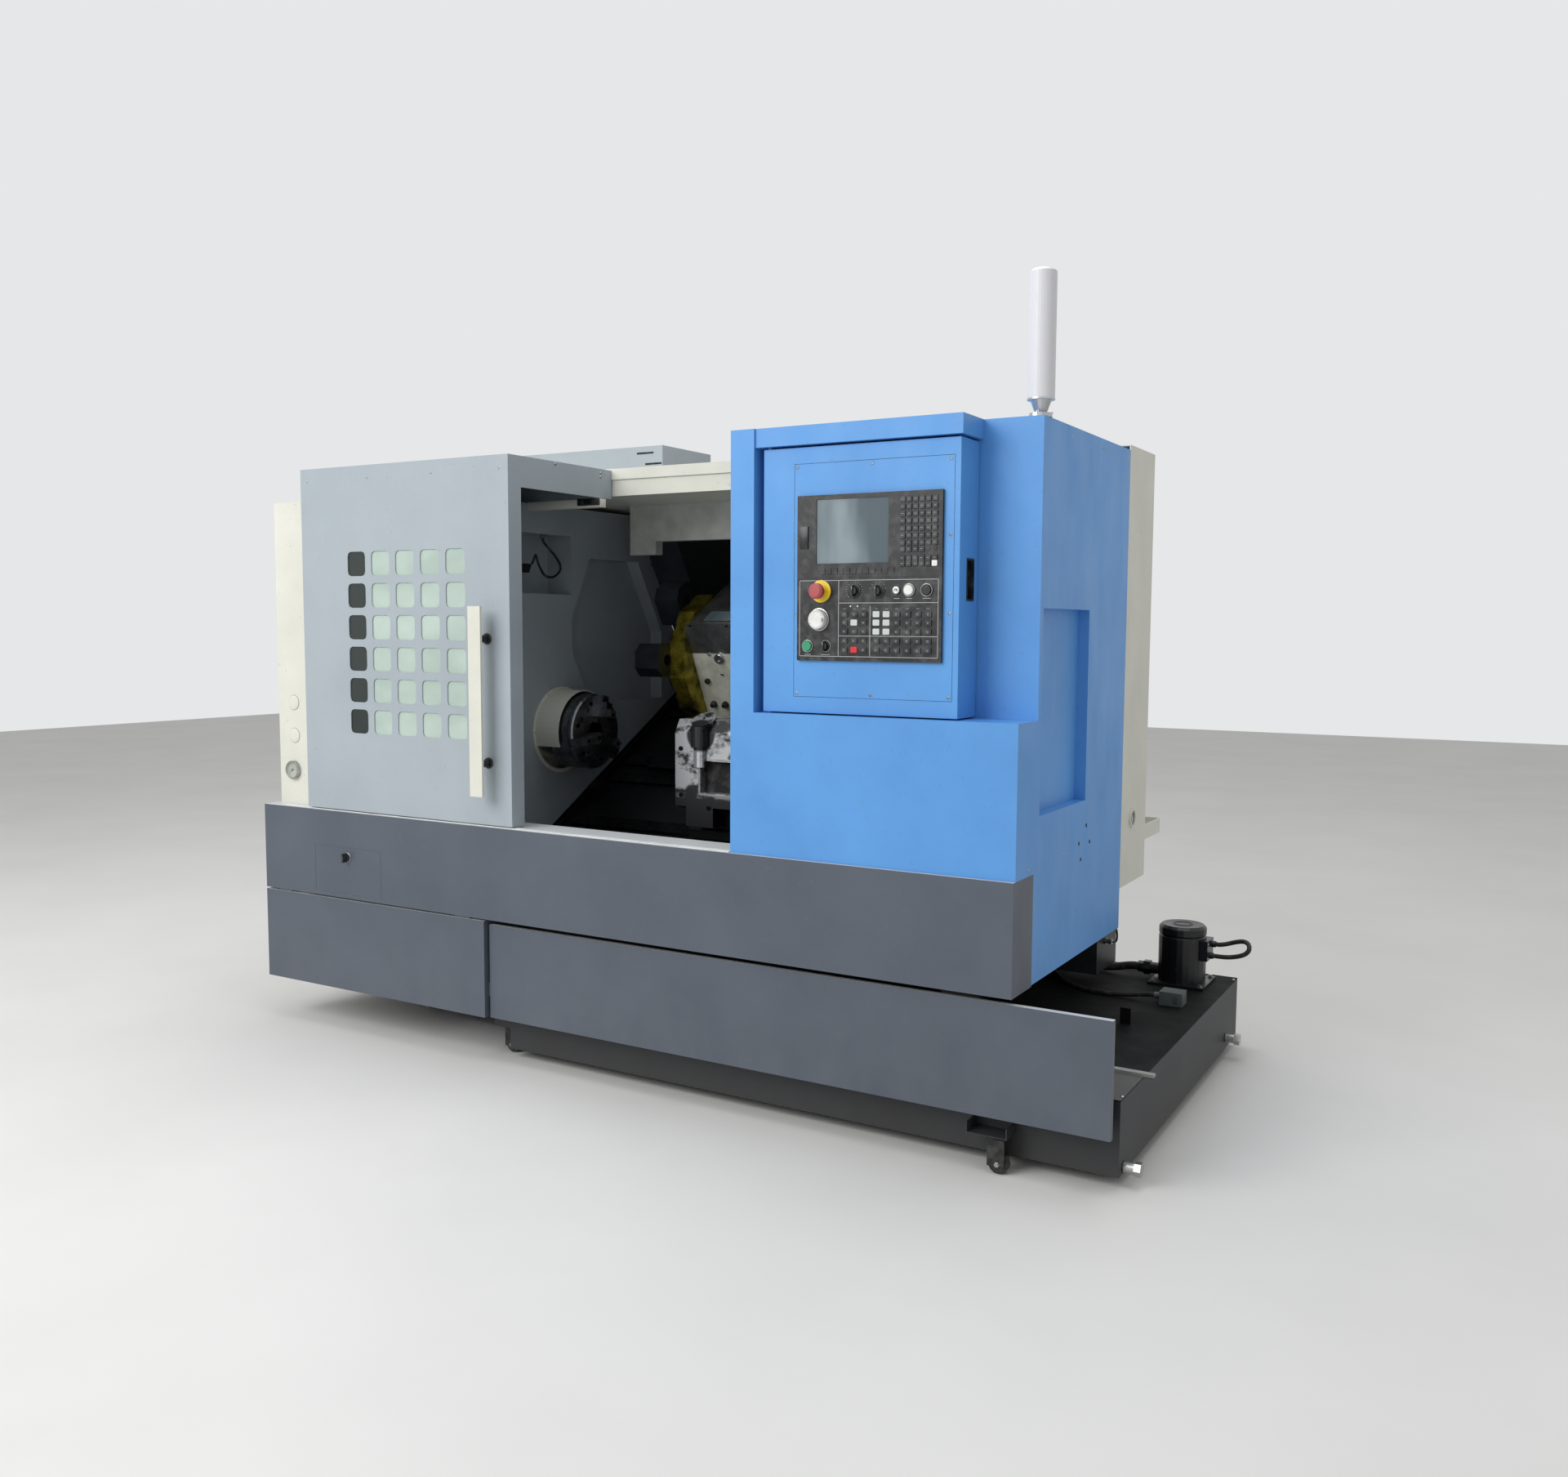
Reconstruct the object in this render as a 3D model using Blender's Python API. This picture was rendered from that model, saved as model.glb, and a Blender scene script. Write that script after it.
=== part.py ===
"""CNC turning lathe with a 30 degree slant bed, a sliding door and a roll-out coolant tank.

Run with: blender --background --python part.py
Lengths are metres. +X is the tank side, +Y the back of the machine, +Z up.
The machine datum, used by every size below, is the floor point under the front right corner
of the skirt. The last step moves that datum so that the model stands on its own centre.
"""
import math

import bmesh
import bpy
from mathutils import Matrix, Vector

# Common values
FIT = 0.0003
SHEET = 0.003
OVER = 0.010
RUN_PLAY = 0.0008
ROUND = 32
HIDDEN_ROUND = 24
SMALL_ROUND = 16
TINY_ROUND = 12
HEX = 6
WELD = 0.000002

# Front skirt, flap and lower left panel
MACHINE_LENGTH = 2.641
SKIRT_TOP = 0.720
SKIRT_BOTTOM = 0.440
SKIRT_DEPTH = 0.135
FLAP_FROM_END = 0.242
FLAP_WIDTH = 0.299
FLAP_BOTTOM = 0.452
FLAP_HEIGHT = 0.153
FLAP_PLAY = 0.0008
LATCH_FROM_TOP = 0.031
LATCH_RADIUS = 0.012
LATCH_PLATE = 0.006
WING_LENGTH = 0.028
WING_WIDTH = 0.007
WING_HEIGHT = 0.016
LOWER_PANEL_LENGTH = 0.972
LOWER_PANEL_BOTTOM = 0.138
LOWER_PANEL_TOP = 0.434
LOWER_PANEL_DEPTH = 0.050
TAB_WIDTH = 0.060
TAB_RISE = 0.040

# Left cover and the wall of the work space
COVER_INSET = 0.041
COVER_FRONT = 0.036
COVER_TOP = 1.715
COVER_BACK = 1.170
COVER_LOW = 0.140
HEAD_LENGTH = 0.802
PLINTH_FRONT = 0.140
GAUGE_FROM_END = 0.0685
GAUGE_HEIGHT = 0.8377
GAUGE_RADIUS = 0.029
GAUGE_DEPTH = 0.012
GAUGE_RIM = 0.004
LAMP_POCKET_FRONT = 0.330
LAMP_POCKET_WIDTH = 0.302
LAMP_POCKET_BOTTOM = 1.423
LAMP_POCKET_HEIGHT = 0.197
LAMP_POCKET_DEPTH = 0.105
TURRET_POCKET_DEPTH = 0.050
TURRET_POCKET = ((0.735, 1.550), (0.634, 1.345), (0.634, 1.226), (0.700, 1.107), (0.830, 1.050),
                 (1.155, 1.050), (1.155, 1.296), (1.009, 1.550))
WORK_LAMP_Y = 0.400
WORK_LAMP_Z = 1.492
WORK_LAMP_LENGTH = 0.075
WORK_LAMP_HEIGHT = 0.030
WORK_LAMP_DEPTH = 0.055
WORK_LAMP_STRAP = 0.016
WORK_LAMP_STRAP_RISE = 0.045
WORK_LAMP_STAND = 0.012
WALL_TOP = 1.712

# Slant bed: the plane through the way covers leans back by 30 degrees
SLANT = math.radians(30.0)
SLANT_Y = 0.545
SLANT_Z = 0.633
BED_LEFT_INSET = 0.341
BED_RIGHT = 0.310
BED_FRONT = 0.300
BED_BACK = 1.345
BED_BACK_LEFT = 1.150
BED_BELLY = 0.260
BED_SOLE = 0.050
LEFT_FOOT_LENGTH = 0.500
RIGHT_FOOT_X = -0.620
RIGHT_FOOT_LENGTH = 0.240
RIGHT_FOOT_FRONT = 0.450
RIGHT_FOOT_DEPTH = 0.500
PAD_RADIUS = 0.035
PAD_INSET = 0.070
REAR_CORNER_X = -0.100
REAR_CORNER_FRONT = 1.000
REAR_CORNER_DEPTH = 0.200
REAR_CORNER_HEIGHT = 0.190
RAIL_RISE = 0.012
RAIL_START = 0.049
RAIL_END = 0.020
TAIL_RAIL_A = 0.020
TAIL_RAIL_B = 0.270
TAIL_RAIL_WIDTH = 0.050
SADDLE_RAIL_C = 0.370
SADDLE_RAIL_D = 0.680
SADDLE_RAIL_WIDTH = 0.055
CHUTE_U = -0.300
BACK_WALL_U = 0.935
CHANNEL_WIDTH = 0.024
CHANNEL_RISE = 0.025
STOP_U = 0.180
STOP_SIZE = 0.050
STOP_RISE = 0.040

# Spindle, chuck and guard
SPINDLE_Y = 0.570
SPINDLE_Z = 0.967
SPINDLE_RADIUS = 0.0595
SPINDLE_BORE = 0.030
NOSE_RADIUS = 0.085
CHUCK_REACH = 0.149
CHUCK_LENGTH = 0.100
CHUCK_RADIUS = 0.125
CHUCK_BORE = 0.036
CHUCK_CHAMFER = 0.005
GUARD_FLANGE_RADIUS = 0.146
GUARD_FLANGE = 0.004
GUARD_RADIUS = 0.133
GUARD_LENGTH = 0.100
GUARD_DROP = math.radians(20.0)
HEAD_RADIUS = 0.150
HEAD_BODY_LENGTH = 0.400
HEAD_FRONT_GAP = 0.041
BEARING_CAP_RADIUS = 0.100
BEARING_CAP = 0.020
PEDESTAL_SHARES = ((-0.15, 0), (2.8, 0), (2.8, 0.15), (2.3, 0.35), (2.1, 1.35), (0.35, 1.35), (-0.15, 0.25))
PULLEY_RADIUS = 0.110
PULLEY_WIDTH = 0.070
PULLEY_GAP = 0.050
HUB_RADIUS = 0.050
HUB_LENGTH = 0.040
JAW_WIDTH = 0.030
JAW_DEPTH = 0.021
JAW_IN = 0.048
JAW_OUT = 0.118
JAW_STEP = 0.020
JAW_STEPS = 3
JAW_STEP_IN = 0.024
JAW_TOP_OUT = 0.122
COUNTERBORE_RADIUS = 0.010
COUNTERBORE_DEPTH = 0.012
COUNTERBORE_CIRCLE = 0.085
FIRST_JAW = math.radians(195.0)

# Spindle motor and belt
MOTOR_Y = 0.930
MOTOR_Z = 0.340
MOTOR_SIDE = 0.240
MOTOR_LENGTH = 0.340
MOTOR_CORNER = 0.030
MOTOR_FOOT = 0.030
MOTOR_SHAFT = 0.024
MOTOR_PULLEY_RADIUS = 0.070
BAY_MARGIN = 0.020
BELT_THICK = 0.008
BELT_PLAY = 0.0009
BELT_MARGIN = 0.005

# Carriage, cross slide and turret
SADDLE_LEFT = -1.440
SADDLE_LENGTH = 0.420
SADDLE_U = 0.355
SADDLE_U_END = 0.740
SADDLE_TOP_N = 0.055
DOVETAIL_WIDTH = 0.200
DOVETAIL_RISE = 0.020
DOVETAIL_FLARE = 0.015
WING_LEFT = -1.680
WING_RIGHT = -0.980
WING_BACK_U = 0.918
WING_TOP_N = 0.620
SLIDE_LEFT = -1.410
SLIDE_LENGTH = 0.320
SLIDE_U = 0.455
SLIDE_U_END = 0.790
SLIDE_TOP_N = 0.520
SLIDE_CAP_N = 0.425
SLIDE_HIP_N = 0.200
SLIDE_HIP = 0.018
SLIDE_TOE = 0.025
OIL_WINDOW_LENGTH = 0.120
OIL_WINDOW_WIDTH = 0.080
OIL_WINDOW_DEPTH = 0.012
OIL_WINDOW_MARGIN = 0.040
TURRET_U = 0.600
TURRET_N = 0.315
TURRET_RADIUS = 0.220
TURRET_THICK = 0.065
TURRET_SIDES = 12
STATION_SLOT_WIDTH = 0.024
STATION_SLOT_DEPTH = 0.010
STATION_SLOT_IN = 0.150
HOLDER_REACH = 0.288
HOLDER_IN = 0.165
HOLDER_HALF = 0.055
HOLDER_LENGTH = 0.088
HOLDER_BITE = 0.005
HOLDER_BORE = 0.020
HOLDER_CORNER = 0.028
TURRET_HUB = 0.090

# Feed screw of the saddle, in a groove of the bed
SCREW_U = 0.570
SCREW_N = -0.040
SCREW_RADIUS = 0.014
SCREW_LEFT = -1.760
SCREW_RIGHT = -0.450
SCREW_BEARING = 0.060
GROOVE_HALF = 0.035
GROOVE_DEPTH = 0.075
NUT_LEFT = -1.500
NUT_LENGTH = 0.060
NUT_HALF = 0.019
SADDLE_BACK = 0.150
SADDLE_FORTH = 0.410

# Tailstock
TAIL_LEFT = -1.290
TAIL_LENGTH = 0.290
TAIL_BASE_U = 0.005
TAIL_BASE_U_END = 0.335
QUILL_RADIUS = 0.035
QUILL_NOSE_RADIUS = 0.045
QUILL_NOSE_LENGTH = 0.040
QUILL_SOCKET = 0.012
QUILL_SOCKET_DEPTH = 0.080
TAIL_WINDOW_X = 0.095
TAIL_WINDOW_LENGTH = 0.110
TAIL_WINDOW_Z = 0.805
TAIL_WINDOW_HEIGHT = 0.100
TAIL_WINDOW_DEPTH = 0.030
TAIL_FRONT = 0.460
TAIL_TOP = 1.030
TAIL_SHARES = ((0.705, 0.114), (0.725, 0.587), (0.740, 0.728), (0.369, 0.942), (0.264, 0.886),
               (-0.025, 0.384), (0.075, 0.277))
TAIL_SHOE_BACK = 0.0324
TAIL_SHOE_FRONT = 0.036
QUILL_CHAMFER = 0.012
TAIL_CAP_RADIUS = 0.040
TAIL_CAP_RISE = 0.024
TAIL_CAP_X = 0.095
TAIL_CAP_Y = 0.490
TAIL_CAP_Z = 1.012
TAIL_BOSS_Y = 0.462
TAIL_BOSS_RADIUS = 0.032
TAIL_BOSS_BOTTOM = 0.948
TAIL_STEM_RADIUS = 0.023
TAIL_STEM_BOTTOM = 0.886
TAIL_BRACKET_X = 0.040
TAIL_BRACKET_LENGTH = 0.100
TAIL_BRACKET_Z = 0.698
TAIL_BRACKET_HEIGHT = 0.085
TAIL_BRACKET_DEPTH = 0.090

# Top frame, back guard and end wall
FRAME_FRONT = 0.490
FRAME_TOP = 1.8165
FRAME_BOTTOM = 1.731
FRAME_BACK = 1.165
FRAME_LIP = 0.034
FRAME_STEP = 0.006
FRAME_FOOT_DEPTH = 0.065
TOP_GUARD_Y = 0.800
TOP_GUARD_DEPTH = 0.040
TOP_GUARD_LEFT = 0.123
TOP_GUARD_LEG = 0.108
TOP_GUARD_LEG_BOTTOM = 1.562
TOP_GUARD_BOTTOM = 1.607
END_WALL_X = -0.440
END_WALL_FRONT = 0.160

# Sliding door
DOOR_FROM_END = 0.209
DOOR_WIDTH = 0.8755
DOOR_FRONT = 0.0055
DOOR_BOTTOM = 0.7265
DOOR_TOP = 1.811
DOOR_RETURN = 0.055
DOOR_LEFT_RETURN = 0.023
DOOR_HOOD = 0.0905
DOOR_HOOD_GAP = 0.0005
WINDOW_LEFT = 0.2075
WINDOW_BOTTOM = 0.976
WINDOW_COLUMNS = 5
WINDOW_ROWS = 6
CELL_WIDTH = 0.078
CELL_HEIGHT = 0.076
CELL_CORNER = 0.014
CELL_PITCH_X = 0.1044
CELL_PITCH_Z = 0.0988
PANE_MARGIN = 0.035
PANE_THICK = 0.004
HANDLE_FROM_EDGE = 0.0635
HANDLE_WIDTH = 0.048
HANDLE_BOTTOM = 0.817
HANDLE_LENGTH = 0.557
HANDLE_THICK = 0.008
HANDLE_STAND = 0.048
HANDLE_POST = 0.009
HANDLE_POST_INSET = 0.095

# Right housing
HOUSING_WIDTH = 0.799
HOUSING_FRONT = 0.0115
HOUSING_TOP = 1.825
HOUSING_BACK = 0.875
HOUSING_RECESS = 0.1455
SHELF_HEIGHT = 1.0957
PILLAR_WIDTH = 0.071
HEADER_HEIGHT = 0.048
HEADER_FRONT = 0.017
HEADER_END = 0.153
SIDE_BOTTOM = 0.444
SIDE_POCKET_FRONT = 0.169
SIDE_POCKET_WIDTH = 0.361
SIDE_POCKET_BOTTOM = 0.859
SIDE_POCKET_HEIGHT = 0.508
SIDE_POCKET_DEPTH = 0.030
POST_X = -0.025
POST_Y = 0.190
POST_FOOT = 0.028
POST_FOOT_HEIGHT = 0.010
POST_NECK = 0.014
POST_HEAD = 0.026
POST_HEIGHT = 0.041
LAMP_RADIUS = 0.033
LAMP_HEIGHT = 0.308
LAMP_DOME = 0.006

# Control head
HEAD_BOX_LEFT = 0.708
HEAD_BOX_RIGHT = 0.162
HEAD_BOX_FRONT = 0.029
HEAD_BOX_BACK_GAP = 0.003
HEAD_BOX_LIFT = 0.004
HEAD_BOX_HEIGHT = 0.6715
HINGE_INSET = 0.012
HINGE_PIN = 0.006
GRIP_Y = 0.0745
GRIP_WIDTH = 0.041
GRIP_Z = 1.3857
GRIP_HEIGHT = 0.099
GRIP_DEPTH = 0.020
UNIT_LEFT = 0.6035
UNIT_WIDTH = 0.400
UNIT_THICK = 0.008
UNIT_SPLIT = 1.4432
UNIT_TOP = 1.649
PANEL_BOTTOM = 1.234
SCREEN_DEPTH = 0.003
KEY_SIZE = 0.0085
KEY_RISE = 0.0015
KEY_ROOT = 0.001
SOFT_KEY_WIDTH = 0.012
SOFT_KEYS = 12
SCREEN_SHARES = (0.137, 0.168, 0.641, 0.945)
CARD_SHARES = (0.020, 0.356, 0.080, 0.625)
SOFT_KEY_SHARES = (0.187, 0.668, 0.091)
MDI_X_SHARES = (0.737, 0.780, 0.823, 0.866, 0.909, 0.952)
MDI_Z_SHARES = (0.905, 0.820, 0.735, 0.650, 0.565, 0.480, 0.395, 0.320, 0.215, 0.150)
KEY_X_SHARES = (0.343, 0.411, 0.477, 0.565, 0.634, 0.703, 0.775, 0.845, 0.914)
KEY_Z_SHARES = (0.561, 0.462, 0.356, 0.247, 0.138)
ESTOP_SHARE = (0.176, 0.836)
WHEEL_SHARE = (0.163, 0.497)
START_SHARE = (0.080, 0.175)
SELECTOR_SHARE = (0.208, 0.178)
FEED_SHARE = (0.410, 0.841)
MODE_SHARE = (0.572, 0.838)
HOLD_SHARE = (0.785, 0.842)
POWER_SHARE = (0.902, 0.840)
LOCK_SHARE = (0.701, 0.839)
ESTOP_RADIUS = 0.020
ESTOP_STEM = 0.011
ESTOP_HEIGHT = 0.036
ESTOP_HEAD = 0.014
ESTOP_CROWN = 0.014
ESTOP_CURVE = 0.0047
ESTOP_RING = 0.028
RING_RISE = 0.002
BUTTON_RADIUS = 0.0125
BUTTON_HEIGHT = 0.007
BUTTON_BEZEL = 0.0158
BUTTON_HOLE = 0.0065
BUTTON_ROOT = 0.0025
BUTTON_PLAY = 0.0004
WHEEL_RADIUS = 0.0235
WHEEL_BEZEL = 0.0285
WHEEL_HEIGHT = 0.016
WHEEL_GRIP = 0.005
WHEEL_GRIP_RISE = 0.010
WHEEL_GRIP_CIRCLE = 0.017
KNOB_RADIUS = 0.014
KNOB_HEIGHT = 0.016
KNOB_BAR = 0.005
KNOB_SKIRT = 0.004
KNOB_STEP = 0.0032
KNOB_BODY_SHARE = 0.75
BAR_TOP_SHARE = 0.9
SELECTOR_RADIUS = 0.0125
LOCK_RADIUS = 0.009
LOCK_RISE = 0.004

# Rear right cover
REAR_COVER_WIDTH = 0.300
REAR_COVER_BACK = 1.135
REAR_COVER_BOTTOM = 0.560
REAR_COVER_TOP = 1.840
TRAY_LENGTH = 0.175
TRAY_WIDTH = 0.100
TRAY_Z = 0.670
TRAY_HEIGHT = 0.046
SIGHT_Y = 0.982
SIGHT_Z = 0.756
SIGHT_RADIUS = 0.028
SIGHT_BORE = 0.022
SIGHT_RISE = 0.006

# Electrical cabinet
CABINET_FRONT_GAP = 0.005
CABINET_BACK = 1.497
CABINET_BOTTOM = 0.600
CABINET_TOP = 1.990
CABINET_RIGHT_GAP = 0.007
DRIVE_DEPTH = 0.180
DRIVE_HEIGHT = 0.380
DRIVE_WIDTH = 0.090
DRIVE_PITCH = 0.110
DRIVE_COUNT = 4
DRIVE_Z = 1.350
TRANSFORMER_SIZE = 0.200
SWITCH_FROM_EDGE = 0.110
SWITCH_Z = 1.400
SWITCH_RADIUS = 0.030
SWITCH_HEIGHT = 0.012
SWITCH_BAR = 0.010
SWITCH_RISE = 0.018

# Coolant tank
TANK_LEFT = -1.637
TANK_RIGHT = 0.246
TANK_FRONT = 0.075
TANK_BACK = 1.358
TANK_BOTTOM = 0.030
TANK_TOP = 0.2144
SLOT_FRONT = 0.420
SLOT_DEPTH = 0.560
SLOT_END = -0.300
LID_BAR_LENGTH = 0.100
LID_BAR_REACH = 0.025
LID_BAR_Y = 0.268
LID_BAR_WIDTH = 0.020
LID_BAR_HEIGHT = 0.008
LID_EAR_X = 0.066
LID_EAR_Y = 0.684
LID_EAR_WIDTH = 0.030
LID_EAR_HEIGHT = 0.045
APRON_LEFT = -1.661
APRON_RIGHT = 0.241
APRON_FRONT = 0.015
APRON_BOTTOM = 0.137
APRON_TOP = 0.422
APRON_LIP = 0.018
APRON_TAB_Z = 0.150
APRON_TAB_HEIGHT = 0.050
APRON_TABS = 4
APRON_STOP_HEIGHT = 0.040
PLUG_RADIUS = 0.014
PLUG_REACH = 0.044
PLUG_HEX = 0.018
PLUG_HEX_LENGTH = 0.016
PLUG_Y = 0.112
PLUG_Z = 0.046
REAR_PLUG_Y = 1.203
REAR_PLUG_Z = 0.066
CASTER_CHANNEL = 0.106
CASTER_CHANNEL_Z = 0.090
CASTER_CHANNEL_HEIGHT = 0.028
CASTER_CHANNEL_DEPTH = 0.063
CASTER_CHANNEL_X = -0.0625
CASTER_REAR_X = 0.0
CASTER_REACH = 0.045
CASTER_SHIFT = 0.0125
CASTER_HEAD = 0.0175
CASTER_FORK_WIDTH = 0.034
CASTER_FORK_LENGTH = 0.034
CASTER_FORK_BACK = 0.010
CASTER_WHEEL = 0.025
CASTER_TREAD = 0.020
CASTER_TRAIL = 0.016
CASTER_SIDE_Y = 0.130

# Pump
PUMP_X = 0.105
PUMP_Y = 1.219
PUMP_FLANGE = 0.170
PUMP_FLANGE_THICK = 0.008
PUMP_RADIUS = 0.0715
PUMP_BODY = 0.148
PUMP_CAP = 0.032
PUMP_WAIST = 0.004
TERMINAL_END = 0.190
TERMINAL_DEPTH = 0.080
TERMINAL_HEIGHT = 0.062
TERMINAL_Z = 0.300
TERMINAL_GLAND = 0.010
OUTLET_Z = 0.250
OUTLET_RADIUS = 0.018
OUTLET_HEX = 0.024
OUTLET_REACH = 0.045
OUTLET_HEX_LENGTH = 0.020
CONNECTOR_X = 0.112
CONNECTOR_Y = 0.924
CONNECTOR_LENGTH = 0.066
CONNECTOR_WIDTH = 0.056
CONNECTOR_HEIGHT = 0.040
CABLE_RADIUS = 0.007
HOSE_RADIUS = 0.0125
CORD_STEP_SHARE = 4
PUMP_CABLE_POINTS = (
    (0.2033, 1.236, 0.345), (0.2133, 1.236, 0.345), (0.235, 1.236, 0.350), (0.262, 1.232, 0.360),
    (0.287, 1.226, 0.366), (0.303, 1.217, 0.361), (0.307, 1.209, 0.347), (0.297, 1.203, 0.333),
    (0.274, 1.202, 0.323), (0.245, 1.202, 0.317), (0.2133, 1.202, 0.316), (0.2033, 1.202, 0.316),
)
SENSOR_CABLE_POINTS = (
    (0.0912, 0.952, 0.2374), (0.0812, 0.952, 0.2374), (0.060, 0.953, 0.2345), (0.020, 0.951, 0.2285),
    (-0.030, 0.9465, 0.2252), (-0.080, 0.946, 0.2250), (-0.130, 0.958, 0.2250), (-0.180, 0.990, 0.2250),
    (-0.215, 1.027, 0.2250), (-0.252, 1.078, 0.2250), (-0.290, 1.118, 0.2250), (-0.350, 1.140, 0.2250),
    (-0.420, 1.144, 0.2250), (-0.490, 1.140, 0.2250), (-0.560, 1.134, 0.2250), (-0.630, 1.130, 0.2250),
)
HOSE_POINTS = (
    (-0.0298, 1.219, 0.250), (-0.0398, 1.219, 0.250), (-0.060, 1.219, 0.248), (-0.090, 1.220, 0.241),
    (-0.125, 1.221, 0.234), (-0.160, 1.223, 0.2310), (-0.210, 1.226, 0.2305), (-0.270, 1.228, 0.2305),
    (-0.340, 1.228, 0.2305), (-0.410, 1.225, 0.2305), (-0.480, 1.219, 0.2305), (-0.550, 1.210, 0.2305),
    (-0.620, 1.200, 0.2305),
)

# Derived places
LEFT = -MACHINE_LENGTH
COVER_X = LEFT + COVER_INSET
WALL_X = LEFT + HEAD_LENGTH
CHUCK_FACE = WALL_X + CHUCK_REACH
CHUCK_BACK = CHUCK_FACE - CHUCK_LENGTH
BED_TOP_N = -SHEET - FIT
RAIL_TOP_N = RAIL_RISE
RAIL_X0 = WALL_X + RAIL_START
RAIL_X1 = END_WALL_X - RAIL_END
FLAP_X0 = LEFT + FLAP_FROM_END
FLAP_X1 = FLAP_X0 + FLAP_WIDTH
DOOR_X0 = LEFT + DOOR_FROM_END
DOOR_X1 = DOOR_X0 + DOOR_WIDTH
HEAD_BOX_Z0 = SHELF_HEIGHT + HEAD_BOX_LIFT
HEAD_BOX_Z1 = HEAD_BOX_Z0 + HEAD_BOX_HEIGHT
HEAD_BOX_BACK = HOUSING_RECESS - HEAD_BOX_BACK_GAP
UNIT_BACK = HEAD_BOX_FRONT - FIT
UNIT_FRONT = UNIT_BACK - UNIT_THICK
LID_TOP = TANK_TOP + FIT + SHEET
HEAD_X1 = WALL_X - HEAD_FRONT_GAP
HEAD_X0 = HEAD_X1 - HEAD_BODY_LENGTH
PULLEY_X1 = HEAD_X0 - PULLEY_GAP
PULLEY_X0 = PULLEY_X1 - PULLEY_WIDTH
BED_X0 = LEFT + BED_LEFT_INSET
BED_X1 = -BED_RIGHT
CABINET_FRONT = COVER_BACK + CABINET_FRONT_GAP
CABINET_X1 = WALL_X - CABINET_RIGHT_GAP
X_LEFT_END = LEFT
X_RIGHT_END = TANK_RIGHT + PLUG_REACH
Y_FRONT_END = DOOR_FRONT - HANDLE_STAND - HANDLE_THICK
Y_BACK_END = CABINET_BACK + FIT + SHEET + FIT + SWITCH_HEIGHT + SWITCH_RISE
ORIGIN_SHIFT = Vector((-(X_LEFT_END + X_RIGHT_END) / 2, -(Y_FRONT_END + Y_BACK_END) / 2, 0))


def srgb(code):
    """Turn a colour code such as 8FA3AD into linear RGBA."""
    out = []
    for start in (0, 2, 4):
        value = int(code[start:start + 2], 16) / 255
        out.append(value / 12.92 if value <= 0.04045 else ((value + 0.055) / 1.055) ** 2.4)
    return (*out, 1)


FINISHES = {
    "slate_paint": ("5F6772", 0.45, 0.0),
    "door_paint": ("AAB5BA", 0.40, 0.0),
    "blue_paint": ("5A93D2", 0.40, 0.0),
    "cream_paint": ("E4E4DA", 0.45, 0.0),
    "grey_paint": ("9A9F9C", 0.45, 0.0),
    "tank_paint": ("3A414B", 0.50, 0.0),
    "black_paint": ("1C1D1F", 0.55, 0.0),
    "cast_paint": ("D9D8CC", 0.55, 0.0),
    "bare_iron": ("8C8A86", 0.45, 0.8),
    "dark_steel": ("34363A", 0.40, 0.8),
    "bright_steel": ("B9BBBD", 0.25, 1.0),
    "oiled_steel": ("A08A2C", 0.30, 0.9),
    "glass": ("DDEBE2", 0.05, 0.0),
    "opal": ("F1F1F4", 0.35, 0.0),
    "aluminium": ("C9CBCD", 0.30, 1.0),
    "black_plastic": ("17181A", 0.45, 0.0),
    "white_plastic": ("ECECEA", 0.35, 0.0),
    "red_plastic": ("B5272B", 0.35, 0.0),
    "green_plastic": ("159A6A", 0.35, 0.0),
    "rubber": ("151515", 0.80, 0.0),
}


def clear_scene():
    """Remove whatever the open file holds."""
    for item in list(bpy.data.objects):
        bpy.data.objects.remove(item, do_unlink=True)


def make_material(finish):
    """One Principled material for one finish."""
    code, roughness, metallic = FINISHES[finish]
    mat = bpy.data.materials.get(finish) or bpy.data.materials.new(finish)
    mat.use_nodes = True
    shader = mat.node_tree.nodes["Principled BSDF"]
    shader.inputs["Base Color"].default_value = srgb(code)
    shader.inputs["Roughness"].default_value = roughness
    shader.inputs["Metallic"].default_value = metallic
    return mat


def to_object(bm, name="solid"):
    """Close a bmesh into an object with its faces pointing out."""
    bmesh.ops.recalc_face_normals(bm, faces=bm.faces)
    mesh = bpy.data.meshes.new(name)
    bm.to_mesh(mesh)
    bm.free()
    item = bpy.data.objects.new(name, mesh)
    bpy.context.scene.collection.objects.link(item)
    return item


def box(lo, hi):
    """A block between two corners."""
    bm = bmesh.new()
    bmesh.ops.create_cube(bm, size=1)
    size = Vector(hi) - Vector(lo)
    centre = (Vector(hi) + Vector(lo)) / 2
    bmesh.ops.transform(bm, matrix=Matrix.Translation(centre) @ Matrix.Diagonal((*size, 1)), verts=bm.verts)
    return to_object(bm)


def prism(outline, axis, start, end):
    """Extrude an outline along X, Y or Z; its points are the other two coordinates in order."""
    place = {
        "X": lambda a, b, t: (t, a, b),
        "Y": lambda a, b, t: (a, t, b),
        "Z": lambda a, b, t: (a, b, t),
    }[axis]
    bm = bmesh.new()
    face = bm.faces.new([bm.verts.new(place(a, b, start)) for a, b in outline])
    top = bmesh.ops.extrude_face_region(bm, geom=[face])
    moved = [item for item in top["geom"] if isinstance(item, bmesh.types.BMVert)]
    step = Vector(place(0, 0, end)) - Vector(place(0, 0, start))
    bmesh.ops.translate(bm, verts=moved, vec=step)
    return to_object(bm)


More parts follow.
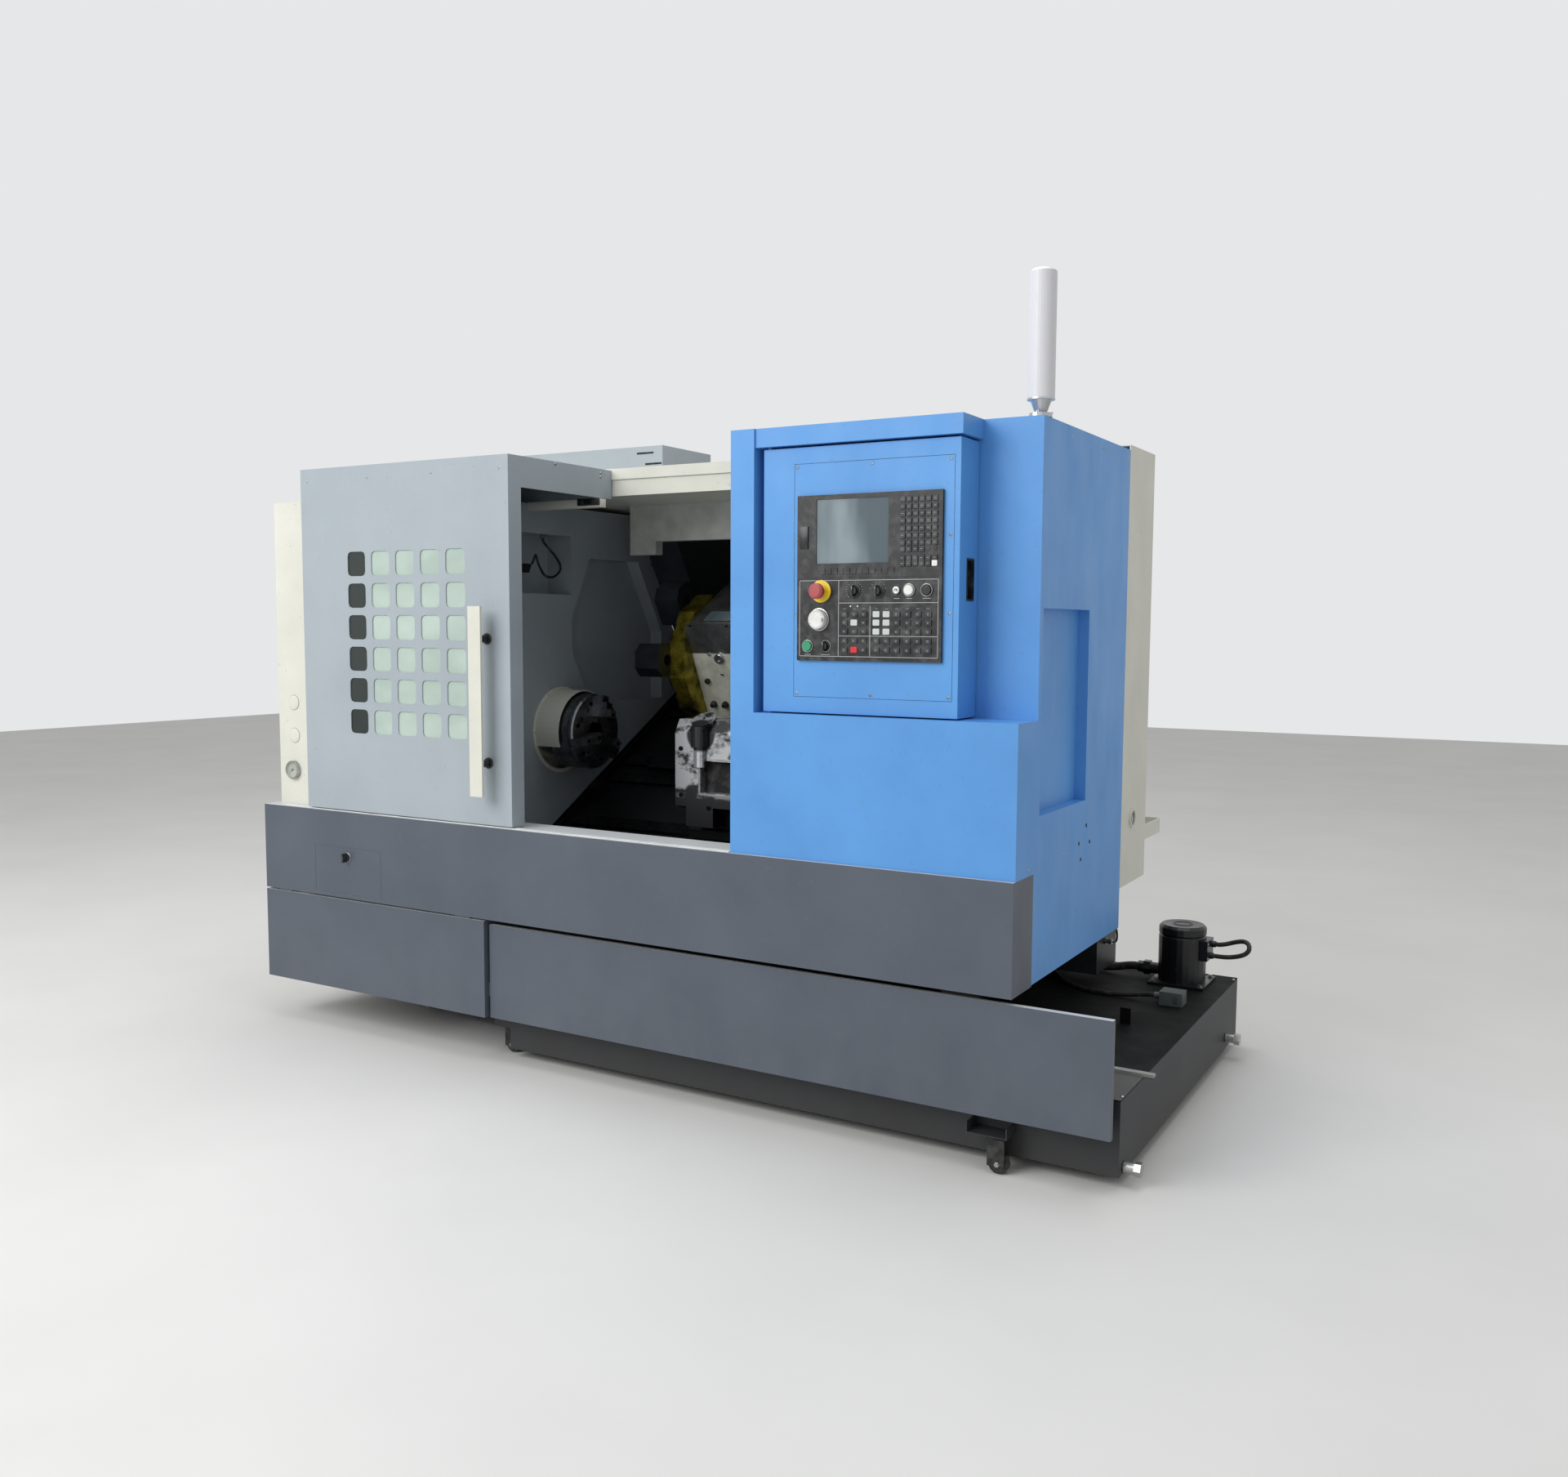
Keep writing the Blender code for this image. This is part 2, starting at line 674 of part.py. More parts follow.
def turned(profile, axis, centre, steps=ROUND):
    """Revolve (radius, place along the axis) points; a zero radius closes on the axis."""
    place = {
        "X": lambda c, s, r, t: (t, centre[0] + r * c, centre[1] + r * s),
        "Y": lambda c, s, r, t: (centre[0] + r * c, t, centre[1] + r * s),
        "Z": lambda c, s, r, t: (centre[0] + r * c, centre[1] + r * s, t),
    }[axis]
    bm = bmesh.new()
    rings = []
    for radius, along in profile:
        if radius == 0:
            rings.append([bm.verts.new(place(1, 0, 0, along))])
            continue
        ring = []
        for index in range(steps):
            angle = 2 * math.pi * index / steps
            ring.append(bm.verts.new(place(math.cos(angle), math.sin(angle), radius, along)))
        rings.append(ring)
    open_ends = len(rings[0]) == 1 and len(rings[-1]) == 1
    pairs = list(zip(rings, rings[1:]))
    if not open_ends:
        pairs.append((rings[-1], rings[0]))
    for low, high in pairs:
        for index in range(steps):
            after = (index + 1) % steps
            if len(low) == 1:
                bm.faces.new((low[0], high[index], high[after]))
            elif len(high) == 1:
                bm.faces.new((low[index], low[after], high[0]))
            else:
                bm.faces.new((low[index], low[after], high[after], high[index]))
    return to_object(bm)


def cylinder(axis, centre, radius, start, end, steps=ROUND):
    """A plain round bar."""
    return turned([(0, start), (radius, start), (radius, end), (0, end)], axis, centre, steps)


def slant(u, n):
    """The (y, z) place of a point u up the slant and n off it."""
    cos, sin = math.cos(SLANT), math.sin(SLANT)
    return (SLANT_Y + u * cos - n * sin, SLANT_Z + u * sin + n * cos)


def slant_prism(outline, start, end):
    """Extrude along X an outline given up the slant and off it."""
    return prism([slant(u, n) for u, n in outline], "X", start, end)


def slant_box(x0, x1, u0, u1, n0, n1):
    """A block that lies on the slant."""
    return slant_prism([(u0, n0), (u1, n0), (u1, n1), (u0, n1)], x0, x1)


def slant_height(y, n=0):
    """Height of the plane n off the slant at depth y."""
    return SLANT_Z + (y - SLANT_Y) * math.tan(SLANT) + n / math.cos(SLANT)


def rounded(x0, z0, x1, z1, radius, steps=3):
    """A rectangle outline with round corners."""
    points = []
    corners = ((x1 - radius, z1 - radius), (x0 + radius, z1 - radius),
               (x0 + radius, z0 + radius), (x1 - radius, z0 + radius))
    for turn, (cx, cz) in enumerate(corners):
        for index in range(steps + 1):
            angle = math.pi / 2 * (turn + index / steps)
            points.append((cx + radius * math.cos(angle), cz + radius * math.sin(angle)))
    return points


def grown(outline, margin):
    """A convex outline moved outwards by a margin."""
    count = len(outline)
    middle = Vector((sum(p[0] for p in outline) / count, sum(p[1] for p in outline) / count))
    lines = []
    for index in range(count):
        start, end = Vector(outline[index]), Vector(outline[(index + 1) % count])
        along = (end - start).normalized()
        normal = Vector((along.y, -along.x))
        if normal.dot(start - middle) < 0:
            normal = -normal
        lines.append((start + normal * margin, along))
    points = []
    for index in range(count):
        (p, d), (q, e) = lines[index - 1], lines[index]
        cross = d.x * e.y - d.y * e.x
        gap = q - p
        points.append(tuple(p + d * ((gap.x * e.y - gap.y * e.x) / cross)))
    return points


def combine(target, tools, operation):
    """Apply exact booleans with each tool in turn, then drop the tools."""
    for tool in tools:
        step = target.modifiers.new("step", "BOOLEAN")
        step.operation = operation
        step.object = tool
    graph = bpy.context.evaluated_depsgraph_get()
    mesh = bpy.data.meshes.new_from_object(target.evaluated_get(graph))
    target.modifiers.clear()
    bm = bmesh.new()
    bm.from_mesh(mesh)
    bmesh.ops.remove_doubles(bm, verts=bm.verts, dist=WELD)
    bmesh.ops.dissolve_degenerate(bm, edges=bm.edges, dist=WELD)
    bm.to_mesh(mesh)
    bm.free()
    old = target.data
    target.data = mesh
    bpy.data.meshes.remove(old)
    for tool in tools:
        bpy.data.objects.remove(tool, do_unlink=True)
    return target


def cut(target, *tools):
    """Take tools away from a solid."""
    return combine(target, tools, "DIFFERENCE")


def join(target, *tools):
    """Weld solids that run into each other."""
    return combine(target, tools, "UNION")


def gather(pieces):
    """Merge solids that lie apart into one mesh, for use as one tool."""
    bm = bmesh.new()
    for piece in pieces:
        bm.from_mesh(piece.data)
        bpy.data.objects.remove(piece, do_unlink=True)
    return to_object(bm)


def node(item, name, finish, root, pivot=(0, 0, 0), smooth=False):
    """Name a solid, give it its finish and put its origin at its pivot."""
    item.name = name
    item.data.name = name
    item.data.transform(Matrix.Translation(-Vector(pivot)))
    item.location = pivot
    item.data.materials.clear()
    item.data.materials.append(make_material(finish))
    if smooth:
        item.data.shade_smooth()
        item.data.set_sharp_from_angle(angle=math.radians(30))
    item.parent = root
    return item


def make_skirt(root):
    """Folded front skirt with its access flap, and the pan below it on the left."""
    skirt = box((LEFT, 0, SKIRT_BOTTOM), (0, SKIRT_DEPTH, SKIRT_TOP))
    hollow = box((LEFT + SHEET, SHEET, SKIRT_BOTTOM - OVER), (-SHEET, SKIRT_DEPTH + OVER, SKIRT_TOP - SHEET))
    flap_top = FLAP_BOTTOM + FLAP_HEIGHT
    opening = box((FLAP_X0, -OVER, FLAP_BOTTOM), (FLAP_X1, SHEET + OVER, flap_top))
    node(cut(skirt, hollow, opening), "front_skirt", "slate_paint", root)
    low = (FLAP_X0 + FLAP_PLAY, 0, FLAP_BOTTOM + FLAP_PLAY)
    high = (FLAP_X1 - FLAP_PLAY, SHEET, flap_top - FLAP_PLAY)
    node(box(low, high), "skirt_flap", "slate_paint", root, pivot=(low[0], 0, low[2]))
    x = (FLAP_X0 + FLAP_X1) / 2
    z = flap_top - LATCH_FROM_TOP
    plate = cylinder("Y", (x, z), LATCH_RADIUS, -FIT - LATCH_PLATE, -FIT, SMALL_ROUND)
    wing = box((x - WING_WIDTH / 2, -FIT - LATCH_PLATE - WING_HEIGHT, z - WING_LENGTH / 2),
               (x + WING_WIDTH / 2, -FIT - LATCH_PLATE / 2, z + WING_LENGTH / 2))
    node(join(plate, wing), "flap_latch", "black_plastic", root, pivot=(x, 0, z))
    right = LEFT + LOWER_PANEL_LENGTH
    pan = box((LEFT, 0, LOWER_PANEL_BOTTOM), (right, LOWER_PANEL_DEPTH, LOWER_PANEL_TOP))
    inside = box((LEFT + SHEET, SHEET, LOWER_PANEL_BOTTOM + SHEET),
                 (right - SHEET, LOWER_PANEL_DEPTH + OVER, LOWER_PANEL_TOP - SHEET))
    pan = cut(pan, inside)
    tabs = []
    for start in (LEFT + TAB_WIDTH, right - 2 * TAB_WIDTH):
        tabs.append(box((start, SHEET + FIT, LOWER_PANEL_TOP - 2 * SHEET),
                        (start + TAB_WIDTH, 2 * SHEET + FIT, LOWER_PANEL_TOP + TAB_RISE)))
    node(join(pan, *tabs), "lower_left_panel", "slate_paint", root)


def make_left_cover(root):
    """Cream sheet cover over the headstock, open towards the work space."""
    right = WALL_X - SHEET - FIT
    outline = [(COVER_FRONT, SKIRT_TOP + FIT), (COVER_FRONT, COVER_TOP), (COVER_BACK, COVER_TOP),
               (COVER_BACK, COVER_LOW), (PLINTH_FRONT, COVER_LOW), (PLINTH_FRONT, SKIRT_TOP + FIT)]
    inner = [(COVER_FRONT + SHEET, SKIRT_TOP - OVER), (COVER_FRONT + SHEET, COVER_TOP - SHEET),
             (COVER_BACK - SHEET, COVER_TOP - SHEET), (COVER_BACK - SHEET, COVER_LOW - OVER),
             (PLINTH_FRONT + SHEET, COVER_LOW - OVER), (PLINTH_FRONT + SHEET, SKIRT_TOP - OVER)]
    shell = cut(prism(outline, "X", COVER_X, right), prism(inner, "X", COVER_X + SHEET, right + OVER))
    x = COVER_X + GAUGE_FROM_END
    gauge = turned([(0, COVER_FRONT + SHEET / 2), (GAUGE_RADIUS, COVER_FRONT + SHEET / 2),
                    (GAUGE_RADIUS, COVER_FRONT - GAUGE_DEPTH),
                    (GAUGE_RADIUS - GAUGE_RIM, COVER_FRONT - GAUGE_DEPTH),
                    (GAUGE_RADIUS - GAUGE_RIM, COVER_FRONT - GAUGE_DEPTH / 2),
                    (0, COVER_FRONT - GAUGE_DEPTH / 2)], "Y", (x, GAUGE_HEIGHT))
    node(join(shell, gauge), "left_cover", "cream_paint", root)


def make_wall(root):
    """Wall at the left of the work space with its lamp pocket and turret pocket."""
    back_top = slant(BACK_WALL_U - FIT, (WALL_TOP - slant(BACK_WALL_U, 0)[1]) / math.cos(SLANT))
    outline = [(COVER_FRONT, SKIRT_TOP + FIT), (COVER_FRONT, WALL_TOP), (back_top[0] - SHEET, WALL_TOP),
               slant(BACK_WALL_U - 2 * SHEET, FIT), (PLINTH_FRONT + FIT, slant_height(PLINTH_FRONT, FIT)),
               (PLINTH_FRONT + FIT, SKIRT_TOP + FIT)]
    wall = prism(outline, "X", WALL_X - SHEET, WALL_X)
    pan = prism(grown(TURRET_POCKET, SHEET), "X", WALL_X - TURRET_POCKET_DEPTH - SHEET,
                WALL_X - SHEET / 2)
    lamp_back = LAMP_POCKET_FRONT + LAMP_POCKET_WIDTH
    lamp_top = LAMP_POCKET_BOTTOM + LAMP_POCKET_HEIGHT
    tray = box((WALL_X - LAMP_POCKET_DEPTH - SHEET, LAMP_POCKET_FRONT - SHEET, LAMP_POCKET_BOTTOM - SHEET),
               (WALL_X - SHEET / 2, lamp_back + SHEET, lamp_top + SHEET))
    wall = join(wall, pan, tray)
    wall = cut(wall, prism(TURRET_POCKET, "X", WALL_X - TURRET_POCKET_DEPTH, WALL_X + OVER),
               box((WALL_X - LAMP_POCKET_DEPTH, LAMP_POCKET_FRONT, LAMP_POCKET_BOTTOM),
                   (WALL_X + OVER, lamp_back, lamp_top)),
               cylinder("X", (SPINDLE_Y, SPINDLE_Z), GUARD_RADIUS, WALL_X - SHEET - OVER, WALL_X + OVER))
    node(wall, "inner_left_wall", "grey_paint", root)


def make_work_lamp(root):
    """Small lamp head on its strap at the back of the lamp pocket."""
    back = WALL_X - LAMP_POCKET_DEPTH + FIT
    front = back + WORK_LAMP_STAND + WORK_LAMP_DEPTH
    y1 = WORK_LAMP_Y + WORK_LAMP_LENGTH
    z1 = WORK_LAMP_Z + WORK_LAMP_HEIGHT
    head = prism([(WORK_LAMP_Y, WORK_LAMP_Z), (y1 - WORK_LAMP_HEIGHT / 2, WORK_LAMP_Z), (y1, z1),
                  (WORK_LAMP_Y, z1)], "X", back + WORK_LAMP_STAND, front)
    strap_y = WORK_LAMP_Y + WORK_LAMP_STRAP
    strap = box((back, strap_y, WORK_LAMP_Z + SHEET),
                (back + SHEET, strap_y + WORK_LAMP_STRAP, z1 + WORK_LAMP_STRAP_RISE))
    arm = box((back + SHEET / 2, strap_y + SHEET, WORK_LAMP_Z + 2 * SHEET),
              (back + WORK_LAMP_STAND + SHEET, strap_y + WORK_LAMP_STRAP - SHEET, z1 - 2 * SHEET))
    node(join(head, strap, arm), "work_lamp", "black_plastic", root)


def arc(radius, start, end, steps):
    """Points of an arc about the spindle axis."""
    points = []
    for index in range(steps + 1):
        angle = start + (end - start) * index / steps
        points.append((SPINDLE_Y + radius * math.cos(angle), SPINDLE_Z + radius * math.sin(angle)))
    return points


def make_guard(root):
    """Half round guard over the chuck on its wall flange."""
    x0 = WALL_X + FIT
    flange = turned([(GUARD_RADIUS, x0), (GUARD_FLANGE_RADIUS, x0), (GUARD_FLANGE_RADIUS, x0 + GUARD_FLANGE),
                     (GUARD_RADIUS, x0 + GUARD_FLANGE)], "X", (SPINDLE_Y, SPINDLE_Z))
    start, end = -GUARD_DROP, math.pi + GUARD_DROP
    inner = arc(GUARD_RADIUS + FIT, start, end, ROUND)
    outer = arc(GUARD_RADIUS + SHEET, end, start, ROUND)
    hood = prism(inner + outer, "X", x0 + SHEET / 2, x0 + GUARD_LENGTH)
    node(join(flange, hood), "chuck_guard", "cream_paint", root)


def bed_outline(back, bottom):
    """Section of the bed: level underside, upright front and back, slanting top."""
    return [(BED_FRONT, bottom), (back, bottom), (back, slant_height(back, BED_TOP_N)),
            (BED_FRONT, slant_height(BED_FRONT, BED_TOP_N))]


def rail_list():
    """Start and width up the slant of each rail."""
    return ((TAIL_RAIL_A, TAIL_RAIL_WIDTH), (TAIL_RAIL_B, TAIL_RAIL_WIDTH),
            (SADDLE_RAIL_C, SADDLE_RAIL_WIDTH), (SADDLE_RAIL_D, SADDLE_RAIL_WIDTH))


def make_bed(root):
    """Slant bed casting with its box ways, feet and levelling pads."""
    left_end = BED_X0 + LEFT_FOOT_LENGTH
    bed = prism(bed_outline(BED_BACK_LEFT, BED_SOLE), "X", BED_X0, left_end)
    body = prism(bed_outline(BED_BACK, BED_BELLY), "X", WALL_X, BED_X1)
    foot_x1 = RIGHT_FOOT_X + RIGHT_FOOT_LENGTH
    foot = box((RIGHT_FOOT_X, RIGHT_FOOT_FRONT, BED_SOLE),
               (foot_x1, RIGHT_FOOT_FRONT + RIGHT_FOOT_DEPTH, BED_BELLY + OVER))
    corner = box((BED_X1 - OVER, REAR_CORNER_FRONT, BED_BELLY),
                 (REAR_CORNER_X, REAR_CORNER_FRONT + REAR_CORNER_DEPTH, BED_BELLY + REAR_CORNER_HEIGHT))
    rails = []
    for u, width in rail_list():
        rails.append(slant_box(RAIL_X0, RAIL_X1, u, u + width, BED_TOP_N - SHEET, RAIL_TOP_N))
    places = []
    for x in (BED_X0 + PAD_INSET, left_end - PAD_INSET):
        for y in (BED_FRONT + PAD_INSET, BED_BACK_LEFT - PAD_INSET):
            places.append((x, y))
    for y in (RIGHT_FOOT_FRONT + PAD_INSET, RIGHT_FOOT_FRONT + RIGHT_FOOT_DEPTH - PAD_INSET):
        places.append(((RIGHT_FOOT_X + foot_x1) / 2, y))
    pads = [cylinder("Z", place, PAD_RADIUS, 0, BED_SOLE + SHEET, SMALL_ROUND) for place in places]
    bed = join(bed, body, foot, corner, *rails, *pads)
    groove = slant_box(SCREW_LEFT + SCREW_BEARING, SCREW_RIGHT - SCREW_BEARING, SCREW_U - GROOVE_HALF,
                       SCREW_U + GROOVE_HALF, -GROOVE_DEPTH, OVER)
    bore = cylinder("X", slant(SCREW_U, SCREW_N), SCREW_RADIUS + RUN_PLAY, SCREW_LEFT - SHEET,
                    SCREW_RIGHT + SHEET, TINY_ROUND)
    half = MOTOR_SIDE / 2
    bay = box((BED_X0 - OVER, MOTOR_Y - half - BAY_MARGIN, MOTOR_Z - half - MOTOR_FOOT),
              (BED_X0 + BAY_MARGIN + MOTOR_LENGTH + BAY_MARGIN, MOTOR_Y + half + BAY_MARGIN,
               MOTOR_Z + half + BAY_MARGIN))
    node(cut(bed, bay, groove, bore), "bed_casting", "cast_paint", root)


def make_way_cover(root):
    """Comb of sheet over the bed between the ways, with its edge channel."""
    x0 = WALL_X + FIT
    x1 = END_WALL_X - 2 * SHEET
    plate = slant_box(x0, x1, CHUTE_U, BACK_WALL_U + 2 * SHEET, -SHEET, 0)
    slots = []
    for u, width in rail_list():
        slots.append(slant_box(RAIL_X0 - FIT, x1 + OVER, u - FIT, u + width + FIT, -SHEET - OVER, OVER))
    slots.append(slant_box(NUT_LEFT - SADDLE_BACK, NUT_LEFT + NUT_LENGTH + SADDLE_FORTH,
                           SCREW_U - NUT_HALF - SHEET, SCREW_U + NUT_HALF + SHEET, -SHEET - OVER, OVER))
    plate = cut(plate, *slots)
    channel = slant_box(x0, x0 + CHANNEL_WIDTH, CHUTE_U + OVER, BACK_WALL_U - OVER, -SHEET / 2, CHANNEL_RISE)
    groove = slant_box(x0 + SHEET, x0 + CHANNEL_WIDTH - SHEET, CHUTE_U, BACK_WALL_U, SHEET, CHANNEL_RISE + OVER)
    block = slant_box(x0 + CHANNEL_WIDTH - SHEET / 2, x0 + CHANNEL_WIDTH + STOP_SIZE, STOP_U, STOP_U + STOP_SIZE,
                      -SHEET / 2, STOP_RISE)
    node(join(plate, cut(channel, groove), block), "way_cover", "black_paint", root)


def make_headstock(root):
    """Headstock casting with its spindle, pulley, chuck and jaws."""
    centre = (SPINDLE_Y, SPINDLE_Z)
    barrel = cylinder("X", centre, HEAD_RADIUS, HEAD_X0, HEAD_X1 - BEARING_CAP, HIDDEN_ROUND)
    cap = cylinder("X", centre, BEARING_CAP_RADIUS, HEAD_X1 - BEARING_CAP - OVER, HEAD_X1, HIDDEN_ROUND)
    low = BED_TOP_N + FIT
    pedestal = slant_prism([(HEAD_RADIUS * u, low + HEAD_RADIUS * n) for u, n in PEDESTAL_SHARES],
                           HEAD_X0 + OVER, HEAD_X1 - 2 * BEARING_CAP)
    head = join(barrel, cap, pedestal)
    bore = cylinder("X", centre, SPINDLE_RADIUS + RUN_PLAY, HEAD_X0 - OVER, HEAD_X1 + OVER, HIDDEN_ROUND)
    node(cut(head, bore), "headstock", "cast_paint", root)
    nose_back = HEAD_X1 + RUN_PLAY
    nose_front = CHUCK_BACK - FIT
    profile = [(SPINDLE_BORE, PULLEY_X0 - HUB_LENGTH), (HUB_RADIUS, PULLEY_X0 - HUB_LENGTH),
               (HUB_RADIUS, PULLEY_X0), (PULLEY_RADIUS, PULLEY_X0), (PULLEY_RADIUS, PULLEY_X1),
               (SPINDLE_RADIUS, PULLEY_X1), (SPINDLE_RADIUS, nose_back), (NOSE_RADIUS, nose_back),
               (NOSE_RADIUS, nose_front), (SPINDLE_BORE, nose_front)]
    node(turned(profile, "X", centre, HIDDEN_ROUND), "spindle", "bright_steel", root, (nose_back, *centre), True)
    make_chuck(root, centre)


def jaw_outline():
    """Side view of one stepped jaw: distance from the axis, place along X."""
    root_x = CHUCK_FACE - JAW_DEPTH
    points = [(JAW_IN, root_x), (JAW_OUT, root_x), (JAW_OUT, CHUCK_FACE + FIT), (JAW_TOP_OUT, CHUCK_FACE + FIT)]
    reach = JAW_TOP_OUT
    along = CHUCK_FACE + FIT
    for _ in range(JAW_STEPS):
        along += JAW_STEP
        points.append((reach, along))
        reach -= JAW_STEP_IN
        points.append((reach, along))
    points[-1] = (JAW_IN, along)
    return points


def around_spindle(item, angle):
    """Turn a solid about the spindle axis."""
    centre = Vector((0, SPINDLE_Y, SPINDLE_Z))
    turn = Matrix.Translation(centre) @ Matrix.Rotation(angle, 4, "X") @ Matrix.Translation(-centre)
    item.data.transform(turn)
    return item


def make_chuck(root, centre):
    """Three jaw chuck with radial slots, screw holes and stepped jaws."""
    rim = CHUCK_RADIUS - CHUCK_CHAMFER
    body = turned([(CHUCK_BORE, CHUCK_BACK), (rim, CHUCK_BACK), (CHUCK_RADIUS, CHUCK_BACK + CHUCK_CHAMFER),
                   (CHUCK_RADIUS, CHUCK_FACE - CHUCK_CHAMFER), (rim, CHUCK_FACE),
                   (CHUCK_BORE, CHUCK_FACE)], "X", centre)
    half = JAW_WIDTH / 2
    tools = []
    for index in range(3):
        angle = FIRST_JAW + index * 2 * math.pi / 3
        slot = box((CHUCK_FACE - JAW_DEPTH - FIT, SPINDLE_Y, SPINDLE_Z - half - FIT),
                   (CHUCK_FACE + OVER, SPINDLE_Y + CHUCK_RADIUS + OVER, SPINDLE_Z + half + FIT))
        tools.append(around_spindle(slot, angle))
        for side in (-1, 1):
            hole = cylinder("X", (SPINDLE_Y + COUNTERBORE_CIRCLE, SPINDLE_Z), COUNTERBORE_RADIUS,
                            CHUCK_FACE - COUNTERBORE_DEPTH, CHUCK_FACE + OVER, TINY_ROUND)
            tools.append(around_spindle(hole, angle + side * math.pi / 4))
    node(cut(body, *tools), "chuck_body", "dark_steel", root, (CHUCK_FACE, *centre), True)
    for index in range(3):
        outline = [(x, SPINDLE_Y + reach) for reach, x in jaw_outline()]
        jaw = prism(outline, "Z", SPINDLE_Z - half, SPINDLE_Z + half)
        around_spindle(jaw, FIRST_JAW + index * 2 * math.pi / 3)
        node(jaw, "chuck_jaw_%d" % (index + 1), "dark_steel", root, (CHUCK_FACE, *centre))


def belt_loop(first, radius1, second, radius2, steps):
    """Outline of a belt round two pulleys."""
    gap = Vector(second) - Vector(first)
    lean = math.acos((radius1 - radius2) / gap.length)
    heading = math.atan2(gap.y, gap.x)
    points = []
    for index in range(steps + 1):
        angle = heading + lean + (2 * math.pi - 2 * lean) * index / steps
        points.append((first[0] + radius1 * math.cos(angle), first[1] + radius1 * math.sin(angle)))
    for index in range(steps + 1):
        angle = heading - lean + 2 * lean * index / steps
        points.append((second[0] + radius2 * math.cos(angle), second[1] + radius2 * math.sin(angle)))
    return points


def make_drive(root):
    """Spindle motor in its bay, its pulley and the belt to the spindle."""
    half = MOTOR_SIDE / 2
    x0 = BED_X0 + BAY_MARGIN
    body = prism(rounded(MOTOR_Y - half, MOTOR_Z - half, MOTOR_Y + half, MOTOR_Z + half, MOTOR_CORNER),
                 "X", x0, x0 + MOTOR_LENGTH)
    feet = []
    for y in (MOTOR_Y - half, MOTOR_Y + half - MOTOR_CORNER):
        feet.append(box((x0 + OVER, y, MOTOR_Z - half - MOTOR_FOOT + FIT),
                        (x0 + MOTOR_LENGTH - OVER, y + MOTOR_CORNER, MOTOR_Z - half + MOTOR_CORNER)))
    node(join(body, *feet), "spindle_motor", "black_paint", root)
    centre = (MOTOR_Y, MOTOR_Z)
    profile = [(0, PULLEY_X0), (MOTOR_PULLEY_RADIUS, PULLEY_X0), (MOTOR_PULLEY_RADIUS, PULLEY_X1),
               (MOTOR_SHAFT, PULLEY_X1), (MOTOR_SHAFT, x0 - FIT), (0, x0 - FIT)]
    node(turned(profile, "X", centre, HIDDEN_ROUND), "motor_pulley", "bright_steel", root, (x0, *centre), True)
    first = (SPINDLE_Y, SPINDLE_Z)
    grow = BELT_PLAY + BELT_THICK
    outer = belt_loop(first, PULLEY_RADIUS + grow, centre, MOTOR_PULLEY_RADIUS + grow, HIDDEN_ROUND)
    inner = belt_loop(first, PULLEY_RADIUS + BELT_PLAY, centre, MOTOR_PULLEY_RADIUS + BELT_PLAY, HIDDEN_ROUND)
    belt = cut(prism(outer, "X", PULLEY_X0 + BELT_MARGIN, PULLEY_X1 - BELT_MARGIN),
               prism(inner, "X", PULLEY_X0 - OVER, PULLEY_X1 + OVER))
    node(belt, "drive_belt", "rubber", root)


def dovetail(play):
    """Section of the cross slide's guide across X, above the saddle's top."""
    middle = SADDLE_LEFT + SADDLE_LENGTH / 2
    half = DOVETAIL_WIDTH / 2 + play
    return middle - half, middle + half


def slant_slab(x_outline, u0, u1):
    """Extrude up the slant an outline given as (x, n)."""
    bm = bmesh.new()
    low = [bm.verts.new((x, *slant(u0, n))) for x, n in x_outline]
    high = [bm.verts.new((x, *slant(u1, n))) for x, n in x_outline]
    bm.faces.new(low)
    bm.faces.new(high[::-1])
    for index in range(len(low)):
        after = (index + 1) % len(low)
        bm.faces.new((low[index], high[index], high[after], low[after]))
    return to_object(bm)


def guide_outline(play, foot):
    """Dovetail outline in (x, n), widened by a running play."""
    x0, x1 = dovetail(play)
    top = SADDLE_TOP_N + DOVETAIL_RISE + play
    return [(x0, SADDLE_TOP_N - foot), (x1, SADDLE_TOP_N - foot), (x1, SADDLE_TOP_N),
            (x1 + DOVETAIL_FLARE, top), (x0 - DOVETAIL_FLARE, top), (x0, SADDLE_TOP_N)]


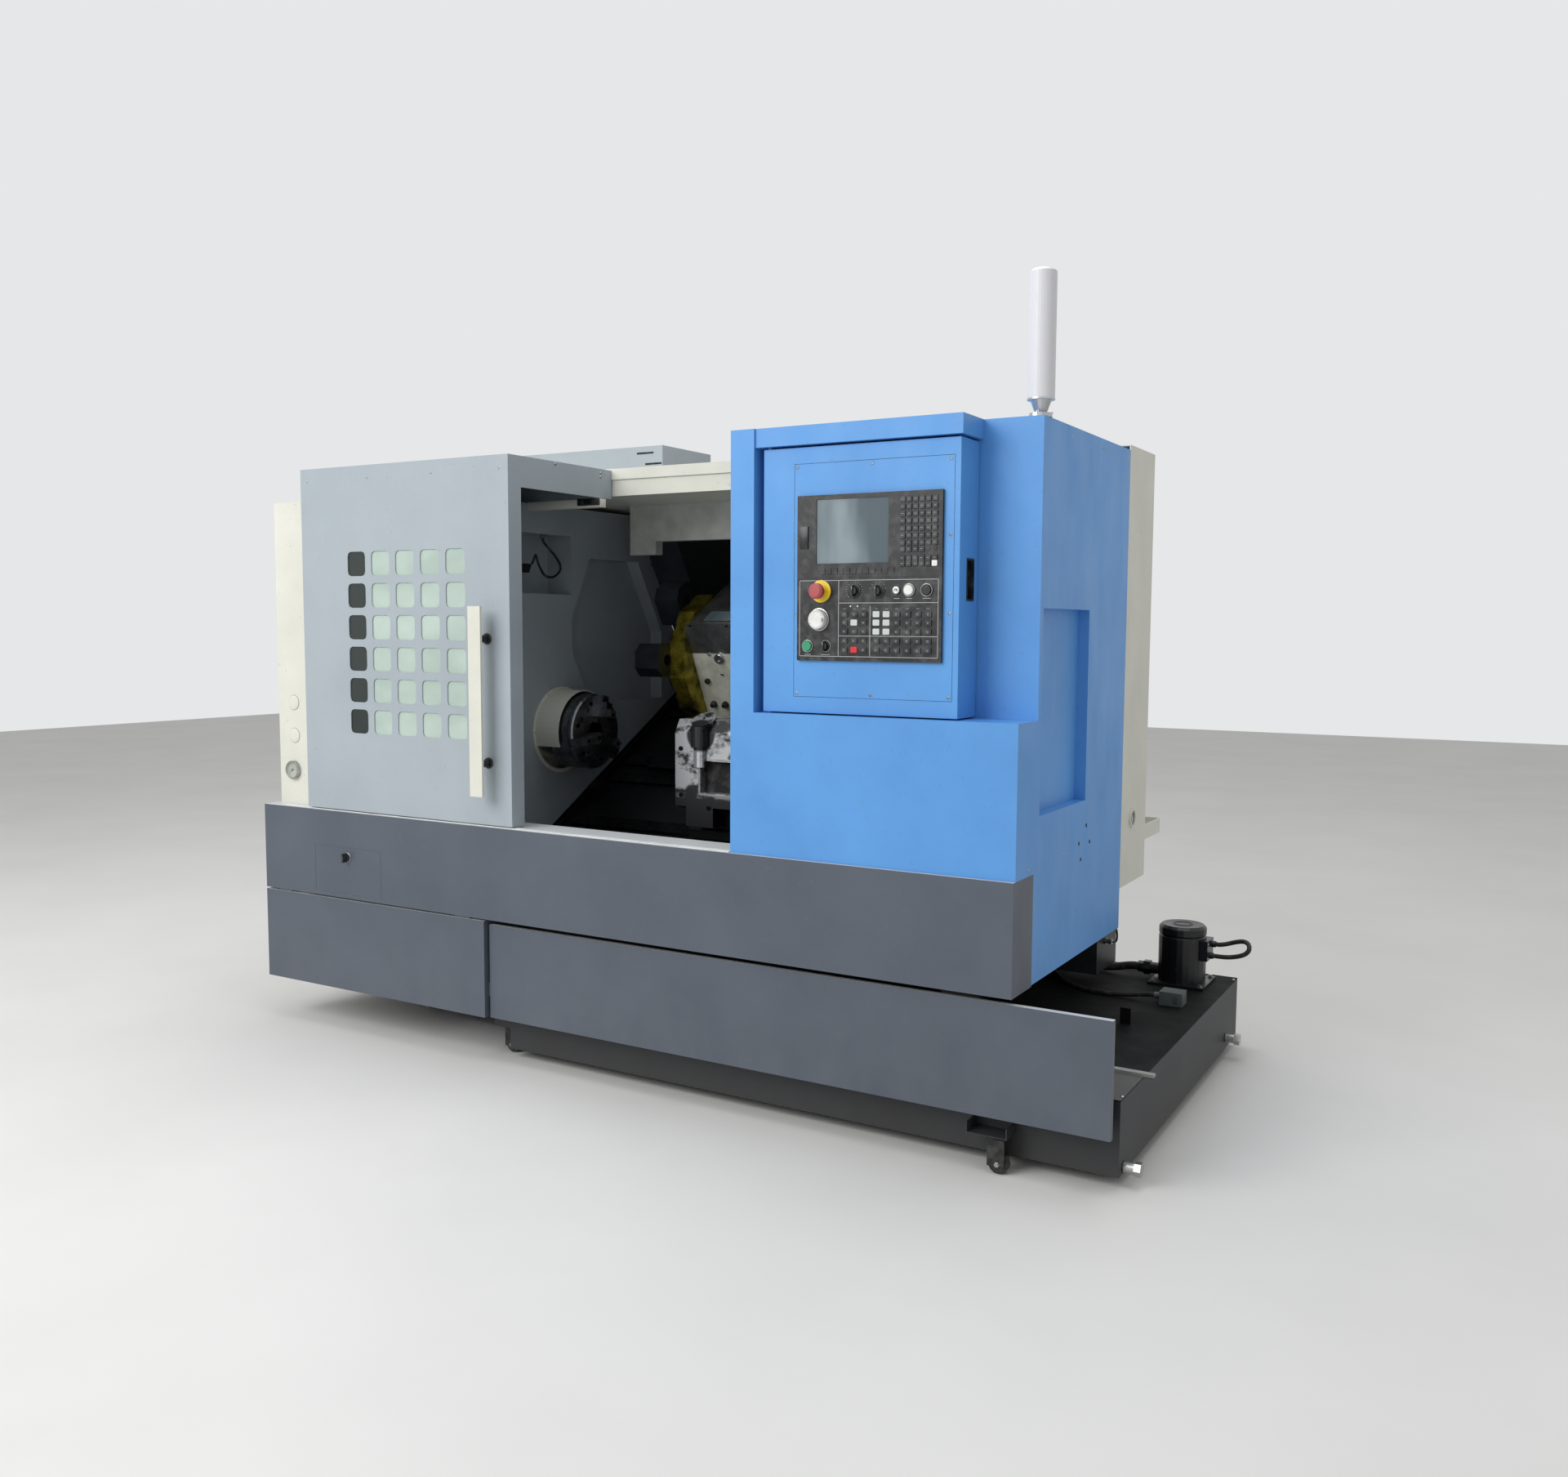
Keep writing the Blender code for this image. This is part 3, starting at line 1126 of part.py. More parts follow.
def make_carriage(root):
    """Saddle on the upper ways with its cover sheets, and the cross slide above it."""
    ride = RAIL_TOP_N + FIT
    x1 = SADDLE_LEFT + SADDLE_LENGTH
    saddle = slant_box(SADDLE_LEFT, x1, SADDLE_U, SADDLE_U_END, ride, SADDLE_TOP_N)
    guide = slant_slab(guide_outline(0, SHEET), SADDLE_U, SADDLE_U_END)
    floor = slant_box(WING_LEFT, WING_RIGHT, SADDLE_U, WING_BACK_U, ride, ride + SHEET)
    back = slant_box(WING_LEFT, WING_RIGHT, WING_BACK_U - SHEET, WING_BACK_U, ride + SHEET / 2, WING_TOP_N)
    nut = slant_box(NUT_LEFT, NUT_LEFT + NUT_LENGTH, SCREW_U - NUT_HALF, SCREW_U + NUT_HALF,
                    SCREW_N - NUT_HALF, ride + SHEET / 2)
    thread = cylinder("X", slant(SCREW_U, SCREW_N), SCREW_RADIUS + RUN_PLAY, NUT_LEFT - OVER,
                      NUT_LEFT + NUT_LENGTH + OVER, TINY_ROUND)
    screw = cylinder("X", slant(SCREW_U, SCREW_N), SCREW_RADIUS, SCREW_LEFT, SCREW_RIGHT, TINY_ROUND)
    node(screw, "z_ball_screw", "bright_steel", root, (SCREW_LEFT, *slant(SCREW_U, SCREW_N)))
    saddle = join(saddle, guide, floor, back, cut(nut, thread))
    node(saddle, "saddle", "black_paint", root, (SADDLE_LEFT, *slant(SADDLE_U, 0)))
    slide_x0 = SLIDE_LEFT + FIT
    slide_x1 = SLIDE_LEFT + SLIDE_LENGTH
    base = SADDLE_TOP_N + FIT
    outline = [(SLIDE_U - SLIDE_TOE, base), (SLIDE_U_END, base), (SLIDE_U_END, SLIDE_TOP_N),
               (SLIDE_U + SHEET, SLIDE_TOP_N), (SLIDE_U + SHEET, SLIDE_CAP_N), (SLIDE_U - SLIDE_HIP, SLIDE_HIP_N)]
    slide = slant_prism(outline, slide_x0, slide_x1)
    groove = slant_slab(guide_outline(FIT, OVER), SLIDE_U - SLIDE_TOE - OVER, SLIDE_U_END + OVER)
    window = slant_box(slide_x0 + OIL_WINDOW_MARGIN, slide_x0 + OIL_WINDOW_MARGIN + OIL_WINDOW_LENGTH,
                       SLIDE_U + OIL_WINDOW_MARGIN, SLIDE_U + OIL_WINDOW_MARGIN + OIL_WINDOW_WIDTH,
                       SLIDE_TOP_N - OIL_WINDOW_DEPTH, SLIDE_TOP_N + OVER)
    node(cut(slide, groove, window), "cross_slide", "bare_iron", root, (SLIDE_LEFT, *slant(SLIDE_U, 0)))


def around_turret(item, angle):
    """Turn a solid about the turret axis."""
    centre = Vector((0, *slant(TURRET_U, TURRET_N)))
    turn = Matrix.Translation(centre) @ Matrix.Rotation(angle, 4, "X") @ Matrix.Translation(-centre)
    item.data.transform(turn)
    return item


def holder_outline(y, z):
    """End view of one boring bar holder that points along +Y: a block with wide chamfers."""
    tip = y + HOLDER_REACH
    return [(y + HOLDER_IN, z - HOLDER_HALF), (tip - HOLDER_CORNER, z - HOLDER_HALF),
            (tip, z - HOLDER_HALF + HOLDER_CORNER), (tip, z + HOLDER_HALF - HOLDER_CORNER),
            (tip - HOLDER_CORNER, z + HOLDER_HALF), (y + HOLDER_IN, z + HOLDER_HALF)]


def make_turret(root):
    """Twelve sided turret disc with its station slots and two boring bar holders."""
    y, z = slant(TURRET_U, TURRET_N)
    x1 = SLIDE_LEFT
    x0 = x1 - TURRET_THICK
    corner = TURRET_RADIUS / math.cos(math.pi / TURRET_SIDES)
    step = 2 * math.pi / TURRET_SIDES
    outline = []
    for index in range(TURRET_SIDES):
        angle = step * (index + 0.5)
        outline.append((y + corner * math.cos(angle), z + corner * math.sin(angle)))
    disc = prism(outline, "X", x0, x1)
    tools = []
    for index in range(TURRET_SIDES):
        slot = box((x0 - OVER, y + STATION_SLOT_IN, z - STATION_SLOT_WIDTH / 2),
                   (x0 + STATION_SLOT_DEPTH, y + corner + OVER, z + STATION_SLOT_WIDTH / 2))
        tools.append(around_turret(slot, index * step))
    disc = cut(disc, gather(tools))
    hub = cylinder("X", (y, z), TURRET_HUB, x0 - STATION_SLOT_DEPTH, x0 + HOLDER_BITE)
    holders = []
    for angle in (math.pi, 2 * math.pi / 3):
        holder = prism(holder_outline(y, z), "X", x0 - HOLDER_LENGTH, x0 + HOLDER_BITE)
        bore = cylinder("X", (y + HOLDER_REACH - HOLDER_HALF, z), HOLDER_BORE, x0 - HOLDER_LENGTH - OVER,
                        x0 + HOLDER_BITE + OVER, SMALL_ROUND)
        holders.append(around_turret(cut(holder, bore), angle))
    node(join(disc, hub, *holders), "turret_disc", "oiled_steel", root, (x1, y, z))


def tail_outline():
    """Section of the tailstock body up from its base, in slant coordinates."""
    ride = RAIL_TOP_N + FIT
    height = TAIL_TOP - SLANT_Z
    points = [(TAIL_BASE_U, ride), (TAIL_BASE_U_END, ride), (TAIL_BASE_U_END, ride + TAIL_SHOE_BACK)]
    points += [(height * u, height * n) for u, n in TAIL_SHARES]
    points += [(TAIL_BASE_U + RAIL_RISE, ride + TAIL_SHOE_FRONT), (TAIL_BASE_U, ride + TAIL_SHOE_FRONT)]
    return points


def make_tailstock(root):
    """Tailstock body with its front window, cap, bracket and quill."""
    x1 = TAIL_LEFT + TAIL_LENGTH
    body = slant_prism(tail_outline(), TAIL_LEFT, x1)
    cap_x = TAIL_LEFT + TAIL_CAP_X
    cap = cylinder("Z", (0, 0), TAIL_CAP_RADIUS, -TAIL_CAP_RISE, TAIL_CAP_RISE, HIDDEN_ROUND)
    cap.data.transform(Matrix.Translation((cap_x, TAIL_CAP_Y, TAIL_CAP_Z)) @ Matrix.Rotation(SLANT, 4, "X"))
    boss = cylinder("Z", (cap_x, TAIL_BOSS_Y), TAIL_BOSS_RADIUS, TAIL_BOSS_BOTTOM, TAIL_CAP_Z, HIDDEN_ROUND)
    stem = cylinder("Z", (cap_x, TAIL_BOSS_Y), TAIL_STEM_RADIUS, TAIL_STEM_BOTTOM, TAIL_CAP_Z - TAIL_CAP_RISE,
                    SMALL_ROUND)
    bracket_x = TAIL_LEFT + TAIL_BRACKET_X
    bracket = box((bracket_x, TAIL_FRONT, TAIL_BRACKET_Z),
                  (bracket_x + TAIL_BRACKET_LENGTH, TAIL_FRONT + TAIL_BRACKET_DEPTH,
                   TAIL_BRACKET_Z + TAIL_BRACKET_HEIGHT))
    body = join(body, cap, boss, stem, bracket)
    window_x = TAIL_LEFT + TAIL_WINDOW_X
    window = box((window_x, TAIL_FRONT - OVER, TAIL_WINDOW_Z),
                 (window_x + TAIL_WINDOW_LENGTH, TAIL_FRONT + TAIL_WINDOW_DEPTH,
                  TAIL_WINDOW_Z + TAIL_WINDOW_HEIGHT))
    centre = (SPINDLE_Y, SPINDLE_Z)
    bore = cylinder("X", centre, QUILL_RADIUS + RUN_PLAY, TAIL_LEFT - OVER, x1 + OVER)
    node(cut(body, window, bore), "tailstock", "bare_iron", root, (TAIL_LEFT, *slant(TAIL_BASE_U, 0)))
    front = TAIL_LEFT - FIT
    nose = front - QUILL_NOSE_LENGTH
    profile = [(0, x1), (QUILL_RADIUS, x1), (QUILL_RADIUS, front), (QUILL_NOSE_RADIUS, front),
               (QUILL_NOSE_RADIUS, nose + QUILL_CHAMFER), (QUILL_RADIUS, nose), (QUILL_SOCKET, nose),
               (QUILL_SOCKET, nose + QUILL_SOCKET_DEPTH), (0, nose + QUILL_SOCKET_DEPTH)]
    node(turned(profile, "X", centre), "tailstock_quill", "dark_steel", root, (front, *centre), True)


def make_top_frame(root):
    """Roof box behind the door's hood, with its stepped front beam."""
    outline = [(FRAME_FRONT, FRAME_TOP), (FRAME_BACK, FRAME_TOP), (FRAME_BACK, COVER_TOP + FIT),
               (FRAME_BACK - FRAME_FOOT_DEPTH, COVER_TOP + FIT), (FRAME_BACK - FRAME_FOOT_DEPTH, FRAME_BOTTOM),
               (FRAME_FRONT + FRAME_STEP, FRAME_BOTTOM), (FRAME_FRONT + FRAME_STEP, FRAME_TOP - FRAME_LIP),
               (FRAME_FRONT, FRAME_TOP - FRAME_LIP)]
    node(prism(outline, "X", COVER_X, -HOUSING_WIDTH - FIT), "top_frame", "cream_paint", root)


def make_back_guard(root):
    """Sloping back wall, L shaped top guard and end wall of the work space."""
    x0 = WALL_X + FIT
    top = FRAME_BOTTOM - FIT

    def wall_y(u):
        """Depth at which the sheet at u reaches the underside of the roof box."""
        return slant(u, (top - slant(u, 0)[1]) / math.cos(SLANT))[0]

    outer = BACK_WALL_U + SHEET
    plate = prism([slant(BACK_WALL_U, FIT), slant(outer, FIT), (wall_y(outer), top), (wall_y(BACK_WALL_U), top)],
                  "X", x0, END_WALL_X - SHEET / 2)
    guard_x = x0 + TOP_GUARD_LEFT
    ceiling = box((guard_x, TOP_GUARD_Y, TOP_GUARD_BOTTOM),
                  (END_WALL_X - SHEET / 2, TOP_GUARD_Y + TOP_GUARD_DEPTH, top))
    leg = box((guard_x, TOP_GUARD_Y, TOP_GUARD_LEG_BOTTOM),
              (guard_x + TOP_GUARD_LEG, TOP_GUARD_Y + TOP_GUARD_DEPTH, TOP_GUARD_BOTTOM + OVER))
    bridge = box((guard_x + OVER, TOP_GUARD_Y + TOP_GUARD_DEPTH - OVER, top - SHEET),
                 (END_WALL_X - OVER, wall_y(BACK_WALL_U) + SHEET / 2, top))
    middle = BACK_WALL_U + SHEET / 2
    end_wall = prism([(END_WALL_FRONT, top), (wall_y(middle), top), slant(middle, 2 * FIT),
                      (END_WALL_FRONT, slant_height(END_WALL_FRONT, 2 * FIT))],
                     "X", END_WALL_X - SHEET, END_WALL_X)
    node(join(plate, end_wall, ceiling, leg, bridge), "back_guard", "cream_paint", root)


def make_door(root):
    """Sliding door with its window grid, pane and pull handle."""
    y0, z0 = DOOR_FRONT, DOOR_BOTTOM
    y_return = y0 + DOOR_RETURN
    y_back = FRAME_FRONT - DOOR_HOOD_GAP
    hood = DOOR_TOP - DOOR_HOOD
    pivot = (DOOR_X0, y0, z0)
    outer = prism([(y0, z0), (y_return, z0), (y_return, hood), (y_back, hood), (y_back, DOOR_TOP), (y0, DOOR_TOP)],
                  "X", DOOR_X0, DOOR_X1)
    inner = prism([(y0 + SHEET, z0 - OVER), (y_return + OVER, z0 - OVER), (y_return + OVER, hood - OVER),
                   (y_back - SHEET, hood - OVER), (y_back - SHEET, DOOR_TOP - SHEET),
                   (y0 + SHEET, DOOR_TOP - SHEET)], "X", DOOR_X0 + SHEET, DOOR_X1 - SHEET)
    trim = box((DOOR_X0 - OVER, y0 + DOOR_LEFT_RETURN, z0 - OVER), (DOOR_X0 + SHEET + OVER, y_return + OVER, hood))
    cells = []
    for column in range(WINDOW_COLUMNS):
        for row in range(WINDOW_ROWS):
            x = DOOR_X0 + WINDOW_LEFT + column * CELL_PITCH_X
            z = WINDOW_BOTTOM + row * CELL_PITCH_Z
            cells.append(prism(rounded(x, z, x + CELL_WIDTH, z + CELL_HEIGHT, CELL_CORNER, 2),
                               "Y", y0 - OVER, y0 + SHEET + OVER))
    door = cut(outer, inner, trim, gather(cells))
    node(door, "sliding_door", "door_paint", root, pivot)
    grid_width = (WINDOW_COLUMNS - 1) * CELL_PITCH_X + CELL_WIDTH
    grid_height = (WINDOW_ROWS - 1) * CELL_PITCH_Z + CELL_HEIGHT
    x = DOOR_X0 + WINDOW_LEFT
    pane = box((x - PANE_MARGIN, y0 + SHEET + FIT, WINDOW_BOTTOM - PANE_MARGIN),
               (x + grid_width + PANE_MARGIN, y0 + SHEET + FIT + PANE_THICK,
                WINDOW_BOTTOM + grid_height + PANE_MARGIN))
    node(pane, "door_window", "glass", root, pivot)
    x1 = DOOR_X1 - HANDLE_FROM_EDGE
    x0 = x1 - HANDLE_WIDTH
    bar_back = y0 - HANDLE_STAND
    bar = box((x0, bar_back - HANDLE_THICK, HANDLE_BOTTOM), (x1, bar_back, HANDLE_BOTTOM + HANDLE_LENGTH))
    posts = []
    for z in (HANDLE_BOTTOM + HANDLE_POST_INSET, HANDLE_BOTTOM + HANDLE_LENGTH - HANDLE_POST_INSET):
        posts.append(cylinder("Y", ((x0 + x1) / 2, z), HANDLE_POST, bar_back - HANDLE_THICK / 2, y0 - FIT,
                              SMALL_ROUND))
    node(join(bar, *posts), "door_handle", "cream_paint", root, pivot)


def make_housing(root):
    """Blue right housing: pillar, header, shelf, recess for the control head and side panel."""
    left, front, recess = -HOUSING_WIDTH, HOUSING_FRONT, HOUSING_RECESS
    bottom, top = SKIRT_TOP + FIT, HOUSING_TOP
    body = box((left, recess, bottom), (0, HOUSING_BACK, top))
    lower = box((left, front, bottom), (0, recess + OVER, SHELF_HEIGHT))
    pillar = box((left, front, SHELF_HEIGHT - OVER), (left + PILLAR_WIDTH, recess + OVER, top))
    header = box((left + OVER, HEADER_FRONT, top - HEADER_HEIGHT), (-HEADER_END, recess + OVER, top))
    body = join(body, lower, pillar, header)
    upper_room = box((left - OVER, recess + SHEET, bottom - OVER), (-SHEET, HOUSING_BACK + OVER, top - SHEET))
    lower_room = box((left - OVER, front + SHEET, bottom - OVER),
                     (-SHEET, recess + SHEET + OVER, SHELF_HEIGHT - SHEET))
    body = cut(body, upper_room, lower_room)
    flank = box((-SHEET, SKIRT_DEPTH + FIT, SIDE_BOTTOM), (0, HOUSING_BACK, bottom + OVER))
    pocket_back = SIDE_POCKET_FRONT + SIDE_POCKET_WIDTH
    pocket_top = SIDE_POCKET_BOTTOM + SIDE_POCKET_HEIGHT
    pan = box((-SIDE_POCKET_DEPTH - SHEET, SIDE_POCKET_FRONT - SHEET, SIDE_POCKET_BOTTOM - SHEET),
              (-SHEET / 2, pocket_back + SHEET, pocket_top + SHEET))
    body = join(body, flank, pan)
    pocket = box((-SIDE_POCKET_DEPTH, SIDE_POCKET_FRONT, SIDE_POCKET_BOTTOM), (OVER, pocket_back, pocket_top))
    node(cut(body, pocket), "right_housing", "blue_paint", root)


def make_tower_lamp(root):
    """Opal signal lamp on its turned post."""
    z = HOUSING_TOP + FIT
    centre = (POST_X, POST_Y)
    neck = z + POST_FOOT_HEIGHT
    top = z + POST_HEIGHT
    profile = [(0, z), (POST_FOOT, z), (POST_FOOT, neck), (POST_NECK, neck), (POST_HEAD, top), (0, top)]
    node(turned(profile, "Z", centre, SMALL_ROUND), "lamp_post", "aluminium", root, smooth=True)
    low = top + FIT
    high = low + LAMP_HEIGHT
    profile = [(0, low), (LAMP_RADIUS, low), (LAMP_RADIUS, high - LAMP_DOME), (LAMP_RADIUS - LAMP_DOME, high),
               (0, high)]
    node(turned(profile, "Z", centre), "tower_lamp", "opal", root, smooth=True)


def panel_point(share, bottom, top):
    """Place on the control panel from shares of its width and height."""
    return (-UNIT_LEFT + UNIT_WIDTH * share[0], bottom + (top - bottom) * share[1])


def key_block(x, z, width, height):
    """One raised key that stands on the panel's face."""
    return box((x - width / 2, UNIT_FRONT - KEY_RISE, z - height / 2),
               (x + width / 2, UNIT_FRONT + KEY_ROOT, z + height / 2))


def make_control_head(root):
    """Swivelling control box with the numerical control unit and operator panel."""
    pivot = (-HEAD_BOX_LEFT + HINGE_INSET, HEAD_BOX_FRONT + HINGE_INSET, HEAD_BOX_Z0)
    case = box((-HEAD_BOX_LEFT, HEAD_BOX_FRONT, HEAD_BOX_Z0), (-HEAD_BOX_RIGHT, HEAD_BOX_BACK, HEAD_BOX_Z1))
    pin = cylinder("Z", pivot[:2], HINGE_PIN, SHELF_HEIGHT + FIT, HOUSING_TOP - HEADER_HEIGHT - FIT, SMALL_ROUND)
    grip = box((-HEAD_BOX_RIGHT - GRIP_DEPTH, GRIP_Y, GRIP_Z),
               (-HEAD_BOX_RIGHT + OVER, GRIP_Y + GRIP_WIDTH, GRIP_Z + GRIP_HEIGHT))
    node(cut(join(case, pin), grip), "control_box", "blue_paint", root, pivot)
    left, right = -UNIT_LEFT, -UNIT_LEFT + UNIT_WIDTH
    unit = box((left, UNIT_FRONT, UNIT_SPLIT), (right, UNIT_BACK, UNIT_TOP))
    low = panel_point(SCREEN_SHARES[:2], UNIT_SPLIT, UNIT_TOP)
    high = panel_point(SCREEN_SHARES[2:], UNIT_SPLIT, UNIT_TOP)
    screen = box((low[0], UNIT_FRONT - OVER, low[1]), (high[0], UNIT_FRONT + SCREEN_DEPTH, high[1]))
    unit = cut(unit, screen)
    keys = []
    for share_x in MDI_X_SHARES:
        for share_z in MDI_Z_SHARES:
            x, z = panel_point((share_x, share_z), UNIT_SPLIT, UNIT_TOP)
            keys.append(key_block(x, z, KEY_SIZE, KEY_SIZE))
    for index in range(SOFT_KEYS):
        start, end, share_z = SOFT_KEY_SHARES
        share_x = start + (end - start) * index / (SOFT_KEYS - 1)
        x, z = panel_point((share_x, share_z), UNIT_SPLIT, UNIT_TOP)
        keys.append(key_block(x, z, SOFT_KEY_WIDTH, KEY_SIZE))
    low = panel_point(CARD_SHARES[:2], UNIT_SPLIT, UNIT_TOP)
    high = panel_point(CARD_SHARES[2:], UNIT_SPLIT, UNIT_TOP)
    keys.append(box((low[0], UNIT_FRONT - KEY_RISE, low[1]), (high[0], UNIT_FRONT + KEY_ROOT, high[1])))
    node(join(unit, gather(keys)), "cnc_unit", "black_plastic", root, pivot)
    make_operator_panel(root, pivot, left, right)


def panel_ring(share, radius, rise):
    """Bezel that stands on the operator panel round a control."""
    x, z = panel_point(share, PANEL_BOTTOM, UNIT_SPLIT - FIT)
    return cylinder("Y", (x, z), radius, UNIT_FRONT - rise, UNIT_FRONT + KEY_ROOT, SMALL_ROUND)


def panel_hole(share, radius):
    """Blind hole in which a pushed button runs."""
    x, z = panel_point(share, PANEL_BOTTOM, UNIT_SPLIT - FIT)
    return cylinder("Y", (x, z), radius + BUTTON_PLAY, UNIT_FRONT - OVER, UNIT_FRONT + BUTTON_HOLE, SMALL_ROUND)


def make_operator_panel(root, pivot, left, right):
    """Operator panel with its fixed keys, bezels and the holes of the pushed buttons."""
    top = UNIT_SPLIT - FIT
    panel = box((left, UNIT_FRONT, PANEL_BOTTOM), (right, UNIT_BACK, top))
    keys = []
    for share_x in KEY_X_SHARES:
        for share_z in KEY_Z_SHARES:
            x, z = panel_point((share_x, share_z), PANEL_BOTTOM, top)
            keys.append(key_block(x, z, KEY_SIZE, KEY_SIZE))
    keys.append(panel_ring(ESTOP_SHARE, ESTOP_RING, RING_RISE))
    keys.append(panel_ring(WHEEL_SHARE, WHEEL_BEZEL, RING_RISE))
    keys.append(panel_ring(LOCK_SHARE, LOCK_RADIUS, LOCK_RISE))
    for share in (START_SHARE, HOLD_SHARE, POWER_SHARE):
        keys.append(panel_ring(share, BUTTON_BEZEL, RING_RISE))
    panel = join(panel, gather(keys))
    holes = [panel_hole(ESTOP_SHARE, ESTOP_STEM)]
    for share in (START_SHARE, HOLD_SHARE, POWER_SHARE):
        holes.append(panel_hole(share, BUTTON_RADIUS))
    node(cut(panel, gather(holes)), "operator_panel", "black_plastic", root, pivot)
    make_controls(root)


def make_controls(root):
    """Stop button, handwheel, knobs and push buttons of the operator panel."""
    top = UNIT_SPLIT - FIT
    face = UNIT_FRONT
    root_y = face + BUTTON_ROOT
    x, z = panel_point(ESTOP_SHARE, PANEL_BOTTOM, top)
    front = face - ESTOP_HEIGHT
    profile = [(0, root_y), (ESTOP_STEM, root_y), (ESTOP_STEM, front + ESTOP_HEAD),
               (ESTOP_RADIUS, front + ESTOP_HEAD), (ESTOP_RADIUS, front + ESTOP_CURVE),
               (ESTOP_CROWN, front), (0, front)]
    node(turned(profile, "Y", (x, z), HIDDEN_ROUND), "estop_button", "red_plastic", root, (x, face, z), True)
    for name, share, finish in (("start_button", START_SHARE, "green_plastic"),
                                ("hold_button", HOLD_SHARE, "white_plastic"),
                                ("power_button", POWER_SHARE, "black_plastic")):
        x, z = panel_point(share, PANEL_BOTTOM, top)
        profile = [(0, root_y), (BUTTON_RADIUS, root_y), (BUTTON_RADIUS, face - BUTTON_HEIGHT + KEY_RISE),
                   (BUTTON_RADIUS - KEY_RISE, face - BUTTON_HEIGHT), (0, face - BUTTON_HEIGHT)]
        node(turned(profile, "Y", (x, z), SMALL_ROUND), name, finish, root, (x, face, z), True)
    x, z = panel_point(WHEEL_SHARE, PANEL_BOTTOM, top)
    back = face - RING_RISE - FIT
    front = back - WHEEL_HEIGHT
    profile = [(0, back), (WHEEL_RADIUS, back), (WHEEL_RADIUS, front + KEY_RISE),
               (WHEEL_RADIUS - KEY_RISE, front), (0, front)]
    wheel = turned(profile, "Y", (x, z), HIDDEN_ROUND)
    crank = cylinder("Y", (x + WHEEL_GRIP_CIRCLE, z), WHEEL_GRIP, front - WHEEL_GRIP_RISE, front + KEY_RISE,
                     TINY_ROUND)
    node(join(wheel, crank), "handwheel", "white_plastic", root, (x, face, z), True)
    for name, share, radius in (("feed_knob", FEED_SHARE, KNOB_RADIUS), ("mode_knob", MODE_SHARE, KNOB_RADIUS),
                                ("rapid_selector", SELECTOR_SHARE, SELECTOR_RADIUS)):
        x, z = panel_point(share, PANEL_BOTTOM, top)
        skirt = cylinder("Y", (x, z), radius, face - FIT - KNOB_SKIRT, face - FIT, SMALL_ROUND)
        bar = box((x - KNOB_BAR / 2, face - FIT - KNOB_HEIGHT, z - radius),
                  (x + KNOB_BAR / 2, face - FIT - KNOB_SKIRT / 2, z + radius * BAR_TOP_SHARE))
        body = cylinder("Y", (x, z), radius * KNOB_BODY_SHARE, face - FIT - KNOB_HEIGHT + KNOB_STEP,
                        face - FIT - KNOB_SKIRT / 2, TINY_ROUND)
        node(join(skirt, body, bar), name, "black_plastic", root, (x, face, z))


def make_rear_cover(root):
    """Cream cover at the rear right corner with its cable tray and sight glass."""
    y0 = HOUSING_BACK + FIT
    shell = box((-REAR_COVER_WIDTH, y0, REAR_COVER_BOTTOM), (0, REAR_COVER_BACK, REAR_COVER_TOP))
    room = box((-REAR_COVER_WIDTH - OVER, y0 - OVER, REAR_COVER_BOTTOM - OVER),
               (-SHEET, REAR_COVER_BACK - SHEET, REAR_COVER_TOP - SHEET))
    shell = cut(shell, room)
    tray = box((-TRAY_WIDTH, REAR_COVER_BACK - SHEET / 2, TRAY_Z),
               (0, REAR_COVER_BACK + TRAY_LENGTH, TRAY_Z + TRAY_HEIGHT))
    trough = box((-TRAY_WIDTH + SHEET, REAR_COVER_BACK + SHEET, TRAY_Z + SHEET),
                 (-SHEET, REAR_COVER_BACK + TRAY_LENGTH - SHEET, TRAY_Z + TRAY_HEIGHT + OVER))
    sight = turned([(SIGHT_BORE, -SHEET / 2), (SIGHT_RADIUS, -SHEET / 2), (SIGHT_RADIUS, SIGHT_RISE),
                    (SIGHT_BORE, SIGHT_RISE)], "X", (SIGHT_Y, SIGHT_Z))
    node(join(shell, cut(tray, trough), sight), "rear_right_cover", "grey_paint", root)


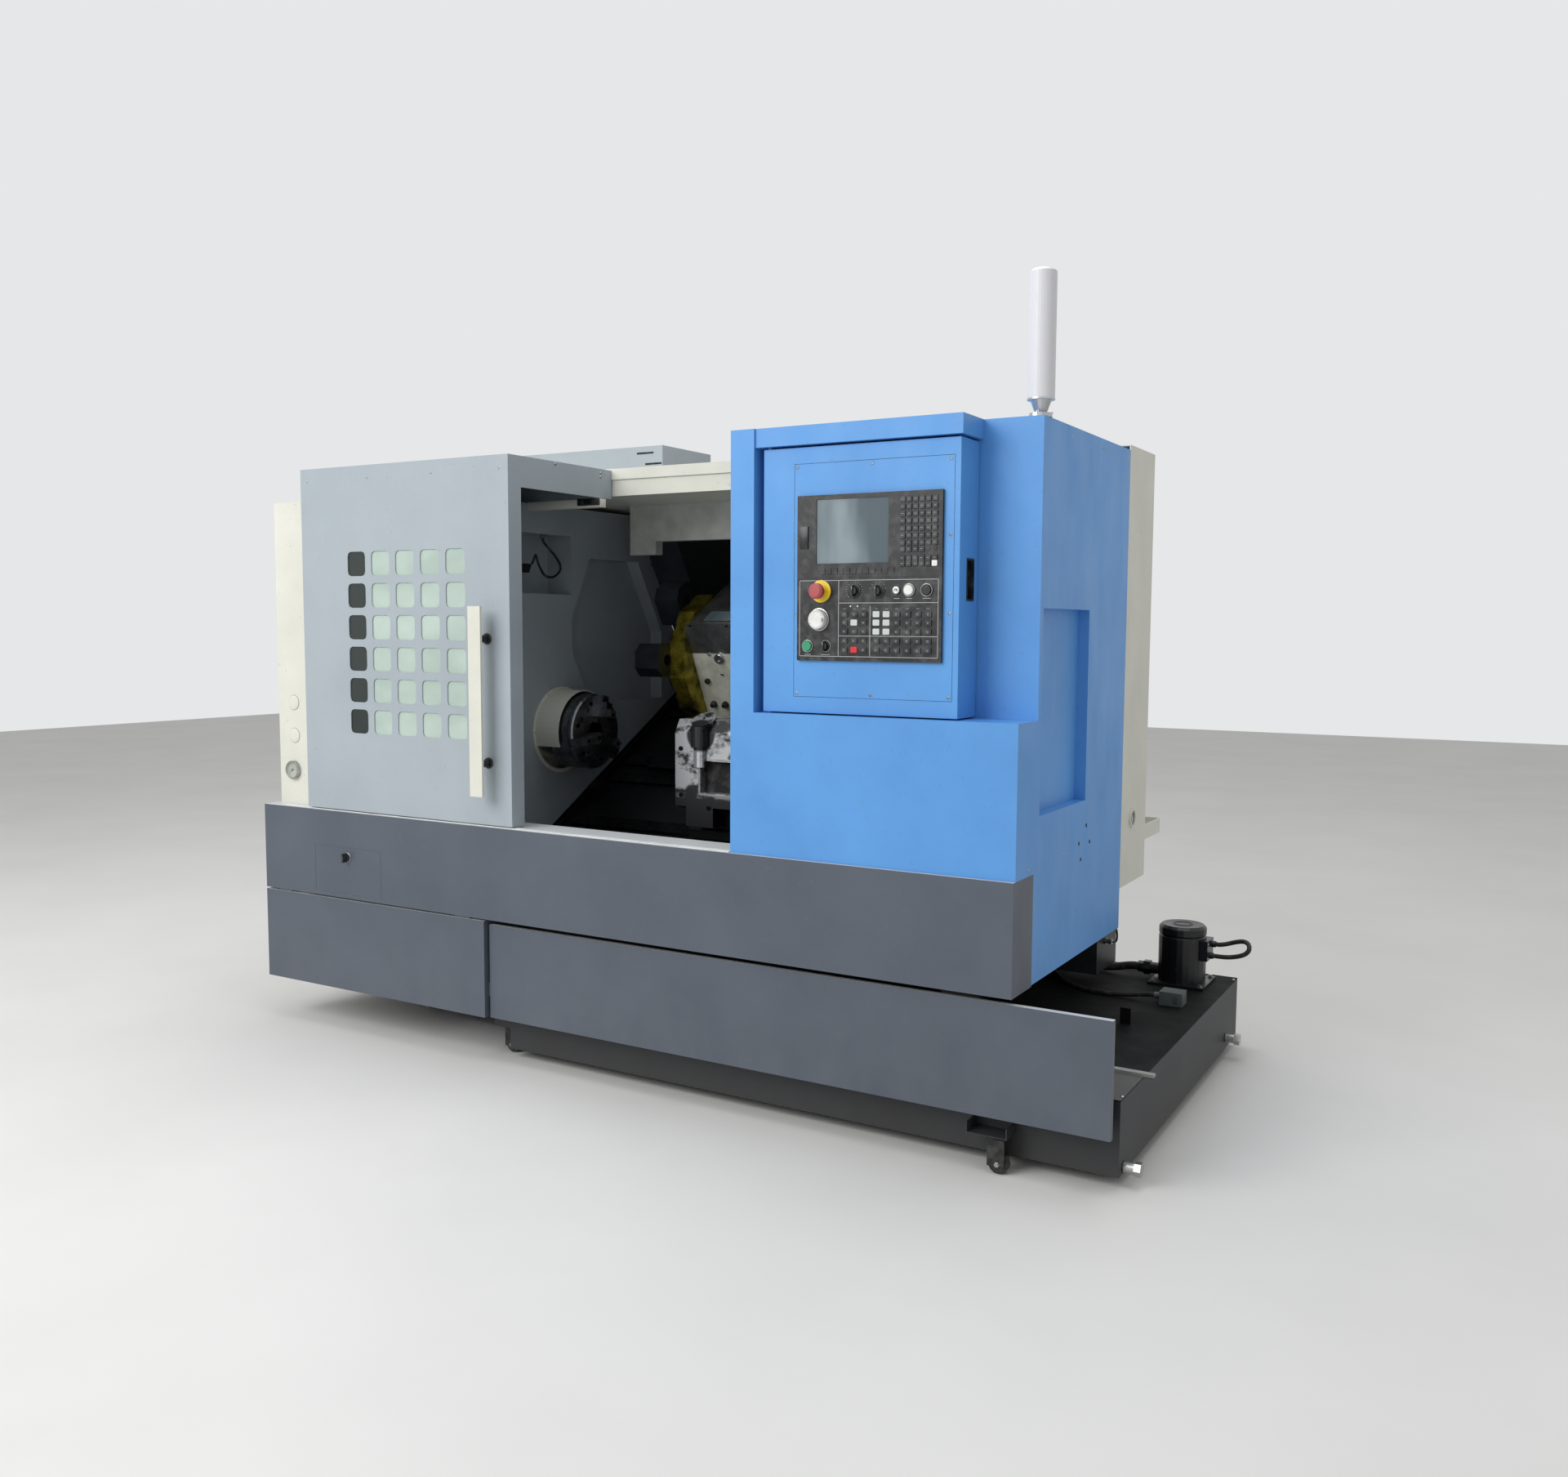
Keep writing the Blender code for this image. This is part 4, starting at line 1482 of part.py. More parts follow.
def make_cabinet(root):
    """Electrical cabinet behind the headstock with its drives, rear door and main switch."""
    x0, x1 = COVER_X, CABINET_X1
    shell = box((x0, COVER_BACK + FIT, CABINET_BOTTOM), (x1, CABINET_BACK, CABINET_TOP))
    front_trim = box((x0 - OVER, COVER_BACK, COVER_TOP + OVER), (x1 + OVER, CABINET_FRONT, CABINET_TOP + OVER))
    room = box((x0 + SHEET, CABINET_FRONT + SHEET, CABINET_BOTTOM + SHEET),
               (x1 - SHEET, CABINET_BACK + OVER, CABINET_TOP - SHEET))
    drives = []
    for index in range(DRIVE_COUNT):
        start = x0 + DRIVE_WIDTH + index * DRIVE_PITCH
        drives.append(box((start, CABINET_FRONT + SHEET / 2, DRIVE_Z),
                          (start + DRIVE_WIDTH, CABINET_FRONT + DRIVE_DEPTH, DRIVE_Z + DRIVE_HEIGHT)))
    block_x = x0 + DRIVE_WIDTH
    transformer = box((block_x, CABINET_FRONT + SHEET / 2, CABINET_BOTTOM + SHEET / 2),
                      (block_x + TRANSFORMER_SIZE, CABINET_FRONT + TRANSFORMER_SIZE,
                       CABINET_BOTTOM + TRANSFORMER_SIZE))
    node(join(cut(shell, front_trim, room), *drives, transformer), "electrical_cabinet", "door_paint", root)
    y0 = CABINET_BACK + FIT
    y1 = y0 + SHEET
    hinge = (x0, y1, CABINET_BOTTOM)
    node(box((x0, y0, CABINET_BOTTOM), (x1, y1, CABINET_TOP)), "cabinet_door", "door_paint", root, hinge)
    x = x1 - SWITCH_FROM_EDGE
    base = y1 + FIT
    disc = cylinder("Y", (x, SWITCH_Z), SWITCH_RADIUS, base, base + SWITCH_HEIGHT)
    bar = box((x - SWITCH_BAR / 2, base + SWITCH_HEIGHT / 2, SWITCH_Z - SWITCH_RADIUS),
              (x + SWITCH_BAR / 2, base + SWITCH_HEIGHT + SWITCH_RISE, SWITCH_Z + SWITCH_RADIUS * BAR_TOP_SHARE))
    node(join(disc, bar), "main_switch", "red_plastic", root, (x, y1, SWITCH_Z))


def caster_places():
    """Name, channel middle, way out of the tank and swivel axis of each caster."""
    side_back = TANK_BACK - (CASTER_SIDE_Y - TANK_FRONT)
    left = TANK_LEFT - CASTER_REACH
    front = (CASTER_CHANNEL_X + CASTER_SHIFT, TANK_FRONT - CASTER_REACH)
    return (
        ("front_right", (CASTER_CHANNEL_X, TANK_FRONT), (0, -1), front),
        ("front_left", (TANK_LEFT, CASTER_SIDE_Y), (-1, 0), (left, CASTER_SIDE_Y)),
        ("rear_left", (TANK_LEFT, side_back), (-1, 0), (left, side_back)),
        ("rear_right", (CASTER_REAR_X, TANK_BACK), (0, 1), (CASTER_REAR_X, TANK_BACK + CASTER_REACH)),
    )


def caster_channel(place, side):
    """Folded channel that carries one caster off the tank wall."""
    (x, y), (sx, sy) = place, side
    half = CASTER_CHANNEL / 2
    z0, z1 = CASTER_CHANNEL_Z, CASTER_CHANNEL_Z + CASTER_CHANNEL_HEIGHT
    if sy:
        near, far = y - sy * SHEET, y + sy * CASTER_CHANNEL_DEPTH
        lo, hi = (x - half, min(near, far), z0), (x + half, max(near, far), z1)
        cut_lo, cut_hi = (lo[0] + SHEET, lo[1] - OVER, z0 + SHEET), (hi[0] - SHEET, hi[1] + OVER, z1 + OVER)
    else:
        near, far = x - sx * SHEET, x + sx * CASTER_CHANNEL_DEPTH
        lo, hi = (min(near, far), y - half, z0), (max(near, far), y + half, z1)
        cut_lo, cut_hi = (lo[0] - OVER, lo[1] + SHEET, z0 + SHEET), (hi[0] + OVER, hi[1] - SHEET, z1 + OVER)
    return cut(box(lo, hi), box(cut_lo, cut_hi))


def make_caster(root, name, place):
    """Swivel caster: round head, two fork cheeks and its wheel."""
    x, y = place
    top = CASTER_CHANNEL_Z - FIT
    head_low = top - 2 * SHEET
    head = cylinder("Z", place, CASTER_HEAD, head_low, top, SMALL_ROUND)
    wheel_x = x + CASTER_TRAIL
    fork_half = CASTER_FORK_WIDTH / 2
    cheeks = []
    for side in (-1, 1):
        inner = y + side * (fork_half - SHEET)
        outer = y + side * fork_half
        cheeks.append(box((x - CASTER_FORK_BACK, min(inner, outer), CASTER_WHEEL - 2 * SHEET),
                          (x + CASTER_FORK_LENGTH, max(inner, outer), head_low + SHEET)))
    bridge = box((x - CASTER_FORK_BACK + SHEET, y - fork_half + SHEET / 2, head_low - SHEET),
                 (x + CASTER_FORK_LENGTH - SHEET, y + fork_half - SHEET / 2, head_low + SHEET / 2))
    wheel = cylinder("Y", (wheel_x, CASTER_WHEEL), CASTER_WHEEL, y - CASTER_TREAD / 2, y + CASTER_TREAD / 2,
                     SMALL_ROUND)
    axle = cylinder("Y", (wheel_x, CASTER_WHEEL), SHEET, y - fork_half - SHEET, y + fork_half + SHEET, TINY_ROUND)
    node(join(head, bridge, *cheeks, wheel, axle), "caster_" + name, "rubber", root, (x, y, top))


def make_tank(root):
    """Coolant tank with its lid, plugs, caster channels and the front apron with its stop."""
    tank = box((TANK_LEFT, TANK_FRONT, TANK_BOTTOM), (TANK_RIGHT, TANK_BACK, TANK_TOP))
    slot = box((TANK_LEFT - OVER, SLOT_FRONT, TANK_BOTTOM - OVER),
               (SLOT_END, SLOT_FRONT + SLOT_DEPTH, TANK_TOP + OVER))
    tank = cut(tank, slot)
    fittings = []
    for y, z in ((PLUG_Y, PLUG_Z), (REAR_PLUG_Y, REAR_PLUG_Z)):
        end = TANK_RIGHT + PLUG_REACH
        fittings.append(cylinder("X", (y, z), PLUG_RADIUS, TANK_RIGHT - SHEET, end - PLUG_HEX_LENGTH / 2,
                                 SMALL_ROUND))
        fittings.append(cylinder("X", (y, z), PLUG_HEX, end - PLUG_HEX_LENGTH, end, HEX))
    for _, place, side, _ in caster_places():
        fittings.append(caster_channel(place, side))
    node(join(tank, *fittings), "coolant_tank", "tank_paint", root)
    z0 = TANK_TOP + FIT
    lid = box((TANK_LEFT, TANK_FRONT, z0), (TANK_RIGHT, TANK_BACK, LID_TOP))
    notch = box((TANK_LEFT - OVER, SLOT_FRONT, z0 - OVER), (SLOT_END, SLOT_FRONT + SLOT_DEPTH, LID_TOP + OVER))
    bar = box((TANK_RIGHT - LID_BAR_LENGTH, LID_BAR_Y, LID_TOP - SHEET / 2),
              (TANK_RIGHT + LID_BAR_REACH, LID_BAR_Y + LID_BAR_WIDTH, LID_TOP + LID_BAR_HEIGHT))
    ear = box((LID_EAR_X, LID_EAR_Y, LID_TOP - SHEET / 2),
              (LID_EAR_X + LID_EAR_WIDTH, LID_EAR_Y + SHEET, LID_TOP + LID_EAR_HEIGHT))
    node(join(cut(lid, notch), bar, ear), "tank_lid", "tank_paint", root)
    apron = box((APRON_LEFT, APRON_FRONT, APRON_BOTTOM), (APRON_RIGHT, APRON_FRONT + APRON_LIP, APRON_TOP))
    room = box((APRON_LEFT + SHEET, APRON_FRONT + SHEET, APRON_BOTTOM - OVER),
               (APRON_RIGHT - SHEET, APRON_FRONT + APRON_LIP + OVER, APRON_TOP - SHEET))
    tabs = []
    pitch = (APRON_RIGHT - APRON_LEFT - 2 * TAB_WIDTH) / (APRON_TABS - 1)
    for index in range(APRON_TABS):
        start = APRON_LEFT + TAB_WIDTH / 2 + index * pitch
        tabs.append(box((start, APRON_FRONT + SHEET / 2, APRON_TAB_Z),
                        (start + TAB_WIDTH, TANK_FRONT - FIT, APRON_TAB_Z + APRON_TAB_HEIGHT)))
    stop_z = APRON_TAB_Z + APRON_TAB_HEIGHT
    tabs.append(box((LEFT + LOWER_PANEL_LENGTH + FIT, APRON_FRONT + SHEET, stop_z),
                    (APRON_LEFT + SHEET / 2, APRON_FRONT + APRON_LIP, stop_z + APRON_STOP_HEIGHT)))
    node(join(cut(apron, room), *tabs), "tank_front_panel", "slate_paint", root)
    for name, _, _, axis in caster_places():
        make_caster(root, name, axis)


def make_pump(root):
    """Coolant pump on the lid with terminal box, outlet and cable connector."""
    x, y = PUMP_X, PUMP_Y
    z0 = LID_TOP + FIT
    half = PUMP_FLANGE / 2
    flange = box((x - half, y - half, z0), (x + half, y + half, z0 + PUMP_FLANGE_THICK))
    shoulder = z0 + PUMP_FLANGE_THICK / 2
    waist = shoulder + PUMP_BODY
    top = waist + PUMP_CAP
    motor = turned([(0, shoulder), (PUMP_RADIUS, shoulder), (PUMP_RADIUS, waist - PUMP_WAIST),
                    (PUMP_RADIUS - PUMP_WAIST, waist), (PUMP_RADIUS, waist + PUMP_WAIST),
                    (PUMP_RADIUS, top - 2 * PUMP_WAIST), (PUMP_RADIUS - 2 * PUMP_WAIST, top), (0, top)],
                   "Z", (x, y), HIDDEN_ROUND)
    terminal = box((x + PUMP_RADIUS - OVER, y - TERMINAL_DEPTH / 2, TERMINAL_Z),
                   (TERMINAL_END, y + TERMINAL_DEPTH / 2, TERMINAL_Z + TERMINAL_HEIGHT))
    glands = []
    for end in (PUMP_CABLE_POINTS[0], PUMP_CABLE_POINTS[-1]):
        glands.append(cylinder("X", end[1:], TERMINAL_GLAND, TERMINAL_END - SHEET, end[0] - FIT, TINY_ROUND))
    outlet_end = HOSE_POINTS[0][0] + FIT
    pipe = cylinder("X", (y, OUTLET_Z), OUTLET_RADIUS, outlet_end, x - PUMP_RADIUS / 2, SMALL_ROUND)
    collar = cylinder("X", (y, OUTLET_Z), OUTLET_HEX, x - PUMP_RADIUS - OUTLET_REACH,
                      x - PUMP_RADIUS - OUTLET_REACH + OUTLET_HEX_LENGTH, HEX)
    pump = join(flange, motor, terminal, *glands, pipe, collar)
    node(pump, "coolant_pump", "black_paint", root)
    for name, points, radius in (("pump_cable", PUMP_CABLE_POINTS, CABLE_RADIUS),
                                 ("sensor_cable", SENSOR_CABLE_POINTS, CABLE_RADIUS),
                                 ("coolant_hose", HOSE_POINTS, HOSE_RADIUS)):
        make_cord(root, name, points, radius)


def smooth_route(points, spacing):
    """Points at an even spacing on a smooth curve through a route."""
    route = [Vector(p) for p in points]
    ends = [2 * route[0] - route[1]] + route + [2 * route[-1] - route[-2]]
    fine = []
    for index in range(1, len(ends) - 2):
        a, b, c, d = ends[index - 1:index + 3]
        count = max(1, round((c - b).length / spacing))
        for step in range(count):
            t = step / count
            fine.append(0.5 * (2 * b + (c - a) * t + (2 * a - 5 * b + 4 * c - d) * t * t
                               + (3 * b - a - 3 * c + d) * t ** 3))
    fine.append(route[-1])
    return fine


def make_cord(root, name, points, radius):
    """Round cord along its route."""
    curve = bpy.data.curves.new(name, "CURVE")
    curve.dimensions = "3D"
    curve.bevel_depth = radius
    curve.bevel_resolution = 2
    curve.use_fill_caps = True
    spline = curve.splines.new("POLY")
    places = smooth_route(points, radius * CORD_STEP_SHARE)
    spline.points.add(len(places) - 1)
    for point, place in zip(spline.points, places):
        point.co = (*place, 1)
    item = bpy.data.objects.new(name, curve)
    bpy.context.scene.collection.objects.link(item)
    curve.materials.append(make_material("rubber"))
    item.parent = root


def make_connector(root):
    """Grey cable connector that stands on the lid."""
    z0 = LID_TOP + FIT
    block = box((CONNECTOR_X, CONNECTOR_Y, z0),
                (CONNECTOR_X + CONNECTOR_LENGTH, CONNECTOR_Y + CONNECTOR_WIDTH, z0 + CONNECTOR_HEIGHT))
    start = SENSOR_CABLE_POINTS[0]
    nose = cylinder("X", start[1:], CABLE_RADIUS + SHEET, start[0] + FIT, CONNECTOR_X + SHEET, TINY_ROUND)
    node(join(block, nose), "cable_connector", "grey_paint", root)


def main():
    """Build every piece and stand the machine on its own centre."""
    clear_scene()
    root = bpy.data.objects.new("machine_datum", None)
    bpy.context.scene.collection.objects.link(root)
    root.location = ORIGIN_SHIFT
    for step in (make_skirt, make_left_cover, make_wall, make_work_lamp, make_guard, make_bed, make_way_cover,
                 make_headstock, make_drive, make_carriage, make_turret, make_tailstock, make_top_frame,
                 make_back_guard, make_door, make_housing, make_tower_lamp, make_control_head, make_rear_cover,
                 make_cabinet, make_tank, make_pump, make_connector):
        step(root)
    bpy.context.view_layer.update()


main()
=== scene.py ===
"""Looks of a slant bed turning lathe: paint, bare metal, glass, panel print and small fittings.

Lengths are metres. Places are given from the floor point under the front right corner of the
skirt: X to the right, Y to the back, Z up, which at() turns into the frame's own coordinates.
"""
import math

import bmesh
import bpy
from bpy.props import FloatProperty, IntProperty, PointerProperty, StringProperty
from mathutils import Matrix, Vector


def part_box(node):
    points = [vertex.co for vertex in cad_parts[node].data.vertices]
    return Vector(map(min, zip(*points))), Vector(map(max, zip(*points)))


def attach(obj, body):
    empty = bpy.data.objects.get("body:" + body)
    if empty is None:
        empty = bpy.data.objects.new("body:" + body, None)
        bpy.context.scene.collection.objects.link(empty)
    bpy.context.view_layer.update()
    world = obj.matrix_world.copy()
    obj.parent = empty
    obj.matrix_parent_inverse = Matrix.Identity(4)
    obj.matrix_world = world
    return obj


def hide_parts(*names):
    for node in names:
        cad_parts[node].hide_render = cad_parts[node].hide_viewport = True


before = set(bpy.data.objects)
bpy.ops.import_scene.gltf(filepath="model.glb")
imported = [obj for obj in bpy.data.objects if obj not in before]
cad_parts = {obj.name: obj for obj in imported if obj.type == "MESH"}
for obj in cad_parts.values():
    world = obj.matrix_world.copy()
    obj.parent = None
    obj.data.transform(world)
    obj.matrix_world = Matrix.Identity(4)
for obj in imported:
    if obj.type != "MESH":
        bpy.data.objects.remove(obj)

bl_info = {
    "name": "Turning lathe looks",
    "version": (1, 0, 0),
    "blender": (4, 5, 0),
    "location": "View3D > Sidebar > Lathe",
    "description": "Finishes and small fittings for a slant bed turning lathe",
    "category": "Object",
}

MM = 0.001
SLANT = math.radians(30)
SLANT_FOOT = (0.545, 0.633)
SKIRT_LOW, SKIRT_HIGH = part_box("front_skirt")
MACHINE = Vector((SKIRT_HIGH.x, SKIRT_LOW.y, 0))
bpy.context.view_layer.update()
# left between a fitting and the surface that it stands on
GAP = 0.0002
LEFT, RIGHT, FRONT, BACK, DOWN, UP = (-1, 0, 0), (1, 0, 0), (0, -1, 0), (0, 1, 0), (0, 0, -1), (0, 0, 1)
materials = {}


def at(x, y, z):
    """A place given from the machine's own datum, in frame coordinates."""
    return MACHINE + Vector((x, y, z))


def slant(x, u, n):
    """A place u up the slant of the bed and n off it."""
    y = SLANT_FOOT[0] + u * math.cos(SLANT) - n * math.sin(SLANT)
    z = SLANT_FOOT[1] + u * math.sin(SLANT) + n * math.cos(SLANT)
    return at(x, y, z)


def spoke(degrees, reach=1, x=0):
    """A step x to the right and reach outward at an angle, for places round a line along X."""
    angle = math.radians(degrees)
    return Vector((x, reach * math.cos(angle), reach * math.sin(angle)))


def cast(node, start, way):
    """Whether a ray meets a node of the frame, where it does, and the normal there."""
    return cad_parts[node].ray_cast(Vector(start), Vector(way))[:3]


# ---------------------------------------------------------------- settings

class LATHE_PG_paint(bpy.types.PropertyGroup):
    """Colours of the coats, as hex codes."""

    blue: StringProperty(name="Blue coat", description="Housing and control box", default="5C9EE0")
    slate: StringProperty(name="Slate coat", description="Skirt and lower panels", default="575E69")
    pale: StringProperty(name="Pale coat", description="Sliding door and cabinet", default="A6B0B6")
    cream: StringProperty(name="Cream coat", description="Headstock cover, roof and guard", default="DEDED4")
    wall: StringProperty(name="Wall coat", description="Wall of the work space", default="A9B1B6")
    tank: StringProperty(name="Tank coat", description="Coolant tank and lid", default="1F2328")


class LATHE_PG_fasteners(bpy.types.PropertyGroup):
    """Sizes of the screws that show."""

    small: FloatProperty(name="Small screw", description="Head radius of a plate screw", default=0.0034,
                         min=0.002, max=0.006, subtype="DISTANCE", unit="LENGTH")
    large: FloatProperty(name="Large screw", description="Head radius of a casting screw", default=0.009,
                         min=0.005, max=0.014, subtype="DISTANCE", unit="LENGTH")
    sides: IntProperty(name="Roundness", description="Sides of a screw head", default=16, min=8, max=32)


class LATHE_PG_print(bpy.types.PropertyGroup):
    """Sizes of the print on the operator panel."""

    line: FloatProperty(name="Line width", description="Width of the white frame lines", default=0.0011,
                        min=0.0005, max=0.003, subtype="DISTANCE", unit="LENGTH")
    raised: FloatProperty(name="Ink height", description="How far the ink stands off its panel", default=0.0002,
                          min=0.0001, max=0.001, subtype="DISTANCE", unit="LENGTH")


class LATHE_PG_stage(bpy.types.PropertyGroup):
    """Light and floor."""

    key_power: FloatProperty(name="Key light", description="Power of the big soft light at the front left",
                             default=250.0, min=0.0, max=2000.0)
    top_power: FloatProperty(name="Top light", description="Power of the soft light overhead",
                             default=150.0, min=0.0, max=2000.0)
    sky: FloatProperty(name="Room light", description="Strength of the even light all round", default=0.5,
                       min=0.0, max=2.0)


# ---------------------------------------------------------------- finishes

def colour(code):
    """Linear colour of an sRGB hex code."""
    out = []
    for start in (0, 2, 4):
        value = int(code[start:start + 2], 16) / 255
        out.append(value / 12.92 if value <= 0.04045 else ((value + 0.055) / 1.055) ** 2.4)
    return (*out, 1)


def add(tree, kind, inputs=None, **settings):
    """Add a node, set it up and feed its inputs with values or sockets."""
    node = tree.nodes.new(kind)
    for name, value in settings.items():
        setattr(node, name, value)
    for key, value in (inputs or {}).items():
        if isinstance(value, bpy.types.NodeSocket):
            tree.links.new(value, node.inputs[key])
        else:
            node.inputs[key].default_value = value
    return node


def begin(name):
    """A new material with its tree and shader."""
    mat = bpy.data.materials.new(name)
    mat.use_nodes = True
    materials[name] = mat
    return mat.node_tree, mat.node_tree.nodes["Principled BSDF"]


def grain(tree, size, stretch=(1, 1, 1), detail=4.0, roughness=0.55):
    """Uneven pattern whose patches are about size metres across, longer where stretch is small."""
    place = add(tree, "ShaderNodeTexCoord").outputs["Object"]
    place = add(tree, "ShaderNodeMapping", {"Vector": place, "Scale": stretch}).outputs[0]
    return add(tree, "ShaderNodeTexNoise", {"Vector": place, "Scale": 1 / size, "Detail": detail,
                                            "Roughness": roughness}).outputs[0]


def spread(tree, value, low, high, to_low=0.0, to_high=1.0):
    """Stretch one range of a value over another."""
    return add(tree, "ShaderNodeMapRange", {"Value": value, "From Min": low, "From Max": high,
                                            "To Min": to_low, "To Max": to_high}).outputs[0]


def blend(tree, share, first, second):
    """Mix two colours, each a code or a socket."""
    pair = [item if isinstance(item, bpy.types.NodeSocket) else colour(item) for item in (first, second)]
    return add(tree, "ShaderNodeMix", {0: share, 6: pair[0], 7: pair[1]}, data_type="RGBA").outputs[2]


def multiply(tree, first, second):
    """Product of two values."""
    return add(tree, "ShaderNodeMath", {0: first, 1: second}, operation="MULTIPLY").outputs[0]


def beyond(tree, direction, limit, soft=0.002):
    """One where a point lies beyond limit along a direction, zero before it."""
    place = add(tree, "ShaderNodeTexCoord").outputs["Object"]
    along = add(tree, "ShaderNodeVectorMath", {0: place, 1: direction}, operation="DOT_PRODUCT").outputs["Value"]
    return spread(tree, along, limit - soft, limit + soft)


def emboss(tree, shader, height, distance, strength=1.0):
    """Raise a surface by a pattern."""
    bump = add(tree, "ShaderNodeBump", {"Height": height, "Distance": distance, "Strength": strength})
    tree.links.new(bump.outputs[0], shader.inputs["Normal"])


def powder_coat(name, code, shade, roughness=0.42, dust=0.0, dust_top=0.5, top_highlight=0.0):
    """Powder coated steel sheet: a satin skin with a fine orange peel, dulled in patches by
    handling, with floor dust low down and a painted highlight on its faces that look up."""
    tree, shader = begin(name)
    patch = grain(tree, 0.35, detail=6.0, roughness=0.6)
    smear = grain(tree, 0.09, (1, 1, 0.35), 5.0)
    skin = blend(tree, spread(tree, patch, 0.35, 0.7), code, shade)
    speck = spread(tree, grain(tree, 0.012, detail=2.0), 0.68, 0.74, 0.0, 0.25)
    skin = blend(tree, speck, skin, "6E6A62")
    if dust:
        place = add(tree, "ShaderNodeTexCoord").outputs["Object"]
        height = add(tree, "ShaderNodeSeparateXYZ", {0: place}).outputs["Z"]
        low = spread(tree, height, dust_top, 0.1, 0.0, dust)
        skin = blend(tree, multiply(tree, low, spread(tree, smear, 0.35, 0.65)), skin, "84868A")
    # painted highlight: faces that look up are blended towards pale grey as if lit from above
    if top_highlight:
        facing = add(tree, "ShaderNodeNewGeometry").outputs["Normal"]
        upward = add(tree, "ShaderNodeSeparateXYZ", {0: facing}).outputs["Z"]
        skin = blend(tree, spread(tree, upward, 0.7, 0.9, 0.0, top_highlight), skin, "D6DADC")
    tree.links.new(skin, shader.inputs["Base Color"])
    dull = spread(tree, smear, 0.3, 0.75, roughness - 0.05, roughness + 0.12)
    tree.links.new(dull, shader.inputs["Roughness"])
    shader.inputs["Specular IOR Level"].default_value = 0.45
    # peel of real coats is 1 to 2 mm across, drawn at 5 mm so that it shows
    emboss(tree, shader, grain(tree, 5 * MM, detail=1.0), 0.00025, 0.35)


def ground_steel(name, code, dark, roughness=0.28, stretch=(1, 1, 1), line=1.5 * MM, metallic=1.0):
    """Turned or ground steel: fine tool lines and thin stains of oil."""
    tree, shader = begin(name)
    stain = grain(tree, 0.05, detail=5.0)
    tree.links.new(blend(tree, spread(tree, stain, 0.4, 0.7), code, dark), shader.inputs["Base Color"])
    shader.inputs["Metallic"].default_value = metallic
    lines = grain(tree, line, stretch, 2.0)
    tree.links.new(spread(tree, lines, 0.25, 0.75, roughness - 0.08, roughness + 0.12), shader.inputs["Roughness"])
    emboss(tree, shader, lines, 0.00008, 0.4)


def two_finishes(name, direction, limit, first, second, line=2 * MM, stretch=(1, 1, 1), soft=0.002):
    """One casting with two finishes, split by a plane. Each finish is its clean colour, its stained
    colour, roughness and metallic value."""
    tree, shader = begin(name)
    far = beyond(tree, direction, limit, soft)
    stain = spread(tree, grain(tree, 0.06, detail=6.0), 0.38, 0.68)
    near_skin = blend(tree, stain, first[0], first[1])
    far_skin = blend(tree, stain, second[0], second[1])
    tree.links.new(blend(tree, far, near_skin, far_skin), shader.inputs["Base Color"])
    rough = spread(tree, far, 0.0, 1.0, first[2], second[2])
    wear = spread(tree, grain(tree, line, stretch, 2.0), 0.25, 0.75, -0.07, 0.1)
    total = add(tree, "ShaderNodeMath", {0: rough, 1: wear}, operation="ADD").outputs[0]
    tree.links.new(total, shader.inputs["Roughness"])
    tree.links.new(spread(tree, far, 0.0, 1.0, first[3], second[3]), shader.inputs["Metallic"])
    emboss(tree, shader, grain(tree, line, stretch, 2.0), 0.0002, 0.4)


def moulded(name, code, roughness=0.45, texture=1.2 * MM, depth=0.00008):
    """Moulded plastic with a fine spark texture, drawn slightly coarse."""
    tree, shader = begin(name)
    worn = grain(tree, 0.03, detail=4.0)
    tree.links.new(blend(tree, spread(tree, worn, 0.45, 0.8, 0.0, 0.3), code, "8C8C88"), shader.inputs["Base Color"])
    tree.links.new(spread(tree, worn, 0.3, 0.7, roughness - 0.06, roughness + 0.1), shader.inputs["Roughness"])
    emboss(tree, shader, grain(tree, texture, detail=1.0), depth, 0.4)


def make_paints(paint):
    """Coats of the sheet metal."""
    powder_coat("blue_powder_coat", paint.blue, "5593D4", 0.42)
    # the slate coat carries a painted highlight of 0.8 on its faces that look up
    powder_coat("slate_powder_coat", paint.slate, "4E5560", 0.42, 0.10, 0.45, 0.8)
    powder_coat("pale_powder_coat", paint.pale, "9EA8AF", 0.42)
    powder_coat("cream_powder_coat", paint.cream, "D2D2C6", 0.45)
    powder_coat("wall_powder_coat", paint.wall, "98A0A6", 0.50)
    powder_coat("black_oiled_coat", "101114", "1A1B1E", 0.32)


